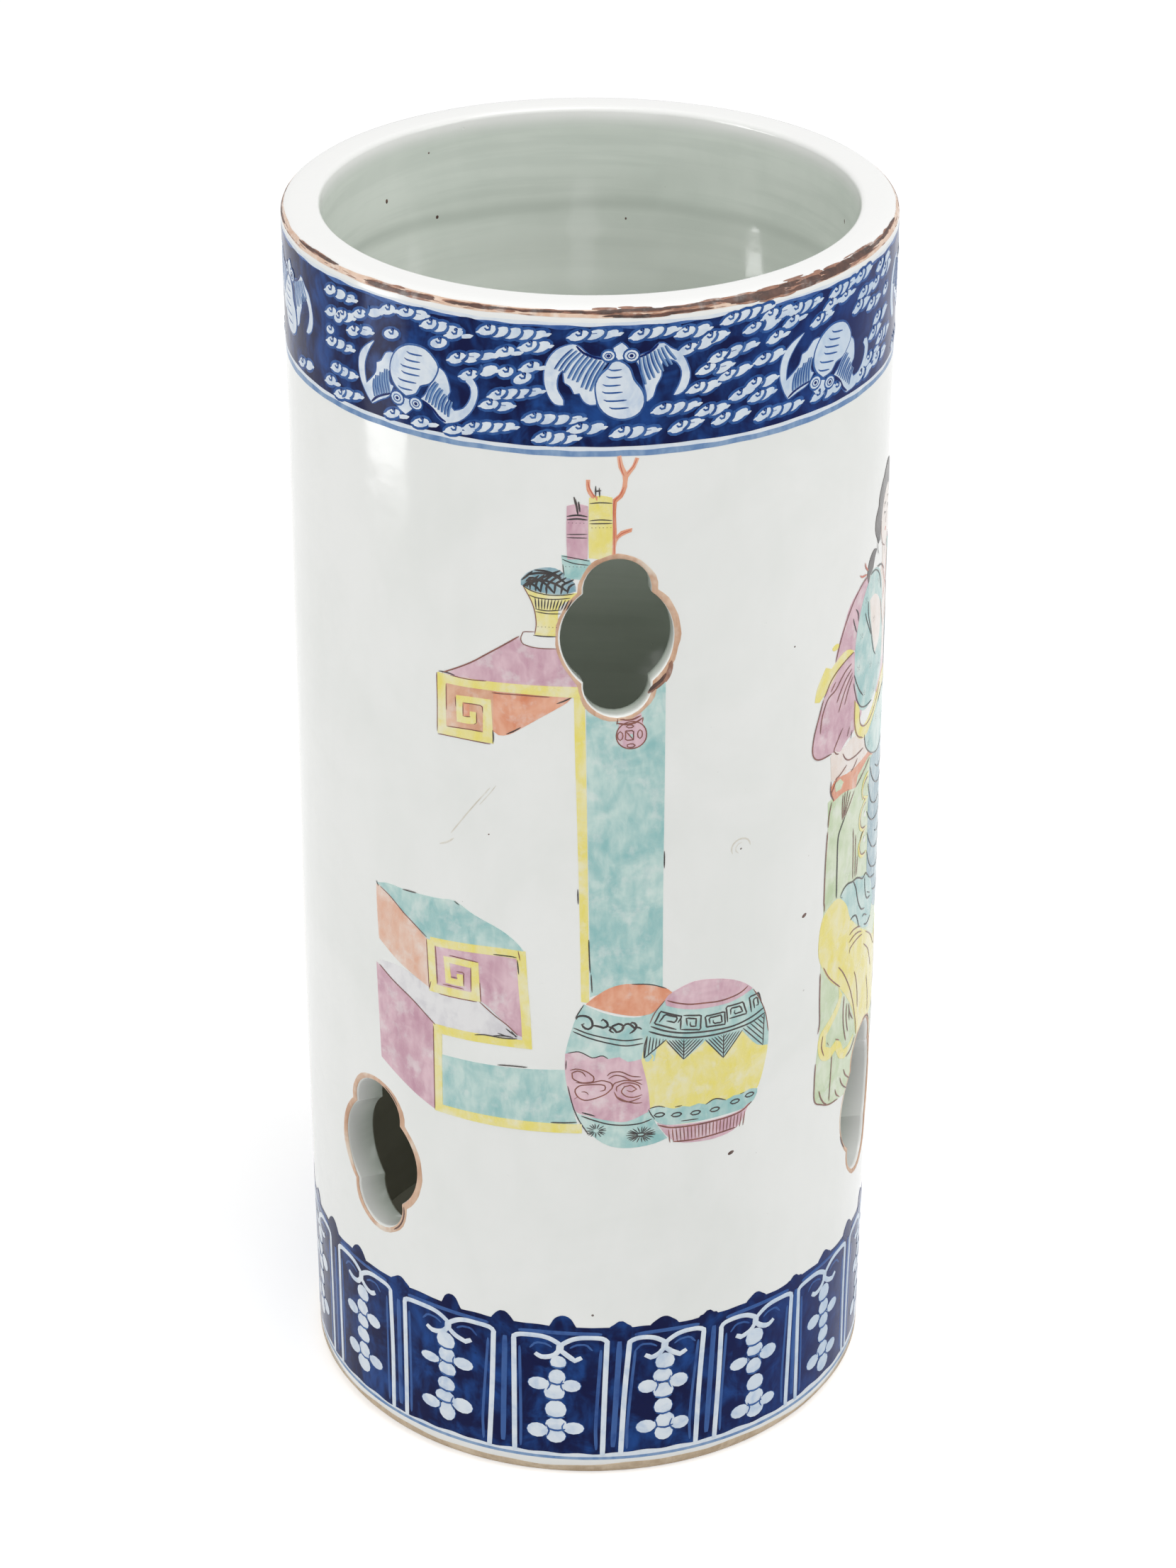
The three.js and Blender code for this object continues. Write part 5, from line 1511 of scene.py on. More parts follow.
def make_table():
    """The tall scroll table, its top, its leg and its coiled foot."""
    make_picture("table_top", "enamel_table_top", "mauve", [
        ("mauve", "-30.4,198 -27.1,200.4 -24.1,202.2 -21.2,204.2 -18.3,206.3 -15.8,208.1 -14.2,209.2 -13.8,207.7"
                  " -11.7,207 -6.8,207.1 -3,209 0,209 3,200 3,195 -3,197.4"),
        ("orange", "-19.8,196.2 -13.6,196.4 -3.3,196.6 -4.5,195.1 -6.3,193.8 -10,191.3 -13.7,188.7 -16.6,186.8"
                   " -18.7,186.4 -19.9,187.2"),
        ("sienna", "-30.3,196.4 -19.7,196.6 -19.8,184.8 -30.3,185.6"),
        ("orange", "-26.4,192.5 -24.9,192.4 -25,189.6 -26.4,189.4"),
        ("yellow", ribbon("1,197.4,1.25 -4.5,197.5,1.2 -13.6,197.5,1.05 -21.2,197.3,1 -27.2,197.1,1 -31.2,197.1,1"
                          " -31.3,191.4,1 -31.3,185.3,1.05 -26.3,185.4,1.1 -20.9,185.4,1.1"
                          " -21,189.3,1 -21.1,193.4,0.85 -24.2,193.4,0.75 -27.2,193.2,0.72 -27.2,190.6,0.72"
                          " -27.1,188.6,0.75 -25.3,188.6,0.75 -24.1,188.8,0.75 -24.2,190.8,0.7")),
    ], [
        ("brown", 0.15, "-31,198.3 -27.1,200.4 -24.1,202.2 -21.2,204.3 -18.5,206.2 -16,208 -14.2,209.3"),
        ("brown", 0.1, "-29.2,198.1 -25.2,198 -21.2,198.3|-20,195.9 -18.2,195.9 -15.5,196.1 -8,196.2|-30.2,195.9"
                       " -30.2,193.4 -30.2,190|-28.1,193.4 -28,191.2|-26.3,192.4 -24,192.6 -22.2,192.5 -22,191"
                       "|-26.4,189.4 -26.4,192.2|-26.2,189.4 -24.7,189.6|-23.4,190.8 -23.4,188.4 -24,188"
                       "|-22.1,186.6 -25.2,186.6 -28.4,186.4 -30.2,186.3|-32.3,184 -31,184.1 -27,184.2 -20.4,184.1"
                       "|-32.4,198 -32.3,192 -32.4,184.6"),
        ("black", 0.14, "-31.9,198.4 -30,198.5 -28.2,198.3|-19.9,187.4 -19.8,185.4 -19.9,184.4|-17,186.9"
                        " -15.4,187.8 -14,188.8|-6.6,194.8 -5.2,195.4 -3.6,196.3"),
    ])
    make_picture("table_leg", "enamel_table_leg", "turquoise", [
        ("turquoise", "-0.7,199 3,200.5 15.6,206 15.6,178 15.5,150 15.6,126.4 8,127.5 1,126.4 0.3,126 0,150 -0.4,175"),
        ("yellow",
         "-3.1,197 -0.9,196.8 -0.6,180 -0.3,160 -0.1,143 0.1,124.6 -1.6,124.9 -1.7,133 -2,150 -2.5,170 -2.9,185"),
        ("mauve", oval(8.6, 187.5, 3.1, 3.1)),
        ("mauve", "5.9,189.4 6.4,192.2 10.6,192.4 11.1,189.6 8.6,190.8"),
        ("turquoise", oval(8.6, 187.4, 0.45, 0.45)),
    ], [
        ("brown", 0.13, "5.5,187.5 5.9,186 7,184.9 8.6,184.5 10.2,184.9 11.4,186.1 11.7,187.6 11.3,189.2"
                        " 10.2,190.3 8.6,190.7 7,190.2 5.9,189.1 5.5,187.5"
                        "|7.4,188.6 9,188.6 9,186.5 7.4,186.5 7.4,188.6|7.4,188.6 9,186.5|5.6,190.1 5.8,191.5"
                        "|10.8,190.3 11,191.5"),
        ("brown", 0.22, "5.5,190.5 7.4,190.1 9.4,190.4 10.9,191.4|6.2,191.3 8.6,191.1 10.5,191.9"),
        ("brown", 0.12, [oval(6.3, 187.5, 0.55, 1.0) + [(6.85, 187.5)], oval(10.35, 187.7, 0.5, 1.0) + [(10.85, 187.7)],
                         oval(8.5, 185.2, 0.9, 0.42) + [(9.4, 185.2)], oval(8.3, 189.6, 0.8, 0.35) + [(9.1, 189.6)]]),
        ("black", 0.13, "0,140 0.1,136.4 0.3,132|0.5,131.6 0.6,129.5 0.7,127.2|15.7,160 15.7,156|-2.3,152 -2.2,148.4"),
    ])
    make_picture("table_foot", "enamel_table_foot", "turquoise", [
        ("mauve", "-50.2,123.5 -48,122.6 -45.4,121.1 -39.7,118 -34,113.9 -34.2,92.2 -40,94.8 -49.3,100"),
        ("grey", "-49.4,124.4 -43.7,125.1 -38.1,123.8 -34.9,122.5 -28.6,121.9 -23.1,122.3 -18.8,119.1 -14.1,115.4"
                 " -13.6,113.6 -23.9,113.6 -33.1,113.6 -39.7,118.2 -45.4,121.2 -49.1,123.5"),
        ("peach", "-49.7,142.8 -48.5,142.8 -45.6,141.4 -41.8,138.6 -37.9,136.1 -35.6,134.6 -35.4,129.7 -34.9,122.4"
                  " -38.1,123.8 -43.6,126.3 -49.2,129.8 -49.6,137.1"),
        ("mauve", "-34.5,134.1 -26.3,135 -14.4,135 -14,120.7 -13.7,115.2 -15.3,115.7 -18.8,119.1 -22.9,122.4"
                  " -29.1,122.9 -34.3,122.5"),
        ("turquoise", "-49.5,143.2 -46.1,144.3 -42,144.4 -37.2,144.7 -32.6,145.1 -29.1,145.5 -24.7,143.3"
                      " -18.6,140.7 -15.2,138.2 -13.6,136.2 -20,135.6 -36,134.6 -38.2,136.6 -41.8,138.9"
                      " -45.5,141.5"),
        ("turquoise", "-32.6,106.8 -18,107.2 -4.6,108 -4.4,104 -3.4,99 -2.4,94.4 -1.4,93.6 -32.6,93.8"),
        ("yellow", ribbon("-34.9,134.2,1 -26.3,134.9,1 -18.7,135.4,1 -14.2,135.3,1 -13.8,127.7,1 -13.3,120.8,1"
                          " -13,113.5,1 -18.8,113.5,1.05 -26.6,113.2,1.05 -33.5,113,1.05 -33.5,105,1 -33.5,93.1,1"
                          " -20,93.1,1.15 -1.4,93.3,1.15")),
        ("yellow", ribbon("-34.9,134.4,0.95 -34.7,128.7,0.95 -34.4,122.9,1 -29.1,123.1,1 -24.2,123.3,1"
                          " -24.3,127.2,0.9 -24.4,131,0.85 -27.7,131,0.8 -31,130.8,0.7 -30.8,128.3,0.66"
                          " -30.6,125.8,0.75"
                          " -28.6,125.8,0.75 -27.7,125.9,0.75 -27.9,128,0.7")),
    ], [
        ("black", 0.14, "-42,144.4 -38.3,144.7|-49.7,143.6 -49,142.6|-19.5,107.5 -16,107.8 -13,107.9|-8,94.6"
                        " -5,94.7 -2.5,94.9|-29,145.5 -27.8,144.8|-20.2,134.6 -16.2,134.7 -15.1,134.6|-15,134"
                        " -14.7,130.6"
                        "|-24.6,113.9 -22.4,114.4 -18.1,114.4 -15.1,114.7|-17.6,116.9 -16.3,115.9 -15.1,115.2"
                        "|-16.4,116.4 -15.3,115|-20.4,114.6 -17.6,115 -16,114.9|-19.4,115.4 -17.2,114.9"),
        ("brown", 0.11, "-48.4,142.7 -45.5,141.4 -41.8,138.8 -38,136.3 -35.8,134.8|-43,139.6 -40.9,138.1"
                        "|-35.9,134.4 -35.6,128 -35.4,122.6|-33.7,133.4 -33.5,129 -33.3,124.2|-30.4,132 -27,132"
                        " -23.6,131.9|-25.3,130.3 -25.3,124.5"
                        "|-32,124.5 -29.1,124.6 -27,124.6|-27,125.3 -27,128.6 -28.6,128.5|-30,126.8 -28.4,126.9"
                        "|-34.9,124.3 -35.4,122.3|-33,121.9 -30.8,121.9 -24,122.2|-23.4,122.3 -20,119.6"
                        " -17.5,117.9 -15,115.6|-23.1,122.4 -23.3,127"
                        "|-34,113.8 -39.7,118 -45.4,121 -49.3,123.3|-34.5,113.4 -34.5,103 -34.5,92.4|-14.8,136.3"
                        " -14.4,134"),
    ])


def make_things_on_table():
    """The jars, the flower holder and the dish that stand on the table."""
    net = ("-13,221 -10.8,222.1 -8.8,222 -6.4,221.2 -4.2,219.7|-12.8,221.5 -11.9,222.4 -11,222.4 -8.8,221.3"
           " -7,219.3|-13.4,220.6 -11.9,221.1 -10.6,220.5 -9.7,219.4|-10.8,219.6 -10.5,221.7 -9,223.3"
           "|-9.7,219.6 -9.4,221.5 -7,223.6|-8.6,219.1 -8.4,221.1 -5.3,223.9|-7,219.3 -6.8,221.4 -4.6,222.9"
           "|-5.7,219.2 -5.3,221.3 -3.1,222.5|-12.5,220.3 -12.3,221.5 -11.4,222.6|-11.9,219.9 -11.8,221.3"
           " -10.1,223.1"
           "|-4.4,219.4 -4,220.9 -2.9,221.6|-12.6,223 -10,223.6 -7,223.2 -4.6,221.6|-11,224.2 -8.4,224 -5.6,222.9"
           "|-13.6,221.8 -11.4,223.9|-13.2,220.4 -9,222.8 -5.8,224.4")
    comb = [[(-10.9 + 0.68 * k, 217.9 + 0.006 * (k - 6) ** 2), (-10.7 + 0.56 * k, 215.7)] for k in range(12)]
    make_picture("table_things", "enamel_vase_group", "yellow", [
        ("blue", "-13.8,220.7 -13.8,221.9 -12.8,223.2 -11,224.3 -8.8,224.9 -6.8,224.8 -5.3,223.9 -2.9,221.6"
                 " -2.7,219.9 -5.3,219.1 -8.6,219.2 -11.9,219.9"),
        ("turquoise", "-5.6,227.8 -3,227.4 0,226.8 0.8,224.6 -1,222.4 -5,222.8 -5.4,225.4"),
        ("white", "-14,209 -13.3,210.6 -10.8,211 -6.4,210.9 -5.4,207.2 -11.9,207.1 -13.5,207.6"),
        ("yellow", "-13.4,220.6 -11.9,219.7 -9.7,219.2 -7.5,219 -5.3,219.1 -2.4,219.6 -3,218.5 -5.2,217.2"
                   " -6.2,215.6 -6.3,213 -6.2,209.9 -8,209.6 -11,209.8 -10.7,212.3 -11,215.2 -11.7,217.5"
                   " -12.5,219.1"),
        ("yellow", "-0.1,240.2 2.2,240.7 4.5,240.2 4.6,233 4.5,226.6 -0.1,227.2 -0.2,233"),
        ("mauve", "-4.5,238.4 -2.3,238.9 -0.3,238.4 -0.3,232 -0.4,227 -4.4,226.9 -4.6,232"),
    ], [
        ("black", 0.24, net), ("black", 0.14, comb),
        ("black", 0.1, "-13.3,220.5 -11.9,219.7 -9.7,219.1 -7.5,218.9 -5.3,219 -3.1,219.4|-12.3,218.7 -10.8,218.2"
                       " -8.6,218 -6.2,218.1 -3.8,218.4|-10.9,215.7 -8.6,215.4 -5.7,215.7|-10.8,215.1 -8.6,214.8"
                       " -5.7,214.9"
                       "|-5.4,226.9 -4,226.3 -2.3,225.9 -0.2,225.7|-5.3,225.8 -5.2,224.6 -5,223.4|-5.5,227.6"
                       " -3,227.2 0,226.6"),
        ("black", 0.13, "-11.3,209.8 -9,209.7 -6.6,209.8"),
        ("brown", 0.1, "-11,210.6 -13.3,210.4 -13.9,208.9 -13.5,207.7 -11.9,207.2 -9.7,207 -6.6,207.1|-13.4,220.6"
                       " -12.5,219 -11.7,217.4 -11,215.2 -10.7,212.3 -11,210"),
        ("black", 0.19, "-4.5,236.2 -2.4,236.5 -0.4,236.2|-4.5,235.5 -2.4,235.7 -0.4,235.5"),
        ("black", 0.11, "-4.5,232.3 -0.4,232.4|-4.5,231.6 -0.4,231.6|0,239 2.2,239.2 4.5,239|0,235.3 2.2,235.5"
                        " 4.5,235.3|0,234.7 4.5,234.7"),
        ("black", 0.15, [[(u, z), (u + 0.16, z)] for z, first,
                         last in ((211.8, -10.4, -6.6), (225.3, -4.8, -0.6), (234.8, -4.2, -0.7), (233.8, 0.4, 4.3))
                         for u in np.arange(first, last, 0.75)]),
        ("black", 0.24, "-3.1,240.4 -2.6,238.6 -2.3,236.6|-2.2,239.4 -1.9,237.2"),
        ("black", 0.16, "1.2,242.8 1.2,240.6|1.9,242.4 2,240.4|1,241.6 2.3,241.8"),
    ])
    make_picture("coral_branch", "enamel_coral_branch", "orange", [
        ("orange", "4.3,226.6 5.2,226.6 5.4,230.6 6.5,231.9 8.4,232.7 8.5,233.5 6.2,232.9 5.4,232 5.4,239.2"
                   " 6.5,240.2 7.4,242.4 7.6,244.4 9,246.4 9.8,248.4 9,248.6 8.4,246.9 7.3,245.6 6.6,247.2"
                   " 6.2,249.2 5.4,249 5.7,246.6 6.5,244.8 6.5,242.6 5.8,240.8 4.6,239.8 4.6,231"),
        ("orange", "-0.7,244.1 -0.6,242 0.3,240.3 1.5,239.6 1.6,240.4 0.8,241 0.1,242.4 0.1,244.1"),
    ], [("red", 0.1, "4.9,228 4.9,231.6 4.9,239.4 6,240.6 6.8,242.4|6.8,244.8 6.2,246.4 5.8,248.8|7.4,245.2"
                     " 8.8,247 9.3,248.4|5.4,231.4 6.4,232.4 8.2,233.1|-0.3,243.8 0,242.2 1.1,240.3")])


def make_back_stool():
    """The garden stool behind, with its scrolls and clouds."""
    scroll = ("-2.6,120.6 -2.3,121.3 -1.2,121.5 0.2,121 0.8,119.7 0.7,118.7 -0.1,118.2 -0.9,118.5 -1.4,119.4"
              " -0.9,119.6|0.7,119.2 2,118.9 3.2,118.5 4,119 3.8,119.9 2.9,120.6 2.6,120.2"
              "|4,118.8 5,118.4 5.9,117.3 6.8,117.6 7.4,118.6 6.5,119.4 5,118.8 4.4,117.7 5.3,117.2|6.9,118.3"
              " 8,119.3 8.9,118.9 9.5,118.1 10.4,118.2 11.2,117.6|8.6,119.1 9.2,119.5 9.8,119.1 10.1,118.4"
              " 9.5,117.4 8.6,116.8")
    cloud = ("-3.9,107.9 -2.7,108.3 -1.2,108 0,107.4 1.2,106.2 0.9,105.1 -1.5,104.9 -3.3,105.8 -3.5,107.2"
             " -2.4,107.8 -1.2,107.4 -0.6,106.4|-2.7,104.9 0,104.8 3,105.4 4.8,104.7 5.1,103.6 3.9,102.2"
             " 2.7,101.5 0.9,100.8"
             " -0.9,100.5 -2.4,101.5 -2.9,102.9 -2.1,104 0,104.4 2.7,104.4 3.6,104 3.4,102.9 2.4,102.8|-1.5,102.6"
             " -0.6,102.6 0,101.9|-3,100.8 -2.4,101.2|3.9,106.5 4.7,107.3 6.8,107.4 9,106.2 11.1,105.8"
             "|4.2,105.8 5.6,106.6 7.5,106.1 9,105.1 11.4,105|4.9,103.2 5.4,104.6 7.5,105.2 9.9,104.7 11.4,103.8"
             "|6,102.5 5.8,103.5 7.2,104.5 9.3,104.4 10.8,103.5 11,102.6"
             "|11.4,101.3 9.6,100.8 7.8,101.3 6.9,102.4 7.5,103.6 9,103.9 10.2,102.8 9,102.2 8.1,102.7|5.4,102.5"
             " 6.3,100.7 8.1,99.8 9.6,100 11.1,100.6|5.7,101.4 7.5,100.2 9.9,99.3 11.4,99.3")
    make_picture("back_stool", "enamel_back_stool", "turquoise", [
        ("turquoise",
         "-1,124.3 -2.6,121 -3.8,117 -4.9,112 -4.9,110 14,109.4 16,122 17.2,125.6 12,121 8,120.8 4,121.8 0,123.6"),
        ("turquoise", "-2.6,97 -1.6,94.6 2,90.4 5,88.6 9,88 14,88.5 17,89.5 14.5,93.5 13,97.2 4,95.6"),
        ("mauve", "-4.9,112 -3.4,112.5 -2.1,112.5 -0.6,111.8 0.9,111 2.9,111.5 4.1,110.7 5,110.9 6.5,111.1"
                  " 8.3,109.8 11.1,110.2 12.6,103 13.2,97 8.1,94.8 4.5,95.2 0.9,96.2 -2.4,97.4 -3.4,99 -4.4,103"
                  " -5,108"),
        ("orange", "-0.6,124.3 1.4,126.2 4.4,128.2 7.9,129 12.1,128.4 16.1,127.2 17.7,125.8 14.6,122.4 13.1,121.2"
                   " 9.8,121 6.8,121.6 3.2,122.7 0.8,123.7"),
    ], [
        ("black", 0.26, scroll),
        ("black", 0.16, "-3.2,118.5 -0.1,117.1 4.4,115.8 8,115.1 11.4,115.3|-3.3,117.6 -0.1,116.1 4.4,114.6"
                        " 8,113.8 11.6,114.1|-1.5,96.5 0.9,95.5 4.5,94.3 8.1,93.9 11.2,94.1 13.6,94.9"),
        ("black", 0.22, "-1.4,97.4 -0.2,97 1.4,96.5"),
        ("black", 0.12, "-1,124.2 -2.4,121.6 -2.8,120.8|-4.7,110.4 -4.8,108|-4.4,104 -3.2,98.6 -2,95.4 0,91.8"
                        "|9,128.9 13,128.4 16.4,127|-4.4,112.2 -2.1,112.6 -0.6,111.9 0.9,111.1 2.9,111.6 4.1,110.8"),
        ("brown", 0.15, cloud),
        ("black", 0.13, rays(1.6, 92.8, 16, 0.6, 2.2) + rays(11.2, 91.2, 24, 0.9, 3.2, 0.62)),
        ("black", 0.17, [oval(11.2, 91.2, 1.0, 0.42) + [(12.2, 91.2)]]),
    ])


def make_front_stool():
    """The garden stool in front, with its frets and pointed leaves."""
    seams = (((12.4, 115.7), (16.5, 114.4), (11.8, 110.4)), ((16.5, 114.1), (20.4, 113.8), (20.4, 108.8)),
             ((24.8, 112.9), (20.4, 113.8), (20.4, 108.8)),
             ((25.3, 112.6), (29.6, 112.9), (29.6, 107)), ((34.2, 112.6), (29.6, 112.9), (29.6, 107)),
             ((34.3, 113), (39.8, 114.8), (39.6, 107)))
    strokes = [line for outer, seam, tip in seams for line in hatched(outer, seam, tip, 6)]
    edges = [[seam, tip] for _, seam, tip in seams] + [[outer, tip] for outer, _, tip in seams]
    frets = ("18.7,116.5 13.9,118.7 15.2,121.5 19.9,119.5 19,118.1|14.9,118.9 16.2,120.6 18.9,119.5 18.4,118.3"
             " 16.5,119|19.7,119.1 19.6,116.3|20.2,119.7 24.2,118.9 24.1,115.4 19.7,116.3"
             "|21.1,117 20.9,118.9 23.1,118.3 23,116.4 21.8,116.8 21.8,117.8|25.5,115.7 25.2,118.4 29.7,118.4"
             " 29.9,115.3 25.5,115.7|26.3,116.3 26.1,117.8 28.9,117.8 29.1,116 27.2,116.2 27,117.1"
             "|30.5,115.6 30.1,119.5 34.2,119.5 35.2,116.4 30.8,116.4|31.2,117.3 31.2,118.8 33.5,118.7 34.1,117.2"
             " 32.1,117.2 32.2,118.1|36.4,116.3 35.8,120.2 38.2,120.5 39,117.6|37.2,117 36.8,119.2 37.8,119.6"
             " 38.2,117.6 37.5,117.6")
    make_picture("front_stool", "enamel_front_stool", "yellow", [
        ("yellow", "12.2,116 11.2,110 11.2,107 11.7,102 13,97 15.6,93.4 27,92.4 36.2,93.4 38.8,97.4 40.4,103"
                   " 41,107 40.6,113.4 34,113.6 27,113.2 20,114"),
        ("turquoise", "12.4,116.6 13.4,120 16.1,123.9 18.9,121.9 22.8,120.9 26.7,120.6 30.7,120.6 34.2,121.4"
                      " 36.7,122 38.6,118.7 40.2,114.6 41.1,109.9 41,106.6 38.1,107.6 34.2,112.3 34,112.2"
                      " 29.6,106.9 25.2,112.4 24.8,111.9 20.4,108.6 16.5,114.4 11.6,110.3 11.6,112.4"),
        ("mauve", "16.1,124.2 16.8,125.2 19.2,126.5 22.7,127.6 27.9,127 32,125.6 34.8,123.9 36.6,122.2 34.2,121.2"
                  " 30.7,120.4 26.7,120.4 22.8,120.7 18.9,121.7 16.4,122.8"),
        ("turquoise", "12.6,97.2 14,97.8 16.6,97.4 18.4,96.7 20.4,97 22,96.5 24,96.9 25.6,96.3 27.8,97 30.4,96"
                      " 32.4,96.6 34.4,96.4 36.4,97 38.4,96.4 38.4,95.4 36.6,93 30,92.4 20,92.6 15.2,93.5"),
        ("mauve", "14.7,93.6 18,92.6 27,91.8 34,92.2 36.3,93.5 34.5,89.6 32.4,87.8 28,87 24,87.2 19.4,88 17,90"),
    ], [
        ("black", 0.2, frets),
        ("black", 0.21, "13.1,118.1 15.9,116.7 19.6,115.5 23.8,114.8 28.1,114.4 32.2,114.3 36.5,115.1 39.8,116.4"
                        "|12.7,116.9 15.9,115.5 19.7,114.3 23.8,113.6 28.1,113.3 32.2,113.4 36.5,113.8 39.9,115"),
        ("black", 0.13, strokes),
        ("black", 0.14, edges),
        ("brown", 0.18, "16.6,124 18.3,123.2 21.5,122.2 24.7,121.8 28.6,121.4 32.1,121.7 34.1,122.3 35.4,123.2"),
        ("brown", 0.2, "14.9,93.1 18,92 27,91.5 34,91.9 37,93.6|18.4,88.3 24,87.9 33,88.3"),
        ("brown", 0.13, [[(17.2 + 0.86 * k, 91.7), (17.6 + 0.82 * k, 88.2)] for k in range(22)]),
        ("black", 0.17, [oval(u, z, 1.15, 0.5) + [(u + 1.15, z)] for u,
                         z in ((15.2, 95.7), (19, 95.1), (23.3, 94.7), (27.8, 94.4), (32.7, 95), (36.4, 95.5))]),
        ("black", 0.13, "13,97.6 15,97.9 16.4,97.4|18.6,97.1 20.2,97.2|25.6,96.2 27.8,97.1 30.4,96.1|34,96.5"
                        " 35,96.6|20,93.3 24,93|11.7,110.4 11.8,113.4 12.4,115.8|12.8,97.4 13.4,96 14.2,94.8"),
        ("brown", 0.11, "16.1,124.1 14,121.4 12.9,118.8|36.7,122 38.6,118.7 40.2,114.5 41,110"),
    ])


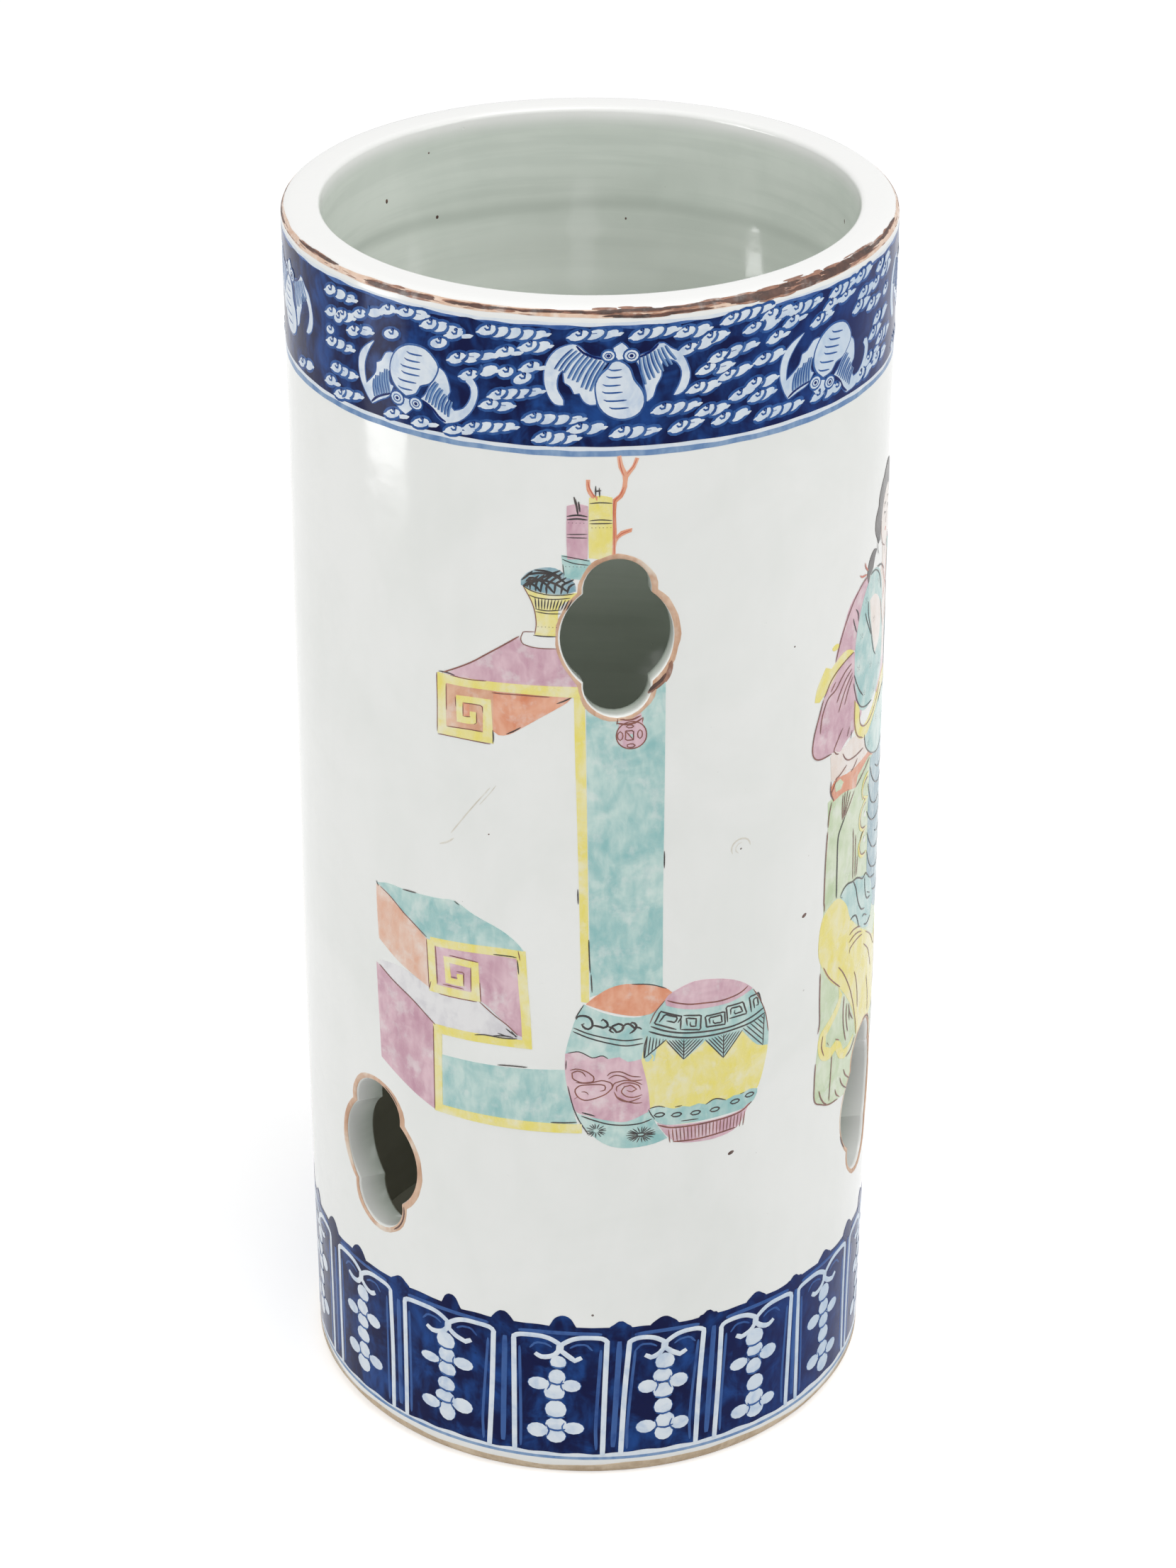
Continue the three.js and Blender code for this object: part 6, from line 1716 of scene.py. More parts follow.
def make_robed_figure():
    """A standing figure in layered robes; what the photograph hides is carried on in the same manner."""
    make_picture("robed_figure", "enamel_robed_figure", "green", [
        ("green", "58,159 64,160 78,161 92,161 100,159 104.4,152 106,138 105.6,120 106.6,104 106.2,95 104,88"
                  " 97,83.6 90,82 80,80.6 73,80.2 70,80.2 66,80.6 62,81.2 59,83 56.5,84.6 56,90 56.5,96 57.4,104"
                  " 57,118 57.5,133 57.7,145 58.3,153"),
        ("blue", "79,160 78.4,150 78.8,140 79.3,131 82,127 86,120 91,117 95.4,121 97.4,132 98,145 97,160"),
        ("turquoise", "64,133.6 66,134.8 70,134.3 74,133.2 78,131.7 83,128 86,122 82,116.5 77,119 74.5,121 72,123"
                      " 69.5,125 67,128.5"),
        ("yellow", "57.5,131.5 60,133 63,133.4 65.4,131.8 67.4,129.4 69,125.8 71,123.6 74,120.7 80,116.7 85,113.2"
                   " 90,110 96,112 101,108 103,99 101,92.4 92,91.6 80,92.6 75,92.6 73.8,97 72,101 68,106.6 65,110"
                   " 61,113.6 58,118 56.2,122 56.2,127"),
        ("yellow", "64.6,110.4 65,107.6 62.8,105 60.2,103.4 57.4,101.4 57,97.6 58.6,94.6 61.6,93.6 64,94.6 66,91.4"
                   " 68.6,90 72,91.6 73.4,93.6 70.4,92.4 67.8,92.6 66.4,95.4 64.4,97 62,96.2 59.8,97.6 59.8,100.4"
                   " 62.4,102.4 65.4,105 66.4,107.8"),
        ("mauve", "73.5,205.8 70,205 65,202.5 62,198 60,194 59.3,191.5 66,191.5 70,190 76,190 78,200"),
        ("mauve", "67,190.7 62,190.2 59,188 56,185 54,181 52.3,176 52.2,172.5 54,170.8 59,170.5 62,169.3 65,171"
                  " 67.5,171.5 72,174 72,184 70,190"),
        ("mauve", "82,192 92,193 96,186 97,178 95,171 86,171 81,177"),
        ("pale", "58.5,169.7 59,164 61,163 66,163.4 70,161.8 76,162 79,165 73,168.2 68,170.3 62,169.5 60,170.6"),
        ("orange",
         "59,162 60,158.4 64,158.8 70,157.3 71,159.8 78,161.2 80.6,160 80.6,162.6 72,162.6 66,162.6 61,163.8"),
        ("green", "60.4,162.6 62.6,162.8 64,161.4 62.8,160.2 60.8,160.4"),
        ("pale", "84,209.5 90,209 91.4,204.8 93.4,202.4 92.6,190 90,180 86,180 83.4,192 82.4,201 84.6,204"),
        ("mauve", "95,206 99,205.2 103,202.4 105,198 100,190 94,190 92,198"),
        ("turquoise", "74,168.4 75,165 78,162 82,159.8 88,158.4 94,160 98,164 96,170 90,172.4 84,171 78,168.4"),
        ("yellow", "68,179 68.3,173 70,169.5 73,167.7 76,167.8 80,169.8 85,172 91,173 97,171.4 99,173.4 93,176"
                   " 87,176 82,173.6 76,170.8 73,170.6 71,172.2 70.6,176"),
        ("turquoise", "73.5,203.6 76,205.2 79,205.2 82,203.6 84.4,200 86,193 87,184 86,178 83,176 78,174.6"
                      " 74,174.2 71,175.5 69.8,178 68,183 67.5,187 67.7,192 69,197 71,201"),
        ("turquoise", "93,205 97,205.6 101,202.6 104.6,197 107,190 107.8,182 106.4,174 102.6,168.6 97.4,167.4"
                      " 94,171 93,179 92.6,190"),
        ("pale", "75,199.4 78,199.6 82,197 84.2,193 83.4,187.4 79.6,185 77.4,190 75.8,195"),
        ("yellow", "66.8,191.3 64,192.6 61,192.2 58,190.6 56,191.6 54.4,189.6 53,187.4 52.5,184.8 54,184.3"
                   " 56.5,186 59,188 62,190 67,190.7"),
        ("yellow", oval(59.4, 195, 1.3, 0.7)),
        ("pale", "82.2,216.4 82.3,212.6 83.6,209.6 86,207.5 88.3,206.9 90.8,207.6 93,209.8 94,212.8 94,216.6"
                 " 92.6,220.4 88,222 84,220.4"),
        ("hair", "77.3,214.6 78,217.4 79.6,219 79.9,220.6 81.5,222.6 84,224 87,225.6 90,225.8 93,224.6 94.8,221.8"
                 " 95,218.6 94.2,216.4 93.2,218.4 91,219.9 88,220.3 85.2,219.3 83.2,217 82.2,213.8 81.6,210.6"
                 " 80.2,210.2 79,211.8"),
        ("hair", "73.3,207.4 74.5,209.3 77,210.3 79.2,209.5 77.6,208.2 76.6,206.2 75,205.6 73.8,203.8 73,205.2"),
        ("red", oval(87.6, 210.5, 0.85, 0.42)),
    ], [
        ("black", 0.15, "66.2,198.9 67,197 68,195|67.4,200.6 68.6,199 68.7,197.2|74,199.6 74.2,197 75,194.6"
                        " 76.4,191.6 77.4,188.6 78.6,186.2 80.2,184.4|72.4,197.6 73.4,195.4 75,193 76.4,190.8"
                        "|67.4,185.3 68.6,183 70.2,180.6 72.4,178.3|67.3,183.4 68.3,180.4 69.6,178 71.5,176"
                        " 74.6,174.8 78.4,174.5|75,205.3 78,205.1 81,203.4 82.6,201.2 83.8,198.2"
                        "|80,205 84,203.8 87,201.4|66.6,170.6 67.2,172.4|74,168.2 75,165 77.6,162.4 81,160.4"
                        " 86,158.8 92,159.4|84.4,171 88,172.4 92,172"),
        ("black", 0.14, "95.6,205.4 99,200 100.6,192 100.4,184|104,196 101.8,189 101.6,180 103,173|97.6,167.6"
                        " 99.4,172 99.6,178|106,176 103.6,171 101,168.8|92.8,190 93.4,180 94.4,171.6"),
        ("brown", 0.15, "59.4,191.7 61,195.6 63.4,199.6 66.4,202.9 70,205 73.2,205.8|66,188.6 63.6,187.9"
                        " 61.6,186.6 59.6,185 57.4,184.3 56.4,183.4 55,180.4 54.5,176.8|66.2,187.3 63.6,185.8"
                        " 61.6,183.8 60.2,181.8"
                        "|66.5,186.2 64,184 62.2,181.4 61,179.2|66.8,185.2 65,183 63.4,180|63,174.8 61,172.6"
                        " 59.6,170.8 60.6,169.6 61.6,169.2|66,173.8 65,171.8|67,190.9 63.6,190.4 60,189.2"
                        " 57.6,187.6 56,185.4 55.4,184.8"
                        "|55.4,184.6 54,181 52.4,176.4 52.3,172.6 54.2,170.8 58.8,170.4|59.6,187 57.8,185.2"),
        ("brown", 0.16, "63.3,168.5 64.4,166.9 66,165.8 69,165.3 73.6,165.2|60.5,163.5 62.6,163.9 65.2,165"
                        "|67.4,162.4 68.8,163 70.4,164.2|68.2,179 68.4,173.4 70,169.8 73,167.9|70.8,175"
                        " 71.1,172.6 72.6,170.9 75,170.2 78,170.6 82,172.4 86,175.2"
                        "|59,163.8 58.9,161 60.2,158.6|58.9,160.6 61.2,163.4|59.4,158.6 58.6,156 58.2,153|70,157.4"
                        " 78.4,160.6"),
        ("brown", 0.15, "64,152.2 63.8,155 64,158.4|64.3,152.4 64.9,158.6|64.6,152.6 66.2,158.7|64.9,152.7"
                        " 67.4,157.7|65.2,152.6 69.3,156.9|57.8,134.6 57.7,132.6|58.2,152 57.7,145 57.5,134"
                        "|56.9,117.6 57,110 57.2,104.6 56.6,102.4|62.6,94 62.4,90 62,82.4|56.2,95 56,90 56.4,85"
                        " 59,83 62,81.5 66,80.8"),
        ("black", 0.2, "65.2,152.6 63.3,150.4 62.4,148.6 62.3,142 62.4,133.8"),
        ("brown", 0.15, "69.4,147.6 69.7,143 69.8,138 69.9,134.8|70.8,145.4 71,140 71.1,134.8|72.2,139.6 72,134.8"
                        "|58,118.6 60,115.4 62.6,112.6 65.2,110.2|64.2,115.7 66.4,113.2 68.8,109.6 71,105.6"
                        " 73,100.6 74.6,95.6 75,92.8"
                        "|72.5,110.3 73.8,107.6 74.8,104 75.3,99.6|69,121.3 71,121.5 73.4,121 75.6,120.1|69,119.4"
                        " 71.4,119.8 74,119.4 76.4,118.4|69.3,116.5 69.6,117.6 71.6,118 74.4,117.9 77,117.3"
                        "|80,116.4 85,112.8 90,107.6|78.6,114 83,110 86.4,104|82,104 84,98 84.4,93.4|92,110.4"
                        " 94.4,103 94,94|98.4,108 99.6,101 98.6,93.6"),
        ("brown", 0.17, "67.5,106.6 67.2,103 67.6,99 69,94.4|69,104 68.8,101 69.4,98 70,96.2|70,103.4 70.6,101"
                        " 72.6,98|70.2,101.4 70.6,98.8|60.4,98.4 61,97.4|64,97.4 65.6,96.4|58.6,101 58.2,98.4"
                        " 59.2,95.6"
                        "|57.8,87.2 58.6,85 60,82.9 61,82.2|64.6,84 65.4,82.2 66.8,81|66.7,86 67.4,84.4 68.6,82.8"
                        " 70.2,81.4|68.5,87.2 69.4,85.4 71.6,83.2|69.5,89.9 72,90.4 74.6,92.6"),
        ("black", 0.19, "64.1,133.4 65.4,134.5 67.4,134.9 70,134.2 72,134 74,133.1 76,131.9 78.4,132 79.8,130.8"
                        "|70.4,134 72,131.4 73.2,128 74.6,125.6 76,124.2 78,123.4|77.6,131.4 78,128.4 79,126"
                        " 80.4,124.6 83,123.9"
                        "|69.3,124.9 70.8,125.1 72.4,124.5 73.4,123 74.4,120.8|64.2,133.2 64.9,132.7|80,120.6"
                        " 78,121.8 76.6,122|84,118.4 80.4,118.2 78.2,119.2"),
        ("black", 0.15, "77.8,154.6 79.4,151 81.2,148.4 84,146.6 87,145.6 92,145.4|79,158 81,154.6 84.4,151.6"
                        " 89,149.6 95.6,149|77.5,147.8 79.6,145.2 82.4,143.2 86,142 91,141.2 97.6,141.6"
                        "|78.2,142.2 80.4,139 83.4,136 88,133.8 93,133.2 97.4,134"
                        "|78.4,137.6 80,134.6 82,132 84.4,130.4 89,128.4 93,128 97,129|79.6,131.2 81.4,129.4"
                        " 84,128 88,126.6|84,156 88,153.6 93,153 97.4,153.6|86,138.6 90,136.8 95,136.8|85,124.4"
                        " 89,122.4 92.4,122 95.6,123.4|80,126.4 82.6,124.8"),
        ("black", 0.15, "101,158.4 103.6,150 104.6,140 104.4,128 105.2,112 105.8,98 103.8,88.6|99.6,152 101.6,144"
                        " 102,134|99,130 101.2,120 101.8,112|96.6,84 98,88.4 97.8,91.6|101,85.8 102.8,90 103,95"
                        "|90,82.4 92.4,86 93,90.8"),
        ("red", 0.2, "69,207.6 70,206.9 71.2,206.6 72.6,206.4|71.5,209.5 71.9,208.4 73.2,207"),
        ("black", 0.11, sum((dot_flower(u, z) for u, z in (
            (72.8, 200.4), (81, 201.2), (70.6, 193), (78, 193.8), (69.4, 186), (76.6, 183.6), (72.8, 178.6),
                (79.4, 176.4), (76.6, 164.8),
            (83.4, 180.4), (82.4, 168.2), (89, 165.4), (94.4, 163.6), (96.4, 200), (99.6, 196.4), (103, 188.4),
                (97, 188), (104.6, 180.4), (97, 178.6), (101, 173.4))), [])),
        ("hair", 0.13, "84.7,216.6 85.6,217.1 86.9,217|89.2,217 90.5,217.1 91.4,216.6|84.8,214.7 85.7,215.1"
                       " 86.9,214.6|89.3,214.6 90.5,215.1 91.4,214.7|79.8,211.8 79.6,209.6 80.6,207.6"),
        ("hair", 0.2, "85.8,214.8 86.1,214.8|90.2,214.8 90.5,214.8"),
        ("brown", 0.09, "87.9,214.6 87.6,212.9 87.2,212.2 88,211.8|82.2,214.6 82.3,211.8 83.6,209.2 86,207.3"
                        " 88.3,206.7 90.8,207.4 93,209.6 94,212.8|86.9,207 86.6,205|90.4,207.2 91.2,204.8"),
        ("red", 0.12, "84.6,204 87,200 90.4,196.4|91.4,204.8 89.4,199.4 86.4,194.6|83.6,196 87,188|92.6,196 90,188"),
        ("brown", 0.16, "76.4,150.6 74.6,150.2 73.4,148.6 73.5,146.4 74.8,145 76.6,144.6|76.6,144.2 74.6,143.6"
                        " 73.4,142 73.6,139.8 75,138.4 77.4,137.8|77.6,156.4 75.4,156 74.2,154.6 74.4,152.8"
                        " 76,151.6"),
        ("yellow", 0.42, "78,151.4 75.2,150.8 73,148.6 73.2,146 75.2,144.4 77.6,144.2|77.6,144 74.6,143.2"
                         " 72.8,141.2 73.4,139.2 75.4,137.8 77.8,137.9|78,157.4 75,156.4 74,154.6 74.6,152.4"
                         " 77,151.6"),
        ("white", 0.95, "76.3,148.6 76.4,147|76.4,142.2 76.6,140.8"),
    ])


def mirrored(middle, half):
    """An even outline from its right half, written from bottom to top as distances from its middle."""
    half = places(half)
    return [(middle + x, z) for x, z in np.vstack([half, (half * (-1, 1))[::-1]]) if abs(x) > 0.001]


def peony(u, z, radius, count=9, lean=0.0):
    """A full bloom seen from the front: three rings of petals."""
    rings = []
    for share, petals in ((1.0, count), (0.68, count - 2), (0.36, count - 4)):
        ring = []
        for t in np.linspace(0, TAU, petals * 6, endpoint=False):
            notch = 1 - PETAL_DEPTH + PETAL_DEPTH * 2 * abs(math.sin(petals * t / 2))
            ring.append((u + radius * share * notch * math.cos(t + lean),
                         z + radius * share * 0.88 * notch * math.sin(t + lean)))
        rings.append(ring)
        lean += 0.5
    return rings


def leaf(u, z, length, width, turn):
    """A pointed leaf from its stalk, and its middle vein with side veins."""
    c, s = math.cos(math.radians(turn)), math.sin(math.radians(turn))
    shape = [(0, 0), (0.2, 0.36), (0.5, 0.5), (0.8, 0.28), (1, 0), (0.8, -0.28), (0.5, -0.5), (0.2, -0.36)]
    veins = [((0.02, 0), (0.5, 0.03), (0.94, 0))] + [((k, 0), (k + 0.16, side * 0.3)) for k in (0.22, 0.42, 0.6)
        for side in (-1, 1)]
    put_down = lambda x, y: (u + x * length * c - y * width * s, z + x * length * s + y * width * c)
    return [put_down(*p) for p in shape], [[put_down(*p) for p in vein] for vein in veins]


def make_flower_vase():
    """Behind, under its window: peonies in a vase on a carved stand."""
    middle = 147.1
    blooms = [("mauve", "pale", peony(134.2, 142.4, 8.6, 9)),
              ("orange", "pale", peony(147.6, 155.4, 10.4, 11, lean=0.3)),
              ("yellow", "pale", peony(161.4, 144.4, 8.2, 9, lean=0.8)),
              ("orange", "pale", peony(146.8, 135.2, 6.6, 7))]
    leaves = [leaf(*at)
              for at in ((139, 131, 12, 6, 160), (154, 129, 13, 6, 28), (141, 150, 13, 6, 118),
                         (154, 152, 14, 6, 62),
                                   (128, 148, 10, 5, 120), (167, 149, 10, 5, 70), (134, 134, 9, 4.6, 205),
                         (160, 135, 9, 4.6, -20),
                                   (143, 126, 10, 5, 75), (151, 126, 10, 5, 110), (139.4, 164, 8, 4.4, 140),
                         (155.6, 164.6, 8, 4.4, 40))]
    fills = [("yellow", mirrored(middle, "12.6,56.2 12.9,58.4 11.4,62 13.8,66.6 14.4,70.4 12.6,73.6 12.4,75.2 0,75.4")),
             ("white", mirrored(middle, "8.8,55.4 9.2,60.4 7.4,64.4 3.2,66.4 0,65.4")),
             ("orange", mirrored(middle, "11.4,75 12.8,76.4 12.6,78.2 10.2,79.4 0,79.6"))]
    fills += [("green", outline) for outline, _ in leaves]
    fills += [("mauve", mirrored(middle, "6,79.4 6.6,81.2 9,84.4 12.2,90 13.9,97 13.4,104 10.4,110.6 7,115 5.5,118"
                                         " 5.8,121 7.4,124 7.6,126 0,126.4")),
              ("turquoise", mirrored(middle, "10.3,110.8 7.2,114.8 0,115.4")),
              ("turquoise", mirrored(middle, "8.6,84 10.8,87.4 0,88.8")),
              ("white", oval(middle, 99.4, 8.4, 8.0, 20)), ("yellow", mirrored(middle, "5.9,121 6.9,123.2 0,123.6"))]
    for colour, inner, (outer_ring, middle_ring, inner_ring) in blooms:
        fills += [(colour, outer_ring), (inner, middle_ring), (colour, inner_ring)]
    fills += [("orange", oval(140.2, 170.6, 2.5, 3.2)), ("mauve", oval(157, 171, 2.4, 3.1)),
              ("mauve", oval(144.4, 101.6, 2.2, 2.0)), ("mauve", oval(150.6, 97.4, 1.9, 1.8))]
    petals = [ring[k:k + 6] + [ring[(k + 6) % len(ring)]]
              for _, _, rings in blooms for ring in rings for k in range(0, len(ring), 6)]
    seams = [[(u + (ring[k][0] - u) * share, z + (ring[k][1] - z) * share) for share in (0.74, 0.99)]
             for (_, _, rings) in blooms for ring in rings[:2] for u,
             z in [np.mean(ring, axis=0)] for k in range(0, len(ring), 6)]
    make_picture("flower_vase", "enamel_rear_flower_vase", "mauve", fills, [
        ("brown", 0.13, petals), ("red", 0.09, seams), ("black", 0.1, [vein for _, veins in leaves for vein in veins]),
        ("black", 0.12, [outline + outline[:1] for outline, _ in leaves]),
        ("brown", 0.2, "147,126 147.2,130|143.6,126 141.6,132|150.6,126 153.4,131 158,137|141,163.6 140.4,168"
                       "|156,163 157,168.4|138.4,103.6 141.4,101 146,99.6 151,99.4 154.4,102.4|146,99.6"
                       " 148.4,96.4|141.4,101 142,97.6"),
        ("black", 0.15, [mirrored(middle, line) for line in (
            "5.9,79.6 6.6,81.2 9,84.4 12.2,90 13.9,97 13.4,104 10.4,110.6 7,115 5.5,118 5.8,121 7.4,124 7.6,126",
                "10.6,87.4 5,88.4 0.2,88.8", "8.8,84.4 4,85.2 0.2,85.4",
            "10.2,111 5,111.2 0.2,111.4", "7.2,114.8 4,115.2 0.2,115.3", "5.6,118.4 0.2,118.6", "12.4,75.2 0.2,75.4",
                "12.6,78 0.2,78.2")]),
        ("brown", 0.16, [mirrored(middle, line) for line in (
            "12.6,56.4 12.9,58.4 11.4,62 13.8,66.6 14.4,70.4 12.6,73.6",
                "8.8,56.2 9.2,60.4 7.4,64.4 3.2,66.4 0.2,65.4", "12.6,70.6 9.8,72.4 6.8,71 4.6,69.2 2,70.6 0.2,72.4",
                "10.8,59.2 11.2,61.4 10.2,63.4 11.6,67")]),
        ("black", 0.13, [spiral(middle + k * 3.6 - 1.5, 112.0, 2.9, 2.5) for k in (-2, -1, 0, 1)]
                        + [[(middle + x, 85.6), (middle + x + 0.9, 88.2), (middle + x + 1.8, 85.6)]
                           for x in np.arange(-9, 8, 1.8)]),
    ])


def make_incense_burner():
    """Behind, under its window: a lidded burner on a low table."""
    middle = -125.65
    handle = ((16.6, 134), (18.6, 136), (19, 141), (20.4, 145.4), (18, 147.6), (15.8, 144.8), (15.6, 139))
    leg = ((-13.6, 112), (-10.4, 100.4), (-8, 99.4), (-6.2, 101.4), (-4.4, 110))
    fills = [("mauve", mirrored(middle, "24.6,95.4 25.6,98.8 0,99.6")),
             ("yellow", mirrored(middle, "25.2,92.2 25.4,95.6 0,96")),
             ("yellow", mirrored(middle, "22.8,56.4 23.4,75 24.6,92.8 0,92.6")),
             ("turquoise", mirrored(middle, "18.9,57 19.2,74 18.8,82.4 15,84.6 0,85")),
             ("white", mirrored(middle, "17.6,55.4 17.8,73 16.6,80.6 12,82.8 0,83")),
             ("orange", mirrored(middle, "24.6,86.4 24.8,91 0,91.4")),
             *((colour, [(middle + side * x, z) for x, z in path])
               for colour, path in (("turquoise", handle), ("mauve", leg)) for side in (1, -1)),
             ("turquoise", mirrored(middle, "8,108.4 13.6,110.6 17.2,116.4 18,124 16.4,130.6 14.6,133.8 15.8,137.4"
                                            " 16.2,139.6 0,140")),
             ("mauve", mirrored(middle, "16.4,137.2 16.8,141.4 0,141.8")),
             ("yellow", mirrored(middle, "15.4,141.8 13.6,146.4 9.6,150.4 5,152.4 0,152.8")),
             ("orange", mirrored(middle, "3,152.4 3.8,155.4 2.6,159 0,161.4")),
             ("yellow", oval(middle, 122, 7.4, 7, 20)), ("orange", oval(middle, 122, 4.2, 4.0, 14))]
    lattice = [[(middle + x, 142.8), (middle + x * 0.55 + lean, 150.6)]
               for lean in (1.6, -1.6) for x in np.arange(-12, 13, 3)]
    cloud = ("0.4,162 -2.4,164.4 -2.8,167.4 -0.4,168.8 1.6,167 0.6,165.4"
             "|0.6,168.6 3,170.4 2.4,173.4 -0.4,175 -2.6,173.4 -1.6,171.6")
    make_picture("incense_burner", "enamel_rear_incense_burner", "turquoise", fills, [
        ("black", 0.15, [mirrored(middle, line) for line in (
            "8,108.4 13.6,110.6 17.2,116.4 18,124 16.4,130.6 14.6,133.8 15.8,137.4 16.2,139.6",
                "15,134 8,134.6 0.2,134.8", "15.8,137.2 8,137.6 0.2,137.8", "16.7,141.6 8,142 0.2,142.1",
            "15.4,141.8 13.6,146.4 9.6,150.4 5,152.4 0.2,152.8", "12.6,110.4 6,111.4 0.2,111.6",
                "2.9,152.6 3.7,155.4 2.5,159 0.2,161.2", "1.4,153 1.6,156 0.2,160")]),
        ("brown", 0.17, [mirrored(middle, line) for line in (
            "25.4,98.8 12,99.4 0.2,99.6", "25.2,95.6 12,95.9 0.2,96", "25.2,92.2 12,92.4 0.2,92.4",
                "22.8,56.6 23.4,75 24.6,92", "18.9,57 19.2,74 18.8,82.4 15,84.6 0.2,85",
            "17.6,56 17.8,73 16.6,80.6 12,82.8 0.2,83", "24.4,86.4 12,86.8 0.2,86.9")]),
        ("black", 0.13, [spiral(middle + k * 6.3 - 2.2, 87.6, 4.4, 2.9, 0.0, k < 0) for k in range(-3, 4)] + lattice
                        + [spiral(middle + k * 4.4 - 1.6, 135.0, 3.2, 1.9, 0.0, k < 0) for k in range(-3, 4)]),
        ("brown", 0.16, rays(middle, 122, 14, 4.6, 6.8, 0.95)
         + [oval(middle, 122, 7.4, 7) + [(middle + 7.4, 122)], oval(middle, 122, 4.2, 4) + [(middle + 4.2, 122)]]),
        ("black", 0.17, [[(middle + side * x, z) for x, z in path] for side in (-1, 1) for path in (
            ((9.6, 114.4), (12, 113.8), (13.4, 116), (12.2, 118), (10.4, 117.2), (11, 115.8)),
                ((14.2, 119), (15.6, 122), (14.4, 124.6), (12.4, 123.8), (12.8, 121.6)),
            ((10, 127.4), (12.4, 127), (13.6, 129.4), (11.6, 131.2), (9.8, 130)),
                ((3, 130.6), (6, 131.6), (8.6, 130)), ((3, 113.2), (6, 112.8), (8, 114)))]),
        ("brown", 0.14, [[(middle + side * x, z) for x, z in path] for side in (-1, 1) for path in (
            ((13.2, 111.4), (10.4, 100.8), (8, 99.6), (6.3, 101.6), (4.6, 109.6)), ((8.8, 109), (8.2, 103.6)),
                ((16.6, 134), (18.6, 136), (19, 141), (20.2, 145.4), (18, 147.4), (15.9, 144.8), (15.7, 140)),
            ((17.4, 138), (17.2, 143.6)))]),
        ("red", 0.2, [places(path) + (middle, 0) for path in cloud.split("|")]),
    ])


make_table()
make_things_on_table()
make_back_stool()
make_front_stool()
make_robed_figure()
make_flower_vase()
make_incense_burner()


# Camera, floor and light
def make_camera():
    """The photograph's view: from above, a little to the left of the front window."""
    camera = bpy.data.cameras.new("view")
    camera.lens, camera.sensor_width, camera.sensor_fit = 92.2, 36.0, "AUTO"
    camera.clip_end = 20
    view = bpy.data.objects.new("view", camera)
    turn = -FRONT_OFFSET / OUTER_RADIUS
    away, height, pitch, roll, yaw = 784.5, 564.1, 0.493300, -0.001784, -0.000261
    view.location = (away * math.sin(turn) * MM, -away * math.cos(turn) * MM, height * MM)
    base = Euler((math.pi / 2 - pitch, 0, turn), "XYZ").to_matrix()
    view.rotation_euler = (base @ Matrix.Rotation(-yaw, 3, "Y") @ Matrix.Rotation(-roll, 3, "Z")).to_euler()
    bpy.context.scene.collection.objects.link(view)
    bpy.context.scene.camera = view


def shown_white(tree):
    """One where the camera, a gloss or a clear body sees the surface, so that it shows white there."""
    path = put(tree, "ShaderNodeLightPath").outputs
    return reckon(tree, "MAXIMUM", reckon(tree, "MAXIMUM", path["Is Camera Ray"], path["Is Glossy Ray"]),
                  path["Is Transmission Ray"])


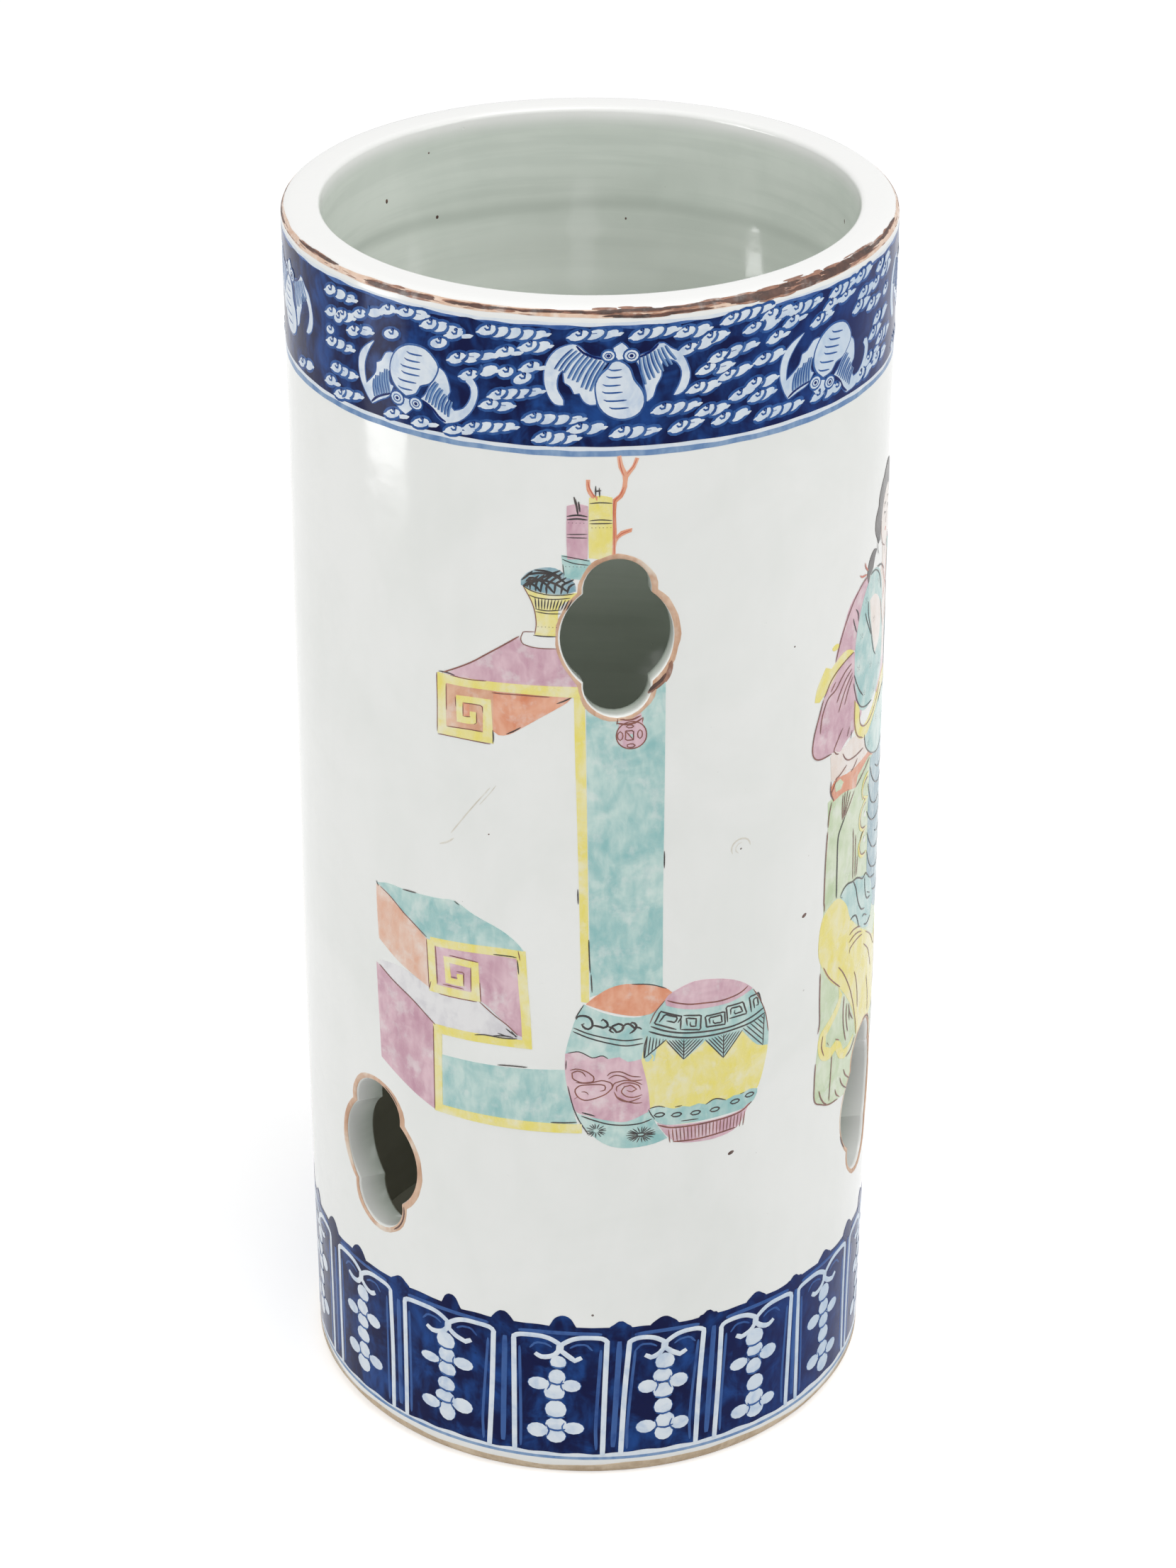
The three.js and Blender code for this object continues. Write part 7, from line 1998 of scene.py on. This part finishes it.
def make_floor():
    """A plain pale floor that shows white to the camera."""
    shape = bmesh.new()
    bmesh.ops.create_grid(shape, x_segments=1, y_segments=1, size=4)
    mesh = bpy.data.meshes.new("studio_floor")
    shape.to_mesh(mesh)
    shape.free()
    floor = bpy.data.objects.new("studio_floor", mesh)
    bpy.context.scene.collection.objects.link(floor)
    material = bpy.data.materials.new("studio_floor")
    material.use_nodes = True
    tree = material.node_tree
    tree.nodes.clear()
    matt = put(tree, "ShaderNodeBsdfDiffuse", {"Color": (0.8, 0.8, 0.8, 1)})
    glow = put(tree, "ShaderNodeEmission", {"Color": (1, 1, 1, 1), "Strength": 0.5})
    none = put(tree, "ShaderNodeEmission", {"Color": (0, 0, 0, 1), "Strength": 0.0})
    pick = put(tree, "ShaderNodeMixShader", {0: shown_white(tree), 1: none.outputs[0], 2: glow.outputs[0]})
    both = put(tree, "ShaderNodeAddShader", {0: matt.outputs[0], 1: pick.outputs[0]})
    tree.links.new(both.outputs[0], put(tree, "ShaderNodeOutputMaterial").inputs["Surface"])
    mesh.materials.append(material)


def make_world():
    """Soft light from all round, and a white background."""
    world = bpy.data.worlds.new("studio")
    world.use_nodes = True
    tree = world.node_tree
    tree.nodes.clear()
    soft = put(tree, "ShaderNodeBackground", {"Color": (1, 1, 1, 1), "Strength": 0.46})
    white = put(tree, "ShaderNodeBackground", {"Color": (1, 1, 1, 1), "Strength": 1.0})
    pick = put(tree, "ShaderNodeMixShader", {0: shown_white(tree), 1: soft.outputs[0], 2: white.outputs[0]})
    tree.links.new(pick.outputs[0], put(tree, "ShaderNodeOutputWorld").inputs["Surface"])
    bpy.context.scene.world = world


def soft_box(name, place, target, size, power, gloss_only=False):
    """A rectangular lamp that faces a target; one for gloss only adds no light to matt surfaces."""
    light = bpy.data.lights.new(name, "AREA")
    light.shape, light.size, light.size_y, light.energy = "RECTANGLE", size[0], size[1], power
    lamp = bpy.data.objects.new(name, light)
    lamp.location, lamp.visible_diffuse = place, not gloss_only
    lamp.rotation_euler = (Vector(target) - Vector(place)).to_track_quat("-Z", "Y").to_euler()
    bpy.context.scene.collection.objects.link(lamp)


make_camera()
make_floor()
make_world()
soft_box("high_box", (0.35, -0.6, 1.7), (0, 0, 0.14), (1.3, 1.3), 13)
soft_box("right_box", (1.5, -0.7, 0.9), (0, 0, 0.14), (0.7, 1.3), 4.8)
soft_box("left_box", (-1.5, -0.5, 0.6), (0, 0, 0.14), (0.5, 1.2), 6.8)
soft_box("low_box", (-0.6, -0.07, 0.05), (0, 0, 0.2), (0.2, 0.25), 0.75, gloss_only=True)
soft_box("pane_box", (-0.6, -0.07, 0.368), (0, 0, 0.2), (0.2, 0.165), 0.5, gloss_only=True)
bpy.context.scene.view_settings.view_transform = "Standard"
